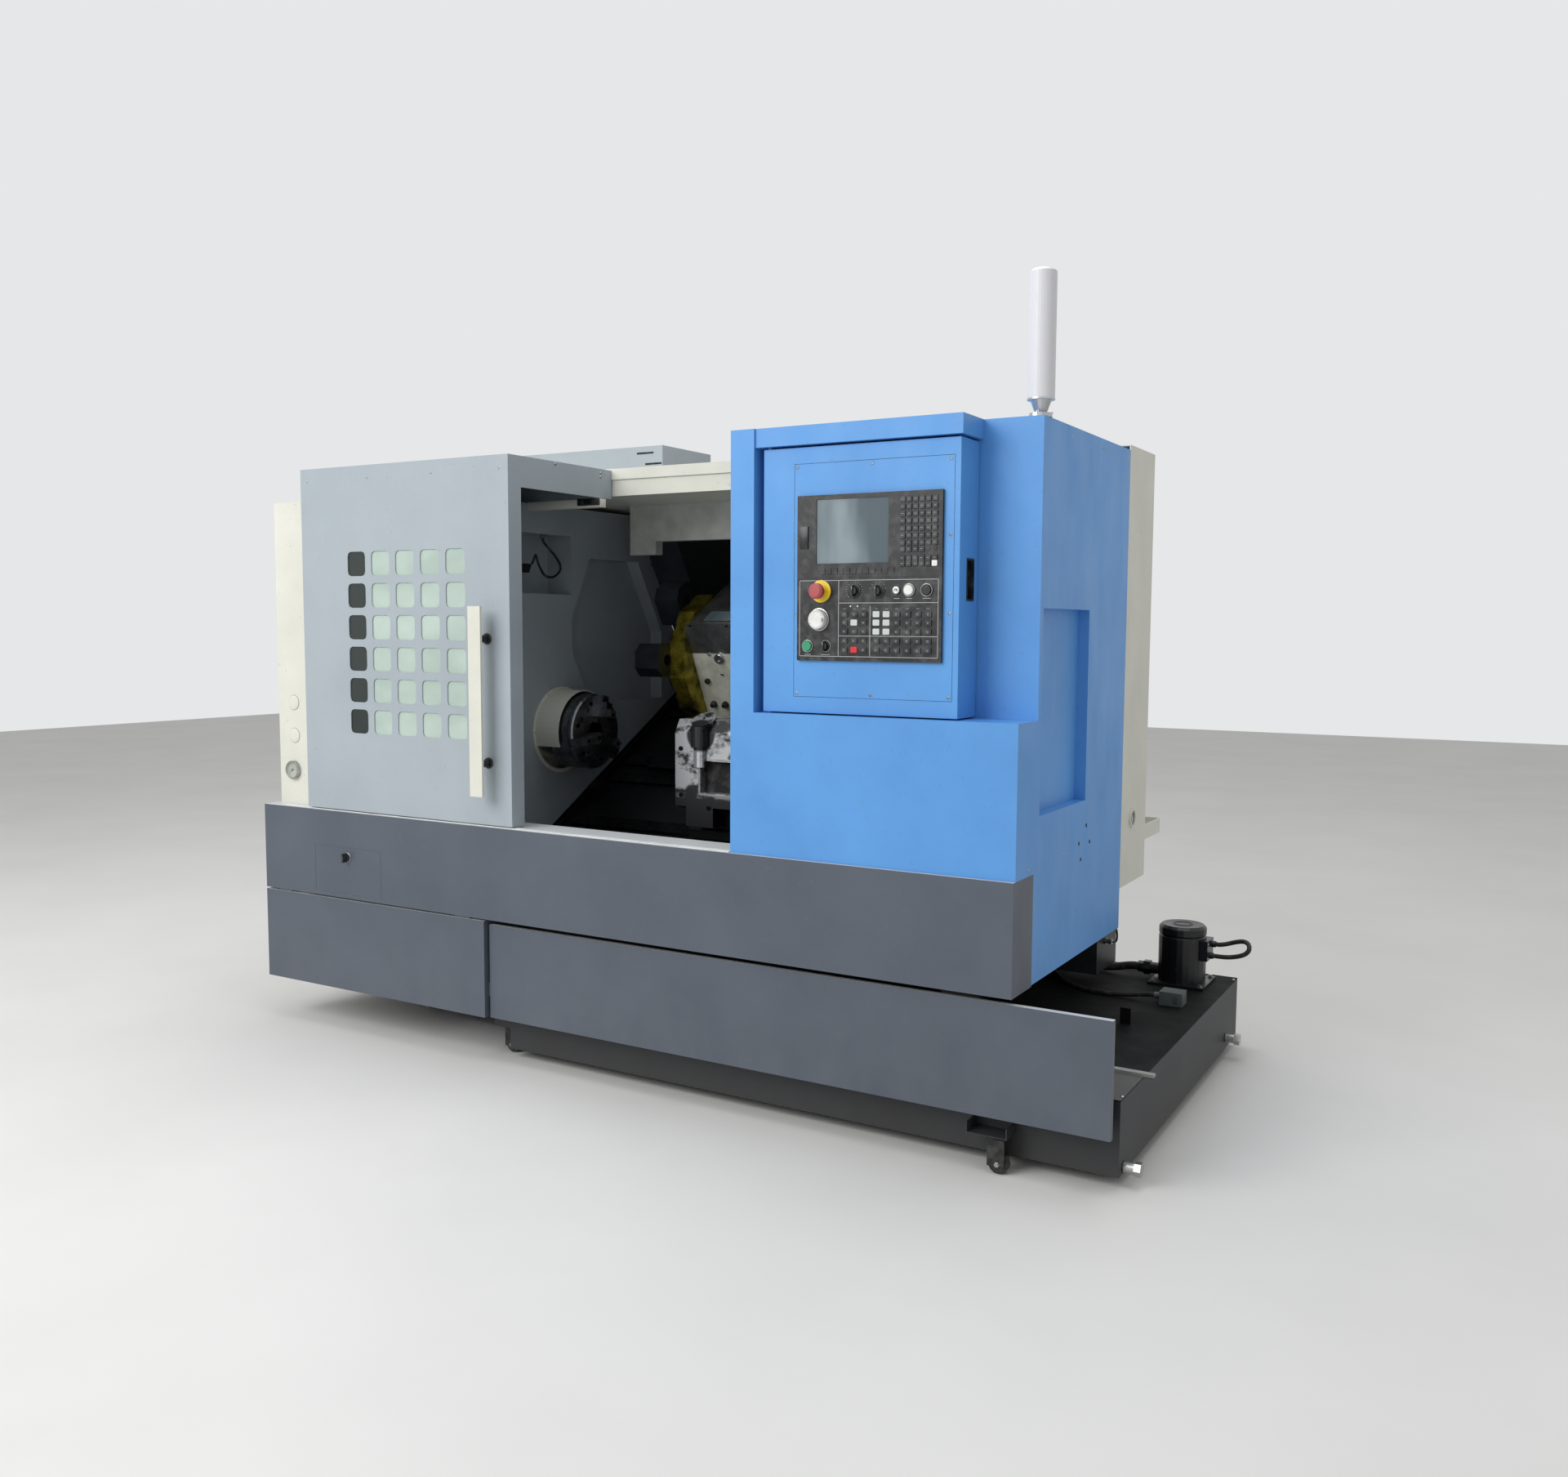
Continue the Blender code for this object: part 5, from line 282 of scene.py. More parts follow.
def make_metals():
    """Bare metal finishes."""
    ground_steel("ground_bright_steel", "B8BABC", "8F9090", 0.25, (0.05, 1, 1))
    ground_steel("turned_dark_steel", "7C7E82", "4A4C50", 0.30, (1, 0.3, 0.3))
    ground_steel("turned_aluminium", "C6C8CA", "AEB0B2", 0.28, (1, 1, 6))
    ground_steel("blackened_screw_steel", "26272A", "151618", 0.38)
    ground_steel("zinc_plated_steel", "B4B6B4", "8E9290", 0.32)
    # painted highlight: a near white, barely metallic sheet that makes the sill rails read brightly lit
    ground_steel("painted_highlight_sheet", "E6E8E8", "D2D5D6", 0.40, metallic=0.25)
    # ways are dark oily iron above the cover sheet, the casting below it is painted near black
    normal = (0, -math.sin(SLANT), math.cos(SLANT))
    foot = Vector(normal).dot(slant(0, 0, 0))
    two_finishes("bed_iron", normal, foot - 0.01, ("2B2D31", "1D1F22", 0.45, 0.0),
                 ("3C3D40", "222326", 0.24, 0.9), stretch=(0.05, 1, 1))
    # brushed sheet cover over a cream casting
    two_finishes("slide_casting", normal, foot + 0.424, ("D6D6C8", "A8A898", 0.50, 0.0),
                 ("A8AAAB", "7F8183", 0.32, 0.95), stretch=(1, 0.06, 0.06))
    # disc of yellow oiled steel, holders of blackened steel in front of it
    disc_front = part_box("turret_disc")[1].x - 0.0594
    two_finishes("turret_steel", RIGHT, disc_front, ("24272E", "15171B", 0.35, 0.4),
                 ("A89A34", "3C3710", 0.26, 0.85), soft=0.0006)
    tailstock_iron()
    powder_coat("headstock_enamel", "D4D4C8", "BDBDB0", 0.5)


def tailstock_iron():
    """Tailstock: black paint rubbed bright over most of its front, whole on the clamp's cap and low bracket."""
    tree, shader = begin("tailstock_iron")
    place = add(tree, "ShaderNodeTexCoord").outputs["Object"]
    height = add(tree, "ShaderNodeSeparateXYZ", {0: place}).outputs["Z"]
    away = add(tree, "ShaderNodeVectorMath", {0: place, 1: at(-1.195, 0.455, 0.985)}, operation="DISTANCE")
    bare = multiply(tree, spread(tree, away.outputs["Value"], 0.048, 0.056), spread(tree, height, 0.785, 0.800))
    rubbed = spread(tree, grain(tree, 0.055, (0.6, 1, 1), 7.0, 0.65), 0.43, 0.53)
    bare = multiply(tree, bare, rubbed)
    tree.links.new(blend(tree, bare, "141518", "C2C4C6"), shader.inputs["Base Color"])
    tree.links.new(spread(tree, bare, 0.0, 1.0, 0.0, 0.75), shader.inputs["Metallic"])
    tree.links.new(spread(tree, bare, 0.0, 1.0, 0.38, 0.30), shader.inputs["Roughness"])
    emboss(tree, shader, grain(tree, 6 * MM, (0.4, 1, 0.4), 2.0), 0.0002, 0.4)


def make_plastics():
    """Plastics, rubber, ink and glass."""
    moulded("black_moulded_abs", "17181B", 0.42)
    moulded("black_satin_panel_film", "131417", 0.35)
    moulded("white_moulded_abs", "EDEDEA", 0.35)
    moulded("red_moulded_abs", "B0484C", 0.40)
    moulded("switch_red_abs", "B3262B", 0.38)
    moulded("key_red_silicone", "D1202A", 0.45)
    moulded("black_key_silicone", "202226", 0.32)
    moulded("pale_key_silicone", "C9CFCC", 0.40)
    moulded("green_moulded_abs", "0E9A68", 0.30)
    moulded("yellow_moulded_abs", "F2CC0C", 0.40)
    moulded("grey_moulded_abs", "59615F", 0.45)
    moulded("white_ink", "C4C8C8", 0.50)
    moulded("nitrile_rubber", "131313", 0.70, 2 * MM)
    moulded("dark_slot", "07080A", 0.80)
    moulded("rust_stained_sealant", "B08A5C", 0.80)
    moulded("pale_gauge_card", "F2F0E8", 0.60)
    # laminated pane: slightly green, hazed by dried coolant
    tree, shader = begin("hazed_pane")
    haze = spread(tree, grain(tree, 0.12, detail=6.0), 0.3, 0.75, 0.10, 0.32)
    tree.links.new(haze, shader.inputs["Roughness"])
    # the pane is clear and tinted dark, as painted shade, as far as the dark strip behind its left edge, and milky
    # beyond it
    milky = beyond(tree, RIGHT, at(-2.135, 0, 0).x)
    milk = blend(tree, spread(tree, grain(tree, 0.25, (1, 1, 1.6)), 0.35, 0.65), "D2E4DA", "BFD2C8")
    tree.links.new(blend(tree, milky, "55625F", milk), shader.inputs["Base Color"])
    tree.links.new(spread(tree, milky, 0.0, 1.0, 0.75, 0.25), shader.inputs["Transmission Weight"])
    shader.inputs["IOR"].default_value = 1.50
    # clear polycarbonate over the gauge and the sight glass
    tree, shader = begin("clear_lens")
    tree.links.new(spread(tree, grain(tree, 0.02), 0.3, 0.7, 0.02, 0.08), shader.inputs["Roughness"])
    shader.inputs["Base Color"].default_value = colour("F6FAF8")
    shader.inputs["Transmission Weight"].default_value = 1.0
    shader.inputs["IOR"].default_value = 1.58
    # frosted acrylic: light spreads inside, so it never looks hollow
    tree, shader = begin("frosted_acrylic")
    tree.links.new(spread(tree, grain(tree, 0.03), 0.3, 0.7, 0.35, 0.5), shader.inputs["Roughness"])
    shader.inputs["Base Color"].default_value = colour("DCDCE0")
    shader.inputs["Subsurface Weight"].default_value = 0.25
    shader.inputs["Subsurface Radius"].default_value = (0.02, 0.02, 0.02)
    emboss(tree, shader, grain(tree, 1.5 * MM, detail=1.0), 0.00005, 0.3)
    # switched-off display behind a glossy protective film with a few creases
    tree, shader = begin("display_glass")
    place = add(tree, "ShaderNodeTexCoord").outputs["Object"]
    turned = add(tree, "ShaderNodeMapping", {"Vector": place, "Rotation": (0, 0.35, 0), "Scale": (3.5, 1, 1.2)})
    bands = add(tree, "ShaderNodeTexNoise", {"Vector": turned.outputs[0], "Scale": 1.6, "Detail": 3.0}).outputs[0]
    tree.links.new(blend(tree, spread(tree, bands, 0.46, 0.62), "56646A", "84949A"), shader.inputs["Base Color"])
    tree.links.new(spread(tree, bands, 0.4, 0.6, 0.08, 0.22), shader.inputs["Roughness"])
    emboss(tree, shader, bands, 0.002, 0.25)


NODE_FINISH = {
    "slate_powder_coat": "front_skirt skirt_flap lower_left_panel tank_front_panel",
    "pale_powder_coat": "sliding_door electrical_cabinet cabinet_door",
    "blue_powder_coat": "right_housing control_box",
    "cream_powder_coat": "left_cover chuck_guard top_frame door_handle rear_right_cover",
    "wall_powder_coat": "inner_left_wall",
    "black_oiled_coat": "way_cover spindle_motor saddle coolant_pump",
    "headstock_enamel": "headstock",
    "bed_iron": "bed_casting",
    "slide_casting": "cross_slide",
    "tailstock_iron": "tailstock",
    "turned_dark_steel": "chuck_body chuck_jaw_1 chuck_jaw_2 chuck_jaw_3 tailstock_quill",
    "ground_bright_steel": "spindle motor_pulley z_ball_screw",
    "turret_steel": "turret_disc",
    "hazed_pane": "door_window",
    "frosted_acrylic": "tower_lamp",
    "turned_aluminium": "lamp_post",
    "black_moulded_abs": "flap_latch power_button feed_knob mode_knob rapid_selector work_lamp cnc_unit",
    "black_satin_panel_film": "operator_panel",
    "white_moulded_abs": "hold_button handwheel",
    "red_moulded_abs": "estop_button",
    "switch_red_abs": "main_switch",
    "green_moulded_abs": "start_button",
    "grey_moulded_abs": "cable_connector",
    "nitrile_rubber": "drive_belt caster_front_right caster_front_left caster_rear_left caster_rear_right",
}


def make_split_finishes():
    """Finishes of sheets that are painted or left bare in different places."""
    # top guard is cream; the sloping sheet behind it is a grey coat darkened to slate as painted shade
    two_finishes("guard_coat", BACK, at(0, 0.846, 0).y, ("C9CBC4", "B4B7B1", 0.48, 0.0),
                 ("3A4048", "30353C", 0.5, 0.0))
    # the lid is painted, its push bar is bare bright steel
    tree, shader = begin("lid_coat")
    bar = multiply(tree, beyond(tree, FRONT, -at(0, 0.289, 0).y), beyond(tree, UP, 0.2178, 0.0004))
    dirt = spread(tree, grain(tree, 0.15, detail=6.0), 0.35, 0.7)
    skin = blend(tree, dirt, "050606", "0C0D0E")
    tree.links.new(blend(tree, bar, skin, "A9ABA4"), shader.inputs["Base Color"])
    tree.links.new(spread(tree, bar, 0.0, 1.0, 0.0, 0.8), shader.inputs["Metallic"])
    tree.links.new(spread(tree, dirt, 0.0, 1.0, 0.60, 0.80), shader.inputs["Roughness"])
    shader.inputs["Specular IOR Level"].default_value = 0.15
    emboss(tree, shader, grain(tree, 4 * MM), 0.0003, 0.4)


def make_tank_coat(paint):
    """Tank: near black paint with zinc plated drain plugs on its right end."""
    tree, shader = begin("tank_coat")
    plug = beyond(tree, RIGHT, at(0.2485, 0, 0).x, 0.0004)
    dirt = spread(tree, grain(tree, 0.15, detail=6.0), 0.35, 0.7)
    skin = blend(tree, dirt, paint.tank, "17191D")
    place = add(tree, "ShaderNodeTexCoord").outputs["Object"]
    height = add(tree, "ShaderNodeSeparateXYZ", {0: place}).outputs["Z"]
    skin = blend(tree, spread(tree, height, 0.16, 0.03, 0.0, 0.15), skin, "6A6660")
    tree.links.new(blend(tree, plug, skin, "B4B6B2"), shader.inputs["Base Color"])
    tree.links.new(plug, shader.inputs["Metallic"])
    tree.links.new(spread(tree, plug, 0.0, 1.0, 0.52, 0.30), shader.inputs["Roughness"])
    emboss(tree, shader, grain(tree, 5 * MM, detail=1.0), 0.00025, 0.35)


def finish_nodes():
    """Give every node of the frame its finish."""
    table = {name: mat for mat, names in NODE_FINISH.items() for name in names.split()}
    table["back_guard"] = "guard_coat"
    table["tank_lid"] = "lid_coat"
    table["coolant_tank"] = "tank_coat"
    for name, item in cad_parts.items():
        if name not in table:
            continue
        item.data.materials.clear()
        item.data.materials.append(materials[table[name]])


# ---------------------------------------------------------------- mesh tools

def turn_to(direction, origin):
    """Matrix that stands +Z along a direction at a place."""
    return Matrix.Translation(origin) @ Vector(direction).to_track_quat("Z", "Y").to_matrix().to_4x4()


def lathe(bm, profile, origin, direction, steps=24):
    """Turn (radius, height) points about a line; ends on the axis are closed."""
    place = turn_to(direction, origin)
    rings = []
    for radius, height in profile:
        if radius == 0:
            rings.append([bm.verts.new(place @ Vector((0, 0, height)))])
            continue
        ring = []
        for index in range(steps):
            angle = 2 * math.pi * index / steps
            ring.append(bm.verts.new(place @ Vector((radius * math.cos(angle), radius * math.sin(angle), height))))
        rings.append(ring)
    pairs = list(zip(rings, rings[1:]))
    if len(rings[0]) > 1 and len(rings[-1]) > 1:
        pairs.append((rings[-1], rings[0]))
    for low, high in pairs:
        for index in range(steps):
            after = (index + 1) % steps
            if len(low) == 1:
                bm.faces.new((low[0], high[index], high[after]))
            elif len(high) == 1:
                bm.faces.new((low[index], low[after], high[0]))
            else:
                bm.faces.new((low[index], low[after], high[after], high[index]))


def block(bm, low, high, soft=0.0):
    """A block between two places, with its edges eased by soft."""
    low, high = Vector(low), Vector(high)
    made = bmesh.ops.create_cube(bm, size=1)
    size = Matrix.Diagonal((*(high - low), 1))
    bmesh.ops.transform(bm, matrix=Matrix.Translation((low + high) / 2) @ size, verts=made["verts"])
    if soft:
        edges = {edge for vert in made["verts"] for edge in vert.link_edges}
        bmesh.ops.bevel(bm, geom=list(edges), offset=soft, segments=2, profile=0.5, affect="EDGES")


def slab(bm, outline, thick, origin, across, up):
    """Extrude a flat outline, given along across and up from origin, by thick along their normal."""
    across, up = Vector(across).normalized(), Vector(up).normalized()
    normal = across.cross(up)
    near = [bm.verts.new(origin + across * a + up * b) for a, b in outline]
    far = [bm.verts.new(vert.co + normal * thick) for vert in near]
    bm.faces.new(near)
    bm.faces.new(far[::-1])
    for index in range(len(near)):
        after = (index + 1) % len(near)
        bm.faces.new((near[index], far[index], far[after], near[after]))


def smooth_path(points, spacing):
    """Points at an even spacing on a smooth curve through a route."""
    route = [Vector(p) for p in points]
    ends = [2 * route[0] - route[1]] + route + [2 * route[-1] - route[-2]]
    fine = []
    for index in range(1, len(ends) - 2):
        a, b, c, d = ends[index - 1:index + 3]
        count = max(1, round((c - b).length / spacing))
        for step in range(count):
            t = step / count
            fine.append(0.5 * (2 * b + (c - a) * t + (2 * a - 5 * b + 4 * c - d) * t * t
                               + (3 * b - a - 3 * c + d) * t ** 3))
    fine.append(route[-1])
    return fine


def rod(bm, points, radius, steps=10):
    """Round bar along a path of places."""
    rings = []
    for index, point in enumerate(points):
        before, after = points[max(index - 1, 0)], points[min(index + 1, len(points) - 1)]
        place = turn_to(after - before, point)
        ring = []
        for side in range(steps):
            angle = 2 * math.pi * side / steps
            ring.append(bm.verts.new(place @ Vector((radius * math.cos(angle), radius * math.sin(angle), 0))))
        rings.append(ring)
    for low, high in zip(rings, rings[1:]):
        shift = min(range(steps), key=lambda s: sum((low[i].co - high[(i + s) % steps].co).length
                                                    for i in range(steps)))
        high[:] = high[shift:] + high[:shift]
        for side in range(steps):
            after = (side + 1) % steps
            bm.faces.new((low[side], low[after], high[after], high[side]))
    bm.faces.new(rings[0][::-1])
    bm.faces.new(rings[-1])


def socket_screw(bm, place, direction, radius, height, steps):
    """Cap screw with a socket in its head."""
    lathe(bm, [(0, height * 0.45), (radius * 0.5, height * 0.45), (radius * 0.5, height), (radius * 0.86, height),
               (radius, height * 0.84), (radius, 0), (0, 0)], place, direction, steps)


def dome_screw(bm, place, direction, radius, steps):
    """Low domed screw head with a small socket."""
    height = radius * 0.55
    lathe(bm, [(0, height * 0.3), (radius * 0.38, height * 0.3), (radius * 0.38, height), (radius * 0.66, height * 0.8),
               (radius, 0), (0, 0)], place, direction, steps)


def arc(radius, start, end, steps):
    """Flat points of an arc, angles in degrees."""
    out = []
    for index in range(steps + 1):
        angle = math.radians(start + (end - start) * index / steps)
        out.append((radius * math.cos(angle), radius * math.sin(angle)))
    return out


def round_rectangle(x0, z0, x1, z1, radius, steps=4):
    """Flat outline of a rectangle with round corners."""
    out = []
    for turn, (cx, cz) in enumerate(((x1 - radius, z1 - radius), (x0 + radius, z1 - radius),
                                     (x0 + radius, z0 + radius), (x1 - radius, z0 + radius))):
        out += [(cx + a, cz + b) for a, b in arc(radius, 90 * turn, 90 * turn + 90, steps)]
    return out


def piece(name, bm, body, finish, smooth=True):
    """Turn a mesh into a piece that rides on a body of the frame."""
    bmesh.ops.recalc_face_normals(bm, faces=bm.faces)
    mesh = bpy.data.meshes.new(name)
    bm.to_mesh(mesh)
    bm.free()
    item = bpy.data.objects.new(name, mesh)
    bpy.context.scene.collection.objects.link(item)
    mesh.materials.append(materials[finish])
    if smooth:
        mesh.shade_smooth()
        mesh.set_sharp_from_angle(angle=math.radians(32))
    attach(item, body)
    return item


def knurl(bm, place, direction, radius, height, teeth=36):
    """Ring whose side is cut into fine ridges."""
    matrix = turn_to(direction, place)
    low, high = [], []
    for index in range(2 * teeth):
        angle = math.pi * index / teeth
        reach = radius if index % 2 else radius * 0.975
        point = Vector((reach * math.cos(angle), reach * math.sin(angle), 0))
        low.append(bm.verts.new(matrix @ point))
        high.append(bm.verts.new(matrix @ (point + Vector((0, 0, height)))))
    inner = [(bm.verts.new(matrix @ Vector((radius * 0.86 * math.cos(math.pi * i / teeth),
                                            radius * 0.86 * math.sin(math.pi * i / teeth), height))),
              bm.verts.new(matrix @ Vector((radius * 0.86 * math.cos(math.pi * i / teeth),
                                            radius * 0.86 * math.sin(math.pi * i / teeth), 0))))
             for i in range(2 * teeth)]
    for index in range(2 * teeth):
        after = (index + 1) % (2 * teeth)
        bm.faces.new((low[index], low[after], high[after], high[index]))
        bm.faces.new((high[index], high[after], inner[after][0], inner[index][0]))
        bm.faces.new((inner[index][0], inner[after][0], inner[after][1], inner[index][1]))
        bm.faces.new((inner[index][1], inner[after][1], low[after], low[index]))


# ---------------------------------------------------------------- cords

CORDS = {
    "pump_cable": (0.007, "object", (
        (0.2033, 1.236, 0.345), (0.2133, 1.236, 0.345), (0.235, 1.236, 0.350), (0.262, 1.232, 0.360),
        (0.287, 1.226, 0.366), (0.303, 1.217, 0.361), (0.307, 1.209, 0.347), (0.297, 1.203, 0.333),
        (0.274, 1.202, 0.323), (0.245, 1.202, 0.317), (0.2133, 1.202, 0.316), (0.2033, 1.202, 0.316))),
    "sensor_cable": (0.007, "connector", (
        (0.0912, 0.952, 0.2374), (0.0812, 0.952, 0.2374), (0.060, 0.953, 0.2345), (0.020, 0.951, 0.2285),
        (-0.030, 0.9465, 0.2252), (-0.080, 0.946, 0.2250), (-0.130, 0.958, 0.2250), (-0.180, 0.990, 0.2250),
        (-0.215, 1.027, 0.2250), (-0.252, 1.078, 0.2250), (-0.290, 1.118, 0.2250), (-0.350, 1.140, 0.2250),
        (-0.420, 1.144, 0.2250), (-0.490, 1.140, 0.2250), (-0.560, 1.134, 0.2250), (-0.630, 1.130, 0.2250))),
    "coolant_hose": (0.0125, "fitting", (
        (-0.0298, 1.219, 0.250), (-0.0398, 1.219, 0.250), (-0.060, 1.219, 0.248), (-0.090, 1.220, 0.241),
        (-0.125, 1.221, 0.234), (-0.160, 1.223, 0.2310), (-0.210, 1.226, 0.2305), (-0.270, 1.228, 0.2305),
        (-0.340, 1.228, 0.2305), (-0.410, 1.225, 0.2305), (-0.480, 1.219, 0.2305), (-0.550, 1.210, 0.2305),
        (-0.620, 1.200, 0.2305))),
}


class LATHE_OT_cords(bpy.types.Operator):
    """Pump lead, level switch lead and coolant hose on the tank."""

    bl_idname = "lathe.cords"
    bl_label = "Cords"

    def execute(self, context):
        for name, (radius, end, points) in CORDS.items():
            places = [at(*p) for p in smooth_path(points, radius)]
            curve = bpy.data.curves.new(name + "_jacket", "CURVE")
            curve.dimensions = "3D"
            curve.bevel_depth = radius
            curve.bevel_resolution = 5
            curve.use_fill_caps = True
            curve.materials.append(materials["nitrile_rubber"])
            spline = curve.splines.new("POLY")
            spline.points.add(len(places) - 1)
            for point, place in zip(spline.points, places):
                point.co = (*place, 1)
            spline.use_smooth = True
            cord = bpy.data.objects.new(name + "_jacket", curve)
            context.scene.collection.objects.link(cord)
            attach(cord, "tank")
            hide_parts(name)
            if end != "object":
                bm = bmesh.new()
                way = (places[-1] - places[-2]).normalized()
                lathe(bm, [(0, 0), (radius * 1.25, 0), (radius * 1.25, radius * 1.6), (radius * 1.6, radius * 1.6),
                           (radius * 1.6, radius * 4), (radius * 0.9, radius * 4), (radius * 0.9, radius * 5),
                           (0, radius * 5)], places[-1] - way * radius, way, 12)
                tip = piece(name + "_end_fitting", bm, "tank", "zinc_plated_steel")
        return {"FINISHED"}


# ---------------------------------------------------------------- headstock end

class LATHE_OT_end_cover(bpy.types.Operator):
    """Pressure gauge and blank plugs on the headstock cover."""

    bl_idname = "lathe.end_cover"
    bl_label = "Gauge and plugs"

    def execute(self, context):
        gauge = at(-2.5315, 0.036, 0.8377)
        bm = bmesh.new()
        lathe(bm, [(0.0252, 0.0068), (0.0252, 0.0125), (0.0265, 0.0139), (0.0286, 0.0139), (0.0300, 0.0122),
                   (0.0300, GAP), (0.0286, GAP), (0.0286, 0.0068)], gauge, FRONT, 48)
        piece("gauge_bezel", bm, "frame", "zinc_plated_steel")
        bm = bmesh.new()
        lathe(bm, [(0, 0.0064), (0.0248, 0.0064), (0.0248, 0.0070), (0, 0.0070)], gauge, FRONT, 48)
        piece("gauge_card", bm, "frame", "pale_gauge_card", False)
        bm = bmesh.new()
        for index in range(25):
            angle = math.radians(225 - 270 * index / 24)
            reach = 0.0225 - (0.0042 if index % 4 == 0 else 0.0022)
            across = Vector((math.cos(angle), 0, math.sin(angle)))
            side = Vector((-across.z, 0, across.x))
            slab(bm, [(reach, -0.0003), (0.0226, -0.0003), (0.0226, 0.0003), (reach, 0.0003)], 0.0002,
                 gauge + Vector((0, -0.0071, 0)), across, side)
        hand = math.radians(215)
        across = Vector((math.cos(hand), 0, math.sin(hand)))
        slab(bm, [(-0.006, -0.0009), (0.019, -0.0003), (0.019, 0.0003), (-0.006, 0.0009)], 0.0004,
             gauge + Vector((0, -0.0080, 0)), across, Vector((-across.z, 0, across.x)))
        lathe(bm, [(0, 0.0075), (0.0024, 0.0075), (0.0024, 0.0092), (0, 0.0092)], gauge, FRONT, 16)
        piece("gauge_scale_and_hand", bm, "frame", "dark_slot", False)
        bm = bmesh.new()
        lathe(bm, [(0, 0.0106), (0.0249, 0.0106), (0.0249, 0.0118), (0, 0.0118)], gauge, FRONT, 48)
        piece("gauge_glass", bm, "frame", "clear_lens")
        plugs = [at(-2.527, 0.0360, z) for z in (1.061, 0.952)]
        bm = bmesh.new()
        for plug in plugs:
            lathe(bm, [(0, 0.0034), (0.0130, 0.0036), (0.0210, 0.0030), (0.0238, 0.0016), (0.0240, GAP),
                       (0, GAP)], plug, FRONT, 40)
        piece("blank_plugs", bm, "frame", "cream_powder_coat")
        bm = bmesh.new()
        for plug in plugs:
            lathe(bm, [(0.0241, 0.0001), (0.0252, 0.0001), (0.0252, 0.0005), (0.0241, 0.0005)], plug, FRONT, 48)
        piece("plug_seams", bm, "frame", "rust_stained_sealant", False)
        return {"FINISHED"}


class LATHE_OT_chuck_fittings(bpy.types.Operator):
    """Screws and rings of the chuck, screws of its jaws, and the screws of its guard."""

    bl_idname = "lathe.chuck_fittings"
    bl_label = "Chuck fittings"

    def execute(self, context):
        size = context.scene.lathe_fasteners
        face, y, z = -1.690, 0.57, 0.967
        centre = at(face, y, z)
        bm = bmesh.new()
        for index in range(6):
            place = centre + spoke(45 + 60 * index, 0.096, GAP)
            socket_screw(bm, place, RIGHT, size.large * 0.8, 0.003, size.sides)
        piece("chuck_face_screws", bm, "spindle", "blackened_screw_steel")
        bm = bmesh.new()
        radius = 0.1252
        for back, half in ((-0.018, 0.0007), (-0.074, 0.0005)):
            lathe(bm, [(radius, back - half), (radius + 0.0003, back - half), (radius + 0.0003, back + half),
                       (radius, back + half)], centre, RIGHT, 96)
        piece("chuck_turned_lines", bm, "spindle", "blackened_screw_steel")
        for number, turn in ((1, 195), (2, 315), (3, 75)):
            out = spoke(turn)
            bm = bmesh.new()
            # each top jaw is held by two cap screws sunk in its steps
            for reach in (0.058, 0.090):
                place = centre + out * reach
                place.x = jaw_front(number, out * reach + Vector((0, centre.y, centre.z))) + GAP
                socket_screw(bm, place, RIGHT, size.large * 0.72, 0.0022, size.sides)
            piece("jaw_screws_%d" % number, bm, "jaw_%d" % number, "blackened_screw_steel")
        bm = bmesh.new()
        for index in range(6):
            place = at(-1.8346, y, z) + spoke(60 * index, 0.1395)
            dome_screw(bm, place, RIGHT, size.small * 1.1, size.sides)
        dome_screw(bm, at(-1.8389, 1.093, 1.544), RIGHT, size.small * 1.6, size.sides)
        piece("chuck_guard_screws", bm, "frame", "zinc_plated_steel")
        return {"FINISHED"}


def jaw_front(number, place):
    """Front of a jaw over a place on the chuck's face."""
    hit, where, _ = cast("chuck_jaw_%d" % number, (place.x + 5, place.y, place.z), LEFT)
    if not hit:
        raise RuntimeError("no jaw under its screw")
    return where.x


class LATHE_OT_work_lamp_fittings(bpy.types.Operator):
    """Lens, lead and gland of the work lamp."""

    bl_idname = "lathe.work_lamp_fittings"
    bl_label = "Work lamp fittings"

    def execute(self, context):
        bm = bmesh.new()
        route = [(0.512, 1.6080), (0.514, 1.600), (0.532, 1.583), (0.572, 1.554), (0.600, 1.524), (0.596, 1.501),
                 (0.565, 1.482), (0.523, 1.485), (0.494, 1.515), (0.481, 1.541), (0.4765, 1.552)]
        places = [at(-1.862, *p) for p in route]
        _, entry, _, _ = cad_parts["work_lamp"].closest_point_on_mesh(places[-1])
        rod(bm, smooth_path(places + [entry + (places[-1] - entry).normalized() * GAP], 0.006), 0.0042, 10)
        piece("work_lamp_lead", bm, "frame", "nitrile_rubber")
        bm = bmesh.new()
        lathe(bm, [(0, 0), (0.011, 0), (0.011, 0.004), (0.009, 0.004), (0.009, 0.012), (0.006, 0.016), (0, 0.016)],
              at(-1.862, 0.512, 1.6228), DOWN, 12)
        piece("work_lamp_gland", bm, "frame", "grey_moulded_abs")
        bm = bmesh.new()
        low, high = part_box("work_lamp")
        block(bm, (low.x + 0.008, low.y + 0.008, low.z - 0.0022), (high.x - 0.008, high.y - 0.008, low.z - GAP),
              0.0008)
        piece("work_lamp_lens", bm, "frame", "frosted_acrylic")
        return {"FINISHED"}


# ---------------------------------------------------------------- work space

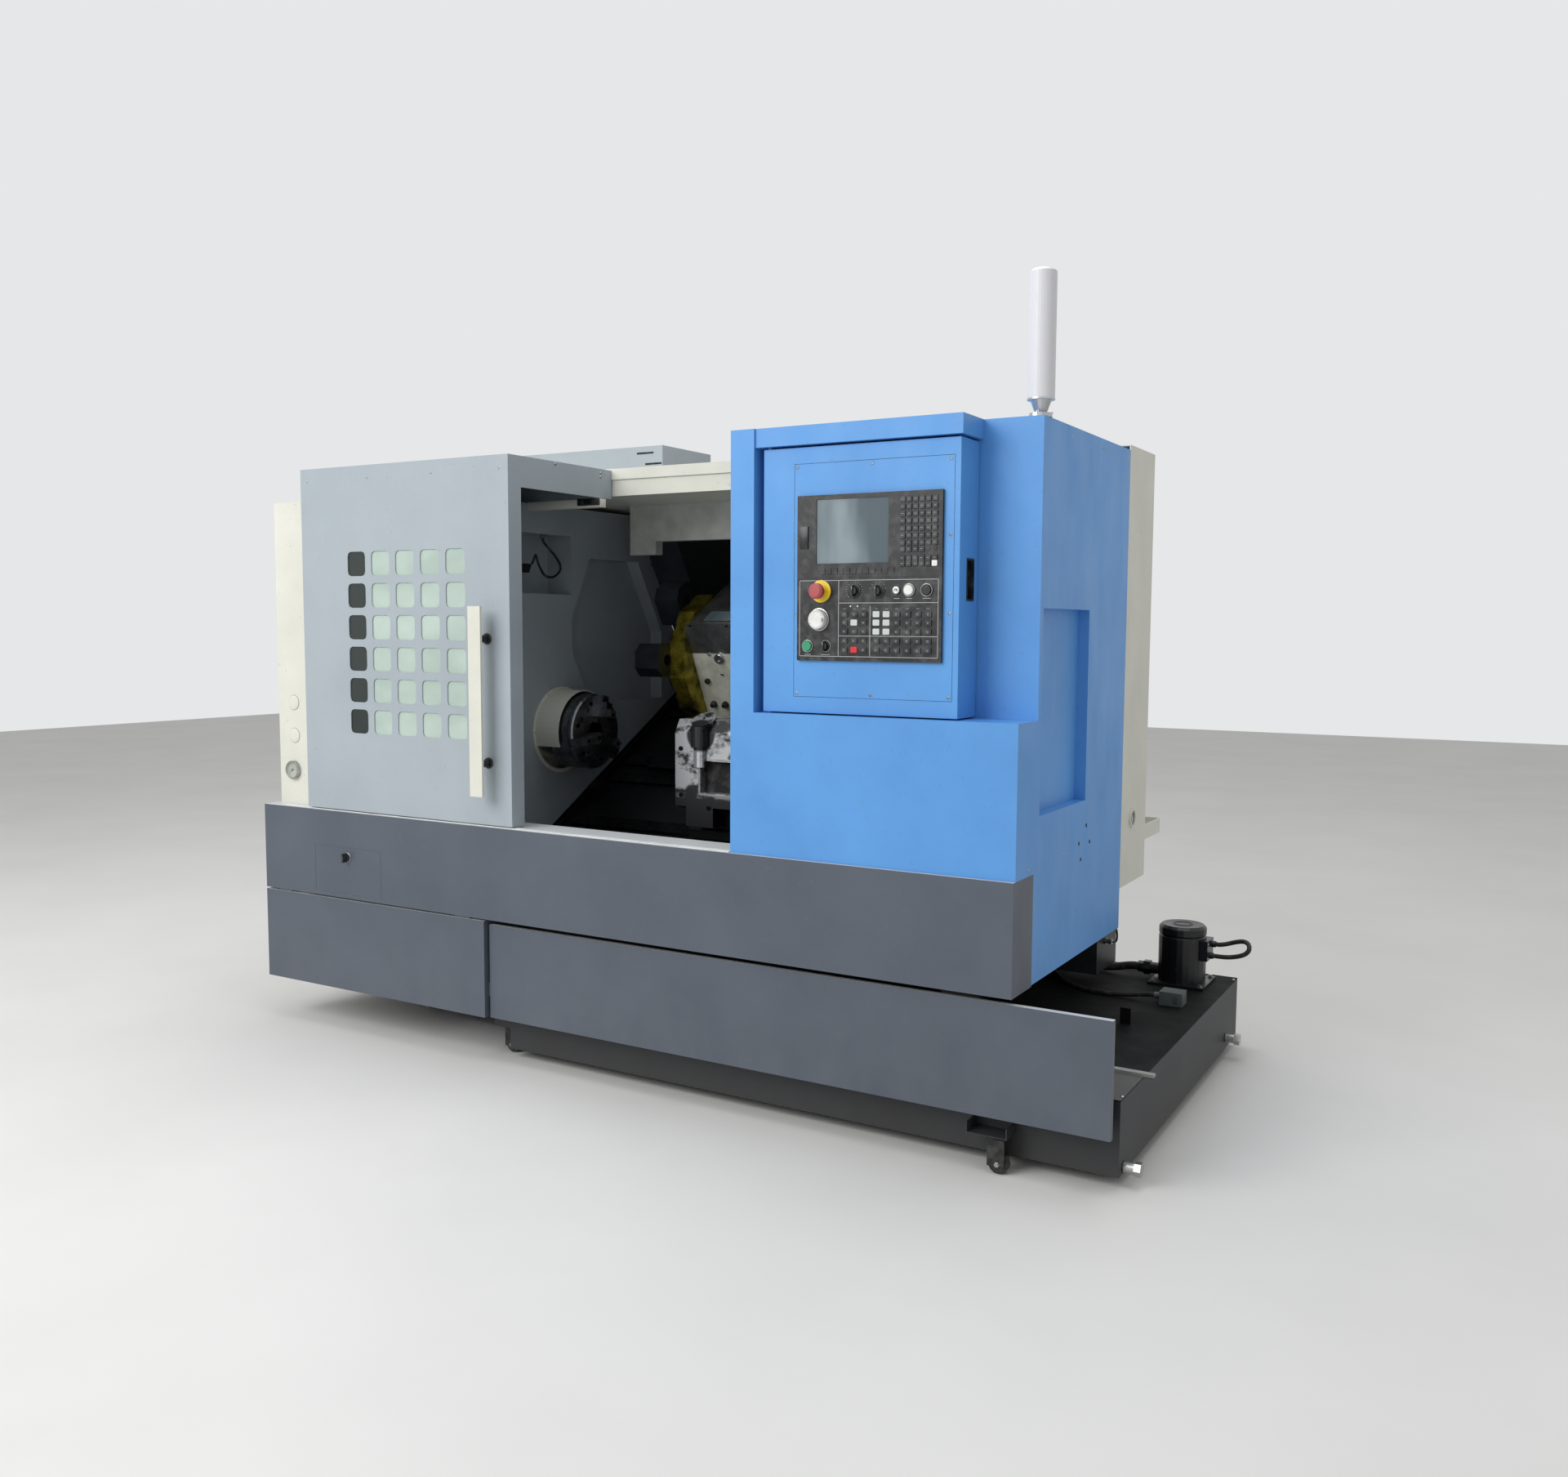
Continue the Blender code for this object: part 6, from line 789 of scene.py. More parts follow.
class LATHE_OT_turret_fittings(bpy.types.Operator):
    """Seats, wedge screws and holder screws of the turret."""

    bl_idname = "lathe.turret_fittings"
    bl_label = "Turret fittings"

    def execute(self, context):
        size = context.scene.lathe_fasteners
        y, z = 0.9071, 1.2058
        centre = at(-1.475, y, z)
        bm = bmesh.new()
        # a hardened seat key and its two screws stand by each of the twelve stations
        for index in range(12):
            if index in (6, 4):
                continue
            out = spoke(30 * index)
            side = Vector((0, -out.z, out.y))
            corners = [(-0.0075, 0.150), (0.0075, 0.150), (0.0095, 0.200), (-0.0095, 0.200)]
            slab(bm, corners, -0.007, centre + Vector((-GAP, 0, 0)), side, out)
        piece("turret_seat_keys", bm, "turret", "turned_dark_steel", False)
        bm = bmesh.new()
        for index in range(12):
            out = spoke(30 * index + 15)
            for reach in (0.132, 0.186):
                target = centre + out * reach
                hit, where, normal = cast("turret_disc", target - Vector((0.02, 0, 0)), RIGHT)
                if hit and normal.x < -0.99 and where.x < target.x + 0.005:
                    socket_screw(bm, where - Vector((GAP, 0, 0)), LEFT, size.large * 0.62, 0.0035, size.sides)
        for index in range(6):
            place = centre + spoke(60 * index + 30, 0.074, -0.0102)
            socket_screw(bm, place, LEFT, size.large * 0.7, 0.004, size.sides)
        lathe(bm, [(0, 0.0102), (0.046, 0.0102), (0.046, 0.0125), (0.040, 0.0135), (0.012, 0.0135), (0.010, 0.011),
                   (0, 0.011)], centre, LEFT, 40)
        piece("turret_screws", bm, "turret", "blackened_screw_steel")
        for name, turn in (("front", 180), ("top", 120)):
            out = spoke(turn)
            side = Vector((0, -out.z, out.y))
            bm = bmesh.new()
            # the bore's clamping screws stand on the holder's outer end
            for along in (-0.030, 0.030):
                for reach, share in ((0.275, 0.9), (0.180, 1.25)):
                    place = at(-1.563, y, z) + out * reach + side * along * share
                    socket_screw(bm, place + Vector((-GAP, 0, 0)), LEFT, size.large * 0.75, 0.004, size.sides)
            bore = at(-1.5632, y, z) + out * 0.233
            lathe(bm, [(0.0202, 0), (0.0202, 0.0006), (0.0235, 0.0006), (0.0240, 0)], bore, LEFT, 40)
            piece("holder_screws_" + name, bm, "turret", "zinc_plated_steel")
        return {"FINISHED"}


class LATHE_OT_slide_fittings(bpy.types.Operator):
    """Oil window, coolant couplings and screws on the cross slide."""

    bl_idname = "lathe.slide_fittings"
    bl_label = "Cross slide fittings"

    def execute(self, context):
        size = context.scene.lathe_fasteners
        along, up, out = Vector(RIGHT), slant(0, 1, 0) - slant(0, 0, 0), slant(0, 0, 1) - slant(0, 0, 0)
        bm = bmesh.new()
        middle = slant(-1.3097, 0.535, 0.5203)
        rim = round_rectangle(-0.062, -0.042, 0.062, 0.042, 0.006)
        hole = round_rectangle(-0.052, -0.032, 0.052, 0.032, 0.004)
        frame_slab(bm, rim, hole, 0.0016, middle, along, up)
        piece("oil_window_rim", bm, "cross_slide", "zinc_plated_steel", False)
        bm = bmesh.new()
        slab(bm, round_rectangle(-0.0518, -0.0318, 0.0518, 0.0318, 0.004), 0.0008, middle, along, up)
        piece("oil_window_glass", bm, "cross_slide", "display_glass", False)
        bm = bmesh.new()
        spots = {}
        for name, x, z in (("boss", -1.305, 1.2135), ("screw_a", -1.342, 1.226), ("screw_b", -1.31, 1.161),
                           ("knob", -1.373, 1.138), ("coupling_a", -1.372, 1.059), ("coupling_b", -1.326, 1.059)):
            hit, where, normal = cast("cross_slide", at(x, 0, z), BACK)
            if not hit:
                raise RuntimeError("no casting under a fitting")
            spots[name] = (where + normal * GAP, normal)
        place, normal = spots["boss"]
        lathe(bm, [(0, 0.004), (0.0085, 0.004), (0.0085, 0.009), (0.016, 0.009), (0.018, 0.007), (0.018, 0), (0, 0)],
              place, normal, 32)
        for name in ("screw_a", "screw_b"):
            socket_screw(bm, spots[name][0], spots[name][1], size.small * 1.6, 0.004, size.sides)
        piece("slide_boss", bm, "cross_slide", "zinc_plated_steel")
        bm = bmesh.new()
        place, normal = spots["knob"]
        lathe(bm, [(0, 0.012), (0.0075, 0.012), (0.010, 0.009), (0.010, 0.003), (0.007, 0), (0, 0)], place, normal, 20)
        for name in ("coupling_a", "coupling_b"):
            place, normal = spots[name]
            lathe(bm, [(0, 0.004), (0.0050, 0.004), (0.0050, 0.017), (0.0080, 0.017), (0.0088, 0.0155),
                       (0.0088, 0.009), (0.0115, 0.008), (0.0115, 0), (0, 0)], place, normal, 24)
        piece("slide_couplings", bm, "cross_slide", "nitrile_rubber")
        bm = bmesh.new()
        for x in (-1.392, -1.250, -1.108):
            for u in (0.470, 0.775):
                socket_screw(bm, slant(x, u, 0.5202), out, size.large * 0.6, 0.002, size.sides)
        piece("slide_cap_screws", bm, "cross_slide", "blackened_screw_steel")
        return {"FINISHED"}


def frame_slab(bm, outline, hole, thick, origin, across, up):
    """Flat ring between two outlines with the same number of points."""
    across, up = Vector(across).normalized(), Vector(up).normalized()
    normal = across.cross(up)
    loops = []
    for shape, lift in ((outline, 0), (hole, 0), (hole, thick), (outline, thick)):
        loops.append([bm.verts.new(origin + across * a + up * b + normal * lift) for a, b in shape])
    count = len(outline)
    for first, second in zip(loops, loops[1:] + loops[:1]):
        for index in range(count):
            after = (index + 1) % count
            bm.faces.new((first[index], first[after], second[after], second[index]))


class LATHE_OT_tailstock_fittings(bpy.types.Operator):
    """Cap bolts, window frame and quill nose ring of the tailstock."""

    bl_idname = "lathe.tailstock_fittings"
    bl_label = "Tailstock fittings"

    def execute(self, context):
        size = context.scene.lathe_fasteners
        bm = bmesh.new()
        for x, z in ((-1.268, 0.940), (-1.062, 0.940), (-1.268, 0.795), (-1.062, 0.795), (-1.165, 0.760)):
            hit, where, normal = cast("tailstock", at(x, 0, z), BACK)
            if hit:
                socket_screw(bm, where + normal * GAP, normal, size.large * 0.8, 0.004, size.sides)
        for index in range(3):
            angle = math.radians(90 + 120 * index)
            place = at(-1.195 + 0.026 * math.cos(angle), 0.2, 1.012 + 0.022 * math.sin(angle))
            hit, where, normal = cast("tailstock", place, BACK)
            if hit:
                socket_screw(bm, where + normal * GAP, normal, size.small * 1.1, 0.0025, size.sides)
        piece("tailstock_screws", bm, "tailstock", "blackened_screw_steel")
        bm = bmesh.new()
        frame_slab(bm, round_rectangle(-0.062, -0.058, 0.062, 0.058, 0.008), round_rectangle(
            -0.056, -0.052, 0.056, 0.052, 0.005), 0.0016, at(-1.140, 0.4598, 0.855), RIGHT, UP)
        piece("tailstock_window_rim", bm, "tailstock", "zinc_plated_steel", False)
        # painted shade: a dark sheet inside the window recess stands for the shade in it
        bm = bmesh.new()
        slab(bm, round_rectangle(-0.0545, -0.0495, 0.0545, 0.0495, 0.003), 0.001, at(-1.140, 0.4890, 0.855),
             RIGHT, UP)
        piece("tailstock_window_painted_shade", bm, "tailstock", "dark_slot", False)
        bm = bmesh.new()
        nose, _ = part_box("tailstock_quill")
        lathe(bm, [(0.0095, -0.0004), (0.0095, 0.0006), (0.0130, 0.0006), (0.0135, -0.0004)],
              Vector((nose.x - GAP, at(0, 0.57, 0).y, 0.967)), LEFT, 40)
        piece("quill_nose_ring", bm, "quill", "ground_bright_steel")
        return {"FINISHED"}


class LATHE_OT_guide_rail(bpy.types.Operator):
    """Door guide and its switch block under the roof."""

    bl_idname = "lathe.guide_rail"
    bl_label = "Guide rail"

    def execute(self, context):
        bm = bmesh.new()
        block(bm, at(-1.8385, 0.4105, 1.6900), at(-1.540, 0.4400, 1.7165), 0.0015)
        piece("door_guide", bm, "frame", "cream_powder_coat")
        bm = bmesh.new()
        block(bm, at(-1.626, 0.4020, 1.6960), at(-1.5405, 0.4102, 1.7180), 0.002)
        lathe(bm, [(0, 0), (0.006, 0), (0.006, 0.010), (0.004, 0.013), (0, 0.013)], at(-1.600, 0.4019, 1.707),
              FRONT, 16)
        piece("door_switch", bm, "frame", "black_moulded_abs")
        return {"FINISHED"}


# ---------------------------------------------------------------- door, roof and skirt

class LATHE_OT_door_fittings(bpy.types.Operator):
    """Dark strip of painted shade, hood screws and handle brackets of the sliding door."""

    bl_idname = "lathe.door_fittings"
    bl_label = "Door fittings"

    def execute(self, context):
        size = context.scene.lathe_fasteners
        bm = bmesh.new()
        # painted shade: a dark rubber strip behind the first column of cells stands for the shade seen through the
        # glass there
        block(bm, at(-2.2360, 0.0131, 0.965), at(-2.1375, 0.0136, 1.560))
        piece("door_painted_shade_strip", bm, "door", "nitrile_rubber", False)
        bm = bmesh.new()
        for y, z in ((0.4346, 1.7981), (0.4345, 1.7859), (0.2158, 1.8034)):
            dome_screw(bm, at(-1.5563, y, z), RIGHT, size.small * 1.3, size.sides)
        for x in (-2.40, -2.13, -1.86, -1.59):
            dome_screw(bm, at(x, 0.0053, 1.772), FRONT, size.small, size.sides)
        piece("hood_screws", bm, "door", "zinc_plated_steel")
        bm = bmesh.new()
        for z in (0.912, 1.279):
            place = at(-1.644, 0.0053, z)
            lathe(bm, [(0.0092, 0), (0.0165, 0), (0.0165, 0.004), (0.0145, 0.0055), (0.0092, 0.0055)], place,
                  FRONT, 24)
            lathe(bm, [(0.0092, 0.0060), (0.0104, 0.0060), (0.0108, 0.010), (0.0108, 0.046), (0.0102, 0.0477),
                       (0.0092, 0.0477)], place, FRONT, 24)
        piece("handle_brackets", bm, "door", "black_moulded_abs")
        return {"FINISHED"}


class LATHE_OT_skirt_fittings(bpy.types.Operator):
    """Bright sill rail and latch ring of the skirt."""

    bl_idname = "lathe.skirt_fittings"
    bl_label = "Skirt fittings"

    def execute(self, context):
        bm = bmesh.new()
        # the sill rails are near white, a painted highlight along the top of the skirt
        block(bm, at(-2.560, 0.0040, 0.7204), at(-0.800, 0.0140, 0.7232), 0.0006)
        block(bm, at(-2.560, 0.0180, 0.7204), at(-0.800, 0.0300, 0.7232), 0.0006)
        piece("sill_rails", bm, "frame", "painted_highlight_sheet")
        bm = bmesh.new()
        low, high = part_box("flap_latch")
        middle = (low + high) / 2
        lathe(bm, [(0.0125, 0), (0.0150, 0), (0.0150, 0.0012), (0.0140, 0.0018), (0.0125, 0.0018)],
              Vector((middle.x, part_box("skirt_flap")[0].y - 0.0001, middle.z)), FRONT, 32)
        piece("latch_ring", bm, "flap", "zinc_plated_steel")
        return {"FINISHED"}


class LATHE_OT_housing_fittings(bpy.types.Operator):
    """Side screws, lamp column base and the sight glass of the right housing."""

    bl_idname = "lathe.housing_fittings"
    bl_label = "Housing fittings"

    def execute(self, context):
        size = context.scene.lathe_fasteners
        bm = bmesh.new()
        for y, z in ((0.545, 0.789), (0.485, 0.747), (0.577, 0.740), (0.502, 0.702)):
            lathe(bm, [(0, 0.0006), (0.0050, 0.0006), (0.0056, 0), (0, 0)], at(GAP, y, z), RIGHT, 20)
        piece("housing_side_plugs", bm, "frame", "dark_slot", False)
        bm = bmesh.new()
        for y in (0.10, 0.36, 0.62, 0.85):
            for z in (1.800, 0.735):
                hit, where, _ = cast("right_housing", at(1, y, z), LEFT)
                if (y, z) != (0.62, 0.735) and hit and where.x > at(-0.001, 0, 0).x:
                    dome_screw(bm, where + Vector((GAP, 0, 0)), RIGHT, size.small, size.sides)
        piece("housing_side_screws", bm, "frame", "zinc_plated_steel")
        glass = at(0.0062, 0.982, 0.756)
        hit, where, _ = cast("rear_right_cover", glass + Vector((1, 0, 0.0178)), LEFT)
        if hit:
            glass.x = where.x + GAP
        bm = bmesh.new()
        lathe(bm, [(0.0150, 0), (0.0205, 0), (0.0205, 0.0022), (0.0190, 0.0034), (0.0150, 0.0034)], glass,
              RIGHT, 40)
        piece("sight_glass_ring", bm, "frame", "zinc_plated_steel")
        bm = bmesh.new()
        lathe(bm, [(0, GAP), (0.0146, GAP), (0.0146, 0.0016), (0.010, 0.0026), (0, 0.0030)], glass,
              RIGHT, 40)
        piece("sight_glass_lens", bm, "frame", "clear_lens")
        lamp_low, lamp_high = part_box("tower_lamp")
        column = Vector(((lamp_low.x + lamp_high.x) / 2, (lamp_low.y + lamp_high.y) / 2, 0))
        post_low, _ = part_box("lamp_post")
        bm = bmesh.new()
        for index in range(3):
            angle = math.radians(30 + 120 * index)
            place = column + Vector((0.027 * math.cos(angle), 0.027 * math.sin(angle), post_low.z + 0.0062))
            hit, where, _ = cast("lamp_post", place + Vector((0, 0, 0.2)), DOWN)
            if hit:
                socket_screw(bm, where + Vector((0, 0, GAP)), UP, 0.0032, 0.003, size.sides)
        radius = (lamp_high.x - lamp_low.x) / 2
        height = lamp_low.z + 0.0004
        lathe(bm, [(radius * 1.001, height), (radius * 1.02, height), (radius * 1.02, height + 0.004),
                   (radius * 1.001, height + 0.004)], column, UP, 48)
        piece("lamp_rings", bm, "frame", "turned_aluminium")
        bm = bmesh.new()
        # louvres of the cabinet's upper front and of its rear door
        for x0, x1, z in ((-1.963, -1.887, 1.965), (-1.925, -1.850, 1.924)):
            block(bm, at(x0, 1.1744, z - 0.0035), at(x1, 1.17485, z + 0.0035))
        piece("cabinet_slots", bm, "frame", "dark_slot", False)
        bm = bmesh.new()
        low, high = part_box("cabinet_door")
        for row in range(8):
            z = high.z - 0.16 - 0.022 * row
            for column_at in (0.25, 0.75):
                x = low.x + (high.x - low.x) * column_at
                slab(bm, [(-0.09, 0), (0.09, 0), (0.086, 0.006), (-0.086, 0.006)], -0.005,
                     Vector((x, high.y + GAP, z)), RIGHT, UP)
        piece("cabinet_louvres", bm, "cabinet_door", "pale_powder_coat", False)
        bm = bmesh.new()
        for z in (low.z + 0.12, (low.z + high.z) / 2, high.z - 0.12):
            lathe(bm, [(0, -0.03), (0.0055, -0.03), (0.0055, 0.03), (0, 0.03)], Vector((low.x + 0.008, high.y + 0.0058,
                                                                                       z)), UP, 16)
        piece("cabinet_hinges", bm, "cabinet_door", "zinc_plated_steel")
        return {"FINISHED"}


class LATHE_OT_bed_fittings(bpy.types.Operator):
    """Oil lines and valve at the rear corner of the bed."""

    bl_idname = "lathe.bed_fittings"
    bl_label = "Bed fittings"

    def execute(self, context):
        bm = bmesh.new()
        face = -0.0998
        for y, z in ((1.040, 0.420), (1.075, 0.352)):
            lathe(bm, [(0, 0), (0.010, 0), (0.010, 0.006), (0.0075, 0.006), (0.0075, 0.018), (0.0095, 0.018),
                       (0.0095, 0.024), (0, 0.024)], at(face, y, z), RIGHT, 24)
        start = at(face + 0.024, 1.040, 0.420)
        rod(bm, smooth_path([start, start + Vector((0.012, 0, 0)), start + Vector((0.020, 0.004, -0.012)),
                             start + Vector((0.020, 0.020, -0.045)), start + Vector((0.012, 0.035, -0.066)),
                             start + Vector((-0.001, 0.035, -0.068))], 0.005), 0.003, 8)
        piece("bed_oil_lines", bm, "frame", "zinc_plated_steel")
        return {"FINISHED"}


# ---------------------------------------------------------------- coolant tank

class LATHE_OT_tank_fittings(bpy.types.Operator):
    """Pump ribs, bolts, terminal box screws and connector lever on the tank."""

    bl_idname = "lathe.tank_fittings"
    bl_label = "Tank fittings"

    def execute(self, context):
        size = context.scene.lathe_fasteners
        pump = at(0.105, 1.219, 0)
        bm = bmesh.new()
        for index in range(28):
            angle = 2 * math.pi * index / 28
            if abs(math.degrees(angle)) < 32 or abs(math.degrees(angle) - 360) < 32:
                continue
            out = Vector((math.cos(angle), math.sin(angle), 0))
            side = Vector((-out.y, out.x, 0))
            hit, where, _ = cast("coolant_pump", pump + out * 0.3 + Vector((0, 0, 0.335)), -out)
            if not hit:
                continue
            reach = (where - pump).xy.length + GAP
            slab(bm, [(-0.0012, 0.300), (0.0012, 0.300), (0.0012, 0.366), (-0.0012, 0.366)], -0.0055,
                 pump + out * reach, side, UP)
        piece("pump_ribs", bm, "tank", "black_oiled_coat", False)
        bm = bmesh.new()
        for sx in (-1, 1):
            for sy in (-1, 1):
                lathe(bm, [(0, 0), (0.010, 0), (0.010, 0.0016), (0.0072, 0.0016), (0.0072, 0.0072), (0, 0.0072)],
                      pump + Vector((0.072 * sx, 0.072 * sy, 0.2262)), UP, 6)
        piece("pump_flange_bolts", bm, "tank", "zinc_plated_steel", False)
        bm = bmesh.new()
        for y in (1.188, 1.250):
            for z in (0.309, 0.353):
                dome_screw(bm, at(0.1902, y, z), RIGHT, size.small, size.sides)
        piece("terminal_box_screws", bm, "tank", "zinc_plated_steel")
        bm = bmesh.new()
        knurl(bm, pump + Vector((0, 0, 0.4022)), UP, 0.030, 0.0012, 18)
        piece("pump_cap_ring", bm, "tank", "black_moulded_abs", False)
        bm = bmesh.new()
        low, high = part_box("cable_connector")
        # hood lever over the connector's right end
        for y in (low.y - 0.0012, high.y + GAP):
            slab(bm, [(-0.006, -0.004), (0.006, -0.004), (0.004, 0.018), (-0.004, 0.018)], -0.001,
                 Vector((high.x - 0.018, y, (low.z + high.z) / 2 - 0.006)), RIGHT, UP)
        piece("connector_lever", bm, "tank", "zinc_plated_steel", False)
        bm = bmesh.new()
        low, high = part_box("tank_lid")
        for x in (low.x + 0.03, high.x - 0.03):
            for y in (low.y + 0.03, high.y - 0.03):
                hit, where, normal = cast("tank_lid", (x, y, high.z + 1), DOWN)
                if hit and normal.z > 0.99:
                    dome_screw(bm, where + Vector((0, 0, GAP)), UP, size.small * 1.3, size.sides)
        piece("lid_screws", bm, "tank", "zinc_plated_steel")
        return {"FINISHED"}


class LATHE_OT_caster_fittings(bpy.types.Operator):
    """Axle bolts and fork nuts of the casters."""

    bl_idname = "lathe.caster_fittings"
    bl_label = "Caster fittings"

    def execute(self, context):
        bodies = {"front_right": "caster_fr", "front_left": "caster_fl", "rear_left": "caster_rl",
                  "rear_right": "caster_rr"}
        for name, (x, y) in {"front_right": (-0.050, 0.030), "front_left": (-1.682, 0.130),
                             "rear_left": (-1.682, 1.303), "rear_right": (0, 1.403)}.items():
            bm = bmesh.new()
            for side in (-1, 1):
                lathe(bm, [(0, 0), (0.0070, 0), (0.0070, 0.0008), (0.0055, 0.0008), (0.0055, 0.0046), (0, 0.0046)],
                      at(x + 0.016, y + side * 0.0172, 0.025), (0, side, 0), 6)
            piece("caster_bolts_" + name, bm, bodies[name], "zinc_plated_steel", False)
        return {"FINISHED"}


# ---------------------------------------------------------------- control head

PANEL_LEFT, PANEL_LOW = -0.6035, 1.2340
PANEL_WIDE, PANEL_TALL = 0.400, 0.2089
UNIT_LOW, UNIT_TALL = 1.4432, 0.2058


# share across and share up of the controls that several pieces share
CONTROLS = {"feed_knob": (0.410, 0.841), "mode_knob": (0.572, 0.838), "rapid_selector": (0.208, 0.178),
            "handwheel": (0.163, 0.497), "lamp": (0.701, 0.839)}
# share across, share up, inner and outer radius of the bright rings round the controls
RINGS = ((0.785, 0.842, 0.0129, 0.0160), (0.902, 0.840, 0.0129, 0.0160), (0.080, 0.175, 0.0129, 0.0160),
         (*CONTROLS["rapid_selector"], 0.0128, 0.0150), (*CONTROLS["handwheel"], 0.0239, 0.0288),
         (*CONTROLS["lamp"], 0.0035, 0.0092))
# share across of the key columns and share up of the key rows
KEY_COLUMNS = (0.343, 0.411, 0.477, 0.565, 0.634, 0.703, 0.775, 0.845, 0.914)
KEY_ROWS = (0.561, 0.462, 0.356, 0.247, 0.138)
TICK_RADIUS = 0.0204


def panel_at(sx, sz, off=0.0):
    """A place on the operator panel by its shares of the width and height, off its face."""
    return at(PANEL_LEFT + PANEL_WIDE * sx, 0.0207 - off, PANEL_LOW + PANEL_TALL * sz)


def unit_at(sx, sz, off=0.0):
    """A place on the control unit by its shares of the width and height, off its face."""
    return at(PANEL_LEFT + PANEL_WIDE * sx, 0.0207 - off, UNIT_LOW + UNIT_TALL * sz)


def face_front(node, place):
    """The front of a node over a place, or the place itself where the node isn't there."""
    hit, where, _ = cast(node, (place.x, place.y - 1, place.z), BACK)
    return where if hit else place


def print_line(bm, start, end, width, ink):
    """Straight printed line on a panel that faces the front."""
    way = (end - start).normalized()
    side = Vector((-way.z, 0, way.x))
    length = (end - start).length
    slab(bm, [(-width / 2, -width / 2), (length + width / 2, -width / 2), (length + width / 2, width / 2),
              (-width / 2, width / 2)], -ink if way.cross(side).y > 0 else ink, start, way, side)


class LATHE_OT_control_frame(bpy.types.Operator):
    """Cover plate of the control box, its screws and the unit's screen, film and keys."""

    bl_idname = "lathe.control_frame"
    bl_label = "Control unit"

    def execute(self, context):
        size = context.scene.lathe_fasteners
        x0, x1, z0, z1 = -0.617, -0.177, 1.141, 1.730
        middle, tall = (x0 + x1) / 2, z1 - z0
        front = face_front("control_box", at(x0 + 0.004, 0.0, (z0 + z1) / 2))
        bm = bmesh.new()
        margin = 0.009
        places = [(x0 + margin, z1 - margin), (x1 - margin, z1 - margin), (x0 + margin, z0 + margin),
                  (x1 - margin, z0 + margin), (middle, z1 - margin), (middle, z0 + margin)]
        places += [(x0 + margin, z0 + tall * s) for s in (0.36, 0.68)]
        places += [(x1 - margin, z0 + tall * s) for s in (0.36, 0.68)]
        for x, z in places:
            spot = face_front("control_box", at(x, 0, z))
            dome_screw(bm, spot - Vector((0, GAP, 0)), FRONT, 0.0040, size.sides)
        piece("plate_screws", bm, "control_head", "zinc_plated_steel")
        bm = bmesh.new()
        corner = [Vector((at(x, 0, 0).x, front.y - GAP, z)) for x, z in ((x0, z0), (x1, z0), (x1, z1), (x0, z1))]
        for start, end in zip(corner, corner[1:] + corner[:1]):
            print_line(bm, start, end, 0.0008, 0.0001)
        piece("plate_seam", bm, "control_head", "dark_slot", False)
        bm = bmesh.new()
        grip = at(-0.1618, 0.0950, 1.4352)
        frame_slab(bm, round_rectangle(-0.0225, -0.0515, 0.0225, 0.0515, 0.004), round_rectangle(
            -0.0185, -0.0475, 0.0185, 0.0475, 0.003), 0.0014, grip, BACK, UP)
        slab(bm, round_rectangle(-0.0195, -0.0485, 0.0195, 0.0485, 0.003), 0.0010, grip - Vector((0.0196, 0, 0)),
             BACK, UP)
        frame_slab(bm, round_rectangle(-0.0203, -0.0493, 0.0203, 0.0493, 0.001), round_rectangle(
            -0.0185, -0.0475, 0.0185, 0.0475, 0.003), -0.0180, grip - Vector((0.0004, 0, 0)), BACK, UP)
        piece("grip_liner", bm, "control_head", "black_moulded_abs", False)
        # switched-off display, sunk behind a bezel, with the delivery film over it
        bm = bmesh.new()
        outer = [(unit_at(sx, sz) - unit_at(0, 0)) for sx, sz in ((0.090, 0.105), (0.694, 0.965))]
        inner = [(unit_at(sx, sz) - unit_at(0, 0)) for sx, sz in ((0.137, 0.168), (0.641, 0.945))]
        spot = face_front("cnc_unit", unit_at(0.4, 0.5))
        origin = Vector((unit_at(0, 0).x, spot.y - GAP, unit_at(0, 0).z))
        frame_slab(bm, round_rectangle(outer[0].x, outer[0].z, outer[1].x, outer[1].z, 0.004),
                   round_rectangle(inner[0].x, inner[0].z, inner[1].x, inner[1].z, 0.002), 0.0012, origin,
                   RIGHT, UP)
        piece("display_bezel", bm, "control_head", "black_satin_panel_film", False)
        bm = bmesh.new()
        slab(bm, round_rectangle(inner[0].x + GAP, inner[0].z + GAP, inner[1].x - GAP, inner[1].z - GAP,
                                 0.002), 0.0005, origin, RIGHT, UP)
        piece("display", bm, "control_head", "display_glass", False)
        bm = bmesh.new()
        for index in range(12):
            sx = 0.187 + (0.668 - 0.187) * index / 11
            key_cap(bm, unit_at(sx, 0.058), 0.0125, 0.0095, "cnc_unit")
        piece("soft_keys", bm, "control_head", "black_key_silicone")
        bm = bmesh.new()
        legends = bmesh.new()
        pale = bmesh.new()
        for column, sx in enumerate((0.737, 0.780, 0.823, 0.866, 0.909, 0.952)):
            for row, sz in enumerate((0.905, 0.820, 0.735, 0.650, 0.565, 0.480, 0.395, 0.320, 0.215, 0.150)):
                if row == 7 and column > 3:
                    continue
                target = pale if (row, column) == (9, 5) else bm
                key_cap(target, unit_at(sx, sz), 0.0142, 0.0140, "cnc_unit")
                mark(legends, unit_at(sx, sz), 0.0042, "cnc_unit", 0.0017)
        piece("unit_keys", bm, "control_head", "black_key_silicone")
        piece("unit_pale_key", pale, "control_head", "white_moulded_abs")
        piece("unit_key_marks", legends, "control_head", "white_ink", False)
        bm = bmesh.new()
        low, high = unit_at(0.020, 0.356), unit_at(0.080, 0.625)
        spot = face_front("cnc_unit", (low + high) / 2)
        block(bm, (low.x, spot.y - 0.0016, low.z), (high.x, spot.y - GAP, high.z), 0.0005)
        piece("card_cover", bm, "control_head", "black_key_silicone")
        return {"FINISHED"}


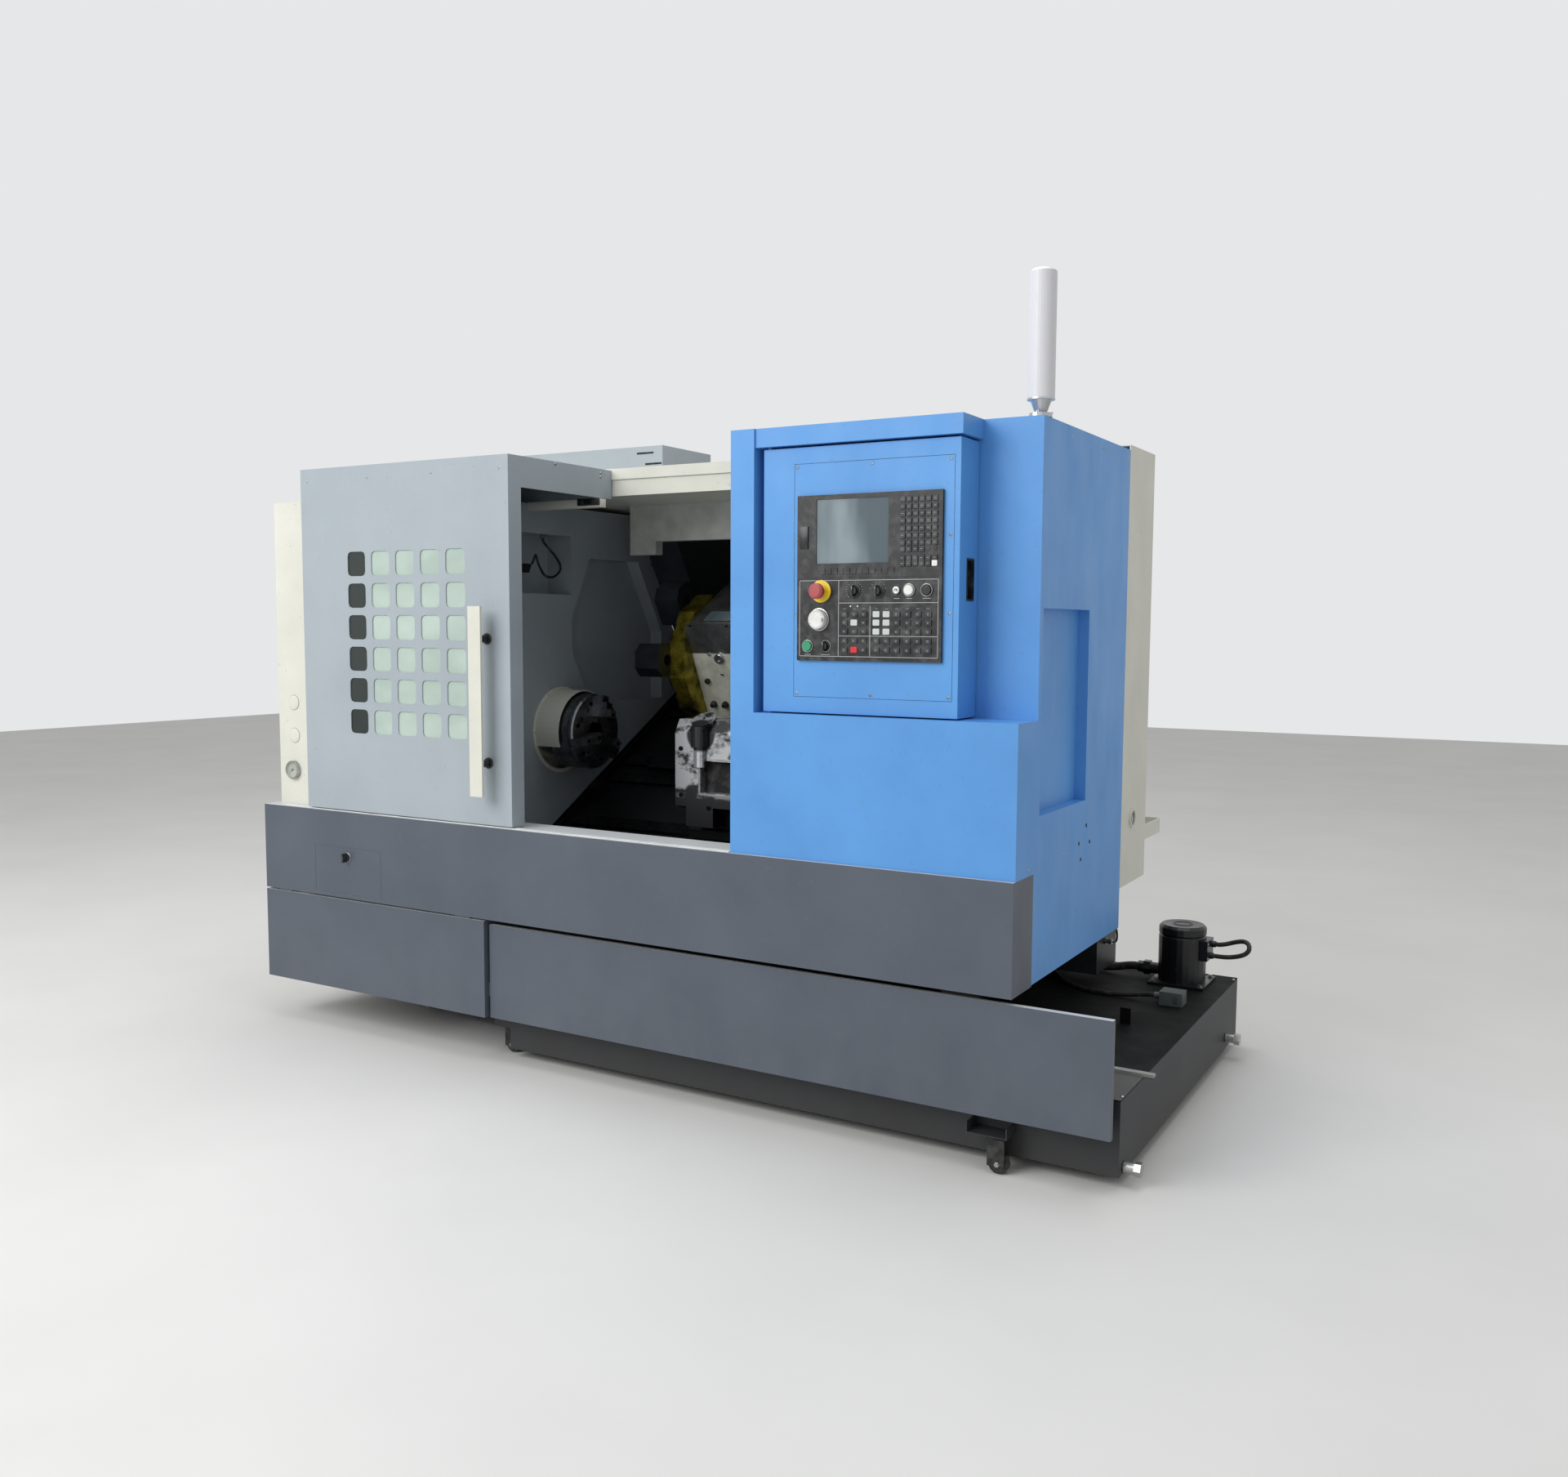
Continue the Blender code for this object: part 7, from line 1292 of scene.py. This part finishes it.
def key_cap(bm, place, wide, tall, node, thick=0.0014):
    """Soft cornered key on a panel."""
    root = at(0, 0.0207, 0).y - GAP
    rise = root - face_front(node, place).y + thick
    outline = round_rectangle(-wide / 2, -tall / 2, wide / 2, tall / 2, min(wide, tall) * 0.16, 3)
    inset = round_rectangle(-wide / 2 + 0.0005, -tall / 2 + 0.0005, wide / 2 - 0.0005, tall / 2 - 0.0005,
                            min(wide, tall) * 0.13, 3)
    centre = Vector((place.x, 0, place.z))
    loops = [[bm.verts.new(centre + Vector((a, root - lift, b))) for a, b in shape]
             for shape, lift in ((outline, 0), (outline, rise - thick * 0.4), (inset, rise))]
    for low, high in zip(loops, loops[1:]):
        for index in range(len(low)):
            after = (index + 1) % len(low)
            bm.faces.new((low[index], low[after], high[after], high[index]))
    bm.faces.new(loops[0][::-1])
    bm.faces.new(loops[-1])


def mark(bm, place, length, node, off=0.0, lift=0.0):
    """Short printed dash that stands for a key's sign."""
    spot = face_front(node, place)
    start = Vector((place.x - length / 2, spot.y - GAP - off, place.z + lift))
    print_line(bm, start, start + Vector((length, 0, 0)), 0.0007, 0.0002)


def collar_front(node, sx, sz, reach):
    """Middle of a control's collar, on the collar's own front."""
    place = panel_at(sx, sz)
    spot = face_front(node, place - Vector((reach, 0, 0)))
    return Vector((place.x, spot.y - GAP, place.z))


class LATHE_OT_operator_panel(bpy.types.Operator):
    """Printed lines, keys, lamps, rings and knob marks of the operator panel."""

    bl_idname = "lathe.operator_panel"
    bl_label = "Operator panel"

    def execute(self, context):
        ink = context.scene.lathe_print
        node = "operator_panel"
        bm = bmesh.new()
        face = face_front(node, panel_at(0.30, 0.985)).y - GAP

        def on(sx, sz):
            place = panel_at(sx, sz)
            place.y = face
            return place

        for start, end in (((0.02, 0.055), (0.978, 0.055)), ((0.978, 0.055), (0.978, 0.965)),
                           ((0.978, 0.965), (0.02, 0.965)), ((0.02, 0.965), (0.02, 0.055)),
                           ((0.300, 0.055), (0.300, 0.965)), ((0.521, 0.065), (0.521, 0.655)),
                           ((0.300, 0.695), (0.978, 0.695)), ((0.300, 0.302), (0.978, 0.302))):
            print_line(bm, on(*start), on(*end), ink.line, ink.raised)
        # scale ticks round the two turning switches
        for part, reach, count in (("feed_knob", 135, 16), ("mode_knob", 75, 6)):
            centre = on(*CONTROLS[part])
            for index in range(count):
                angle = math.radians(90 - (2 * reach * index / (count - 1) - reach))
                way = Vector((math.cos(angle), 0, math.sin(angle)))
                print_line(bm, centre + way * TICK_RADIUS, centre + way * (TICK_RADIUS + 0.0024), 0.0006, ink.raised)
        for sx, width in ((0.701, 0.014), (0.785, 0.014), (0.902, 0.020), (0.080, 0.016), (0.208, 0.024)):
            sz = 0.745 if sx > 0.5 else 0.075
            print_line(bm, on(sx - width / 0.8, sz), on(sx + width / 0.8, sz), 0.0010, ink.raised)
        for column in KEY_COLUMNS:
            print_line(bm, on(column - 0.010, 0.625), on(column + 0.010, 0.625), 0.0006, ink.raised)
        piece("panel_print", bm, "control_head", "white_ink", False)
        # key tops: dark grey, some white, one red
        dark, white, red, marks = bmesh.new(), bmesh.new(), bmesh.new(), bmesh.new()
        for row, sz in enumerate(KEY_ROWS, 1):
            for sx in KEY_COLUMNS:
                pale = (sx in (0.565, 0.634) and row <= 3) or (sx == 0.411 and row == 2)
                target = red if (sx == 0.411 and row == 5) else white if pale else dark
                key_cap(target, panel_at(sx, sz), 0.0185, 0.0150, node, 0.0012)
                if target is dark:
                    mark(marks, panel_at(sx, sz), 0.0060, node, 0.0015, 0.0012)
                    mark(marks, panel_at(sx, sz), 0.0035, node, 0.0015, -0.0020)
        piece("panel_dark_keys", dark, "control_head", "black_key_silicone")
        piece("panel_white_keys", white, "control_head", "pale_key_silicone")
        piece("panel_red_key", red, "control_head", "key_red_silicone")
        piece("panel_key_marks", marks, "control_head", "white_ink", False)
        bm = bmesh.new()
        collar = collar_front(node, 0.176, 0.836, 0.026)
        lathe(bm, [(0.0115, 0), (0.0282, -0.0004), (0.0282, 0.0008), (0.0266, 0.0014), (0.0115, 0.0022)],
              collar, FRONT, 48)
        piece("stop_ring", bm, "control_head", "yellow_moulded_abs")
        bm = bmesh.new()
        for sx, sz, inner, outer in RINGS:
            lathe(bm, [(inner, 0), (outer, 0), (outer, 0.0006), ((inner + outer) / 2, 0.0014), (inner, 0.0006)],
                  collar_front(node, sx, sz, (inner + outer) / 2), FRONT, 40)
        piece("button_rings", bm, "control_head", "zinc_plated_steel")
        bm = bmesh.new()
        lathe(bm, [(0, GAP), (0.0022, GAP), (0.0022, 0.0030), (0, 0.0030)],
              face_front(node, panel_at(*CONTROLS["lamp"])), FRONT, 20)
        for sx in (0.386, 0.435):
            lathe(bm, [(0, GAP), (0.0022, GAP), (0.0022, 0.0012), (0.0012, 0.0019), (0, 0.0021)],
                  on(sx, 0.656), FRONT, 16)
        piece("panel_lamps", bm, "control_head", "frosted_acrylic")
        # the two turning switches stand on wider skirts that turn with them
        for body in ("feed_knob", "mode_knob"):
            bm = bmesh.new()
            lathe(bm, [(0.0142, 0), (0.0195, 0), (0.0195, 0.0012), (0.0185, 0.0022), (0.0142, 0.0026)],
                  collar_front(node, *CONTROLS[body], 0.0168), FRONT, 40)
            piece(body + "_skirt", bm, body, "black_moulded_abs")
        # marks on the turning parts
        for part in ("feed_knob", "mode_knob", "rapid_selector"):
            low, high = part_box(part)
            bm = bmesh.new()
            place = panel_at(*CONTROLS[part])
            top = Vector((place.x, low.y - GAP, place.z + (high.z - low.z) * 0.12))
            print_line(bm, top, top + Vector((0, 0, (high.z - low.z) * 0.26)), 0.0010, 0.0003)
            piece(part + "_pointer", bm, part, "white_ink", False)
        low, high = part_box("handwheel")
        place = panel_at(*CONTROLS["handwheel"])
        bm = bmesh.new()
        outer = (high.x - low.x) / 2
        for index in range(50):
            angle = 2 * math.pi * index / 50
            way = Vector((math.cos(angle), 0, math.sin(angle)))
            spot = place + way * (outer * 0.90)
            hit, where, _ = cast("handwheel", (spot.x, spot.y - 1, spot.z), BACK)
            if not hit:
                continue
            reach = 0.0030 if index % 5 == 0 else 0.0018
            foot = Vector((spot.x, where.y - GAP, spot.z))
            print_line(bm, foot, foot - way * reach, 0.0003, 0.0002)
        piece("wheel_scale", bm, "handwheel", "dark_slot", False)
        return {"FINISHED"}


# ---------------------------------------------------------------- stage

class LATHE_OT_finishes(bpy.types.Operator):
    """Paint, metal, plastic and glass on every node of the machine."""

    bl_idname = "lathe.finishes"
    bl_label = "Finishes"

    def execute(self, context):
        make_paints(context.scene.lathe_paint)
        make_metals()
        make_plastics()
        make_split_finishes()
        make_tank_coat(context.scene.lathe_paint)
        finish_nodes()
        return {"FINISHED"}


def aim(item, target):
    """Point a lamp at a place."""
    item.rotation_euler = (target - item.location).to_track_quat("-Z", "Y").to_euler()


class LATHE_OT_camera(bpy.types.Operator):
    """Camera at the height and angle of a person who stands at the right front corner."""

    bl_idname = "lathe.camera"
    bl_label = "Camera"

    def execute(self, context):
        yaw, pitch, roll = math.radians(30.309), math.radians(-4.838), math.radians(0.277)
        ahead = Vector((-math.sin(yaw) * math.cos(pitch), math.cos(yaw) * math.cos(pitch), math.sin(pitch)))
        right = Vector((math.cos(yaw), math.sin(yaw), 0))
        up = right.cross(ahead)
        across = math.cos(roll) * right + math.sin(roll) * up
        above = -math.sin(roll) * right + math.cos(roll) * up
        data = bpy.data.cameras.new("camera")
        data.sensor_width = 36
        data.lens = 1635.112 / 1920 * 36
        data.clip_end = 60
        item = bpy.data.objects.new("camera", data)
        turn = Matrix((across, above, -ahead)).transposed().to_4x4()
        item.matrix_world = Matrix.Translation(at(1.09817, -2.95307, 1.32258)) @ turn
        context.scene.collection.objects.link(item)
        context.scene.camera = item
        return {"FINISHED"}


class LATHE_OT_stage(bpy.types.Operator):
    """Pale floor, soft lamps and pale room."""

    bl_idname = "lathe.stage"
    bl_label = "Stage"

    def execute(self, context):
        light = context.scene.lathe_stage
        bm = bmesh.new()
        bmesh.ops.create_grid(bm, x_segments=12, y_segments=12, size=14)
        for vert in bm.verts:
            vert.co.z -= 0.0004
        mesh = bpy.data.meshes.new("floor")
        bm.to_mesh(mesh)
        bm.free()
        floor = bpy.data.objects.new("floor", mesh)
        context.scene.collection.objects.link(floor)
        tree, shader = begin("pale_floor")
        shade = blend(tree, spread(tree, grain(tree, 0.8), 0.3, 0.7), "DCDCDA", "D6D6D4")
        tree.links.new(shade, shader.inputs["Base Color"])
        shader.inputs["Roughness"].default_value = 0.75
        mesh.materials.append(materials["pale_floor"])
        world = bpy.data.worlds.new("room")
        context.scene.world = world
        world.use_nodes = True
        tree = world.node_tree
        tree.nodes.clear()
        path = add(tree, "ShaderNodeLightPath").outputs
        seen = add(tree, "ShaderNodeMath", {0: path["Is Camera Ray"], 1: path["Is Glossy Ray"]},
                   operation="MAXIMUM").outputs[0]
        seen = add(tree, "ShaderNodeMath", {0: seen, 1: path["Is Transmission Ray"]}, operation="MAXIMUM").outputs[0]
        room = add(tree, "ShaderNodeBackground", {"Color": (1, 1, 1, 1), "Strength": light.sky})
        back = add(tree, "ShaderNodeBackground", {"Color": colour("E6E7E8"), "Strength": 1.0})
        both = add(tree, "ShaderNodeMixShader", {0: seen, 1: room.outputs[0], 2: back.outputs[0]})
        add(tree, "ShaderNodeOutputWorld", {0: both.outputs[0]})
        middle = at(-1.2, 0.6, 0.9)
        for name, place, wide, power in (("key_light", at(-3.2, -4.8, 4.2), 4.0, light.key_power),
                                         ("top_light", at(-1.0, 0.8, 6.0), 4.5, light.top_power)):
            data = bpy.data.lights.new(name, "AREA")
            data.shape = "SQUARE"
            data.size = wide
            data.energy = power
            lamp = bpy.data.objects.new(name, data)
            lamp.location = place
            aim(lamp, middle)
            context.scene.collection.objects.link(lamp)
        context.scene.view_settings.view_transform = "Standard"
        return {"FINISHED"}


# ---------------------------------------------------------------- add-on

STEPS = ("finishes", "camera", "cords", "stage", "end_cover", "chuck_fittings", "work_lamp_fittings",
         "turret_fittings", "slide_fittings", "tailstock_fittings", "guide_rail", "door_fittings", "skirt_fittings",
         "housing_fittings", "bed_fittings", "tank_fittings", "caster_fittings", "control_frame", "operator_panel")


class LATHE_PT_looks(bpy.types.Panel):
    """Lists the steps and settings of the lathe's looks."""

    bl_label = "Lathe looks"
    bl_idname = "LATHE_PT_looks"
    bl_space_type = "VIEW_3D"
    bl_region_type = "UI"
    bl_category = "Lathe"

    def draw(self, context):
        for group in ("lathe_paint", "lathe_fasteners", "lathe_print", "lathe_stage"):
            settings = getattr(context.scene, group)
            for name in settings.__annotations__:
                self.layout.prop(settings, name)
        for step in STEPS:
            self.layout.operator("lathe." + step)


SETTINGS = (("lathe_paint", LATHE_PG_paint), ("lathe_fasteners", LATHE_PG_fasteners),
            ("lathe_print", LATHE_PG_print), ("lathe_stage", LATHE_PG_stage))
CLASSES = (LATHE_PG_paint, LATHE_PG_fasteners, LATHE_PG_print, LATHE_PG_stage, LATHE_OT_finishes, LATHE_OT_camera,
           LATHE_OT_cords, LATHE_OT_stage, LATHE_OT_end_cover, LATHE_OT_chuck_fittings,
           LATHE_OT_work_lamp_fittings, LATHE_OT_turret_fittings, LATHE_OT_slide_fittings,
           LATHE_OT_tailstock_fittings, LATHE_OT_guide_rail, LATHE_OT_door_fittings, LATHE_OT_skirt_fittings,
           LATHE_OT_housing_fittings, LATHE_OT_bed_fittings, LATHE_OT_tank_fittings, LATHE_OT_caster_fittings,
           LATHE_OT_control_frame, LATHE_OT_operator_panel, LATHE_PT_looks)


def register():
    for item in CLASSES:
        bpy.utils.register_class(item)
    for name, group in SETTINGS:
        setattr(bpy.types.Scene, name, PointerProperty(type=group))


def unregister():
    for name, _ in SETTINGS:
        delattr(bpy.types.Scene, name)
    for item in reversed(CLASSES):
        bpy.utils.unregister_class(item)


def main():
    register()
    for step in STEPS:
        getattr(bpy.ops.lathe, step)()


if __name__ == "__main__":
    main()
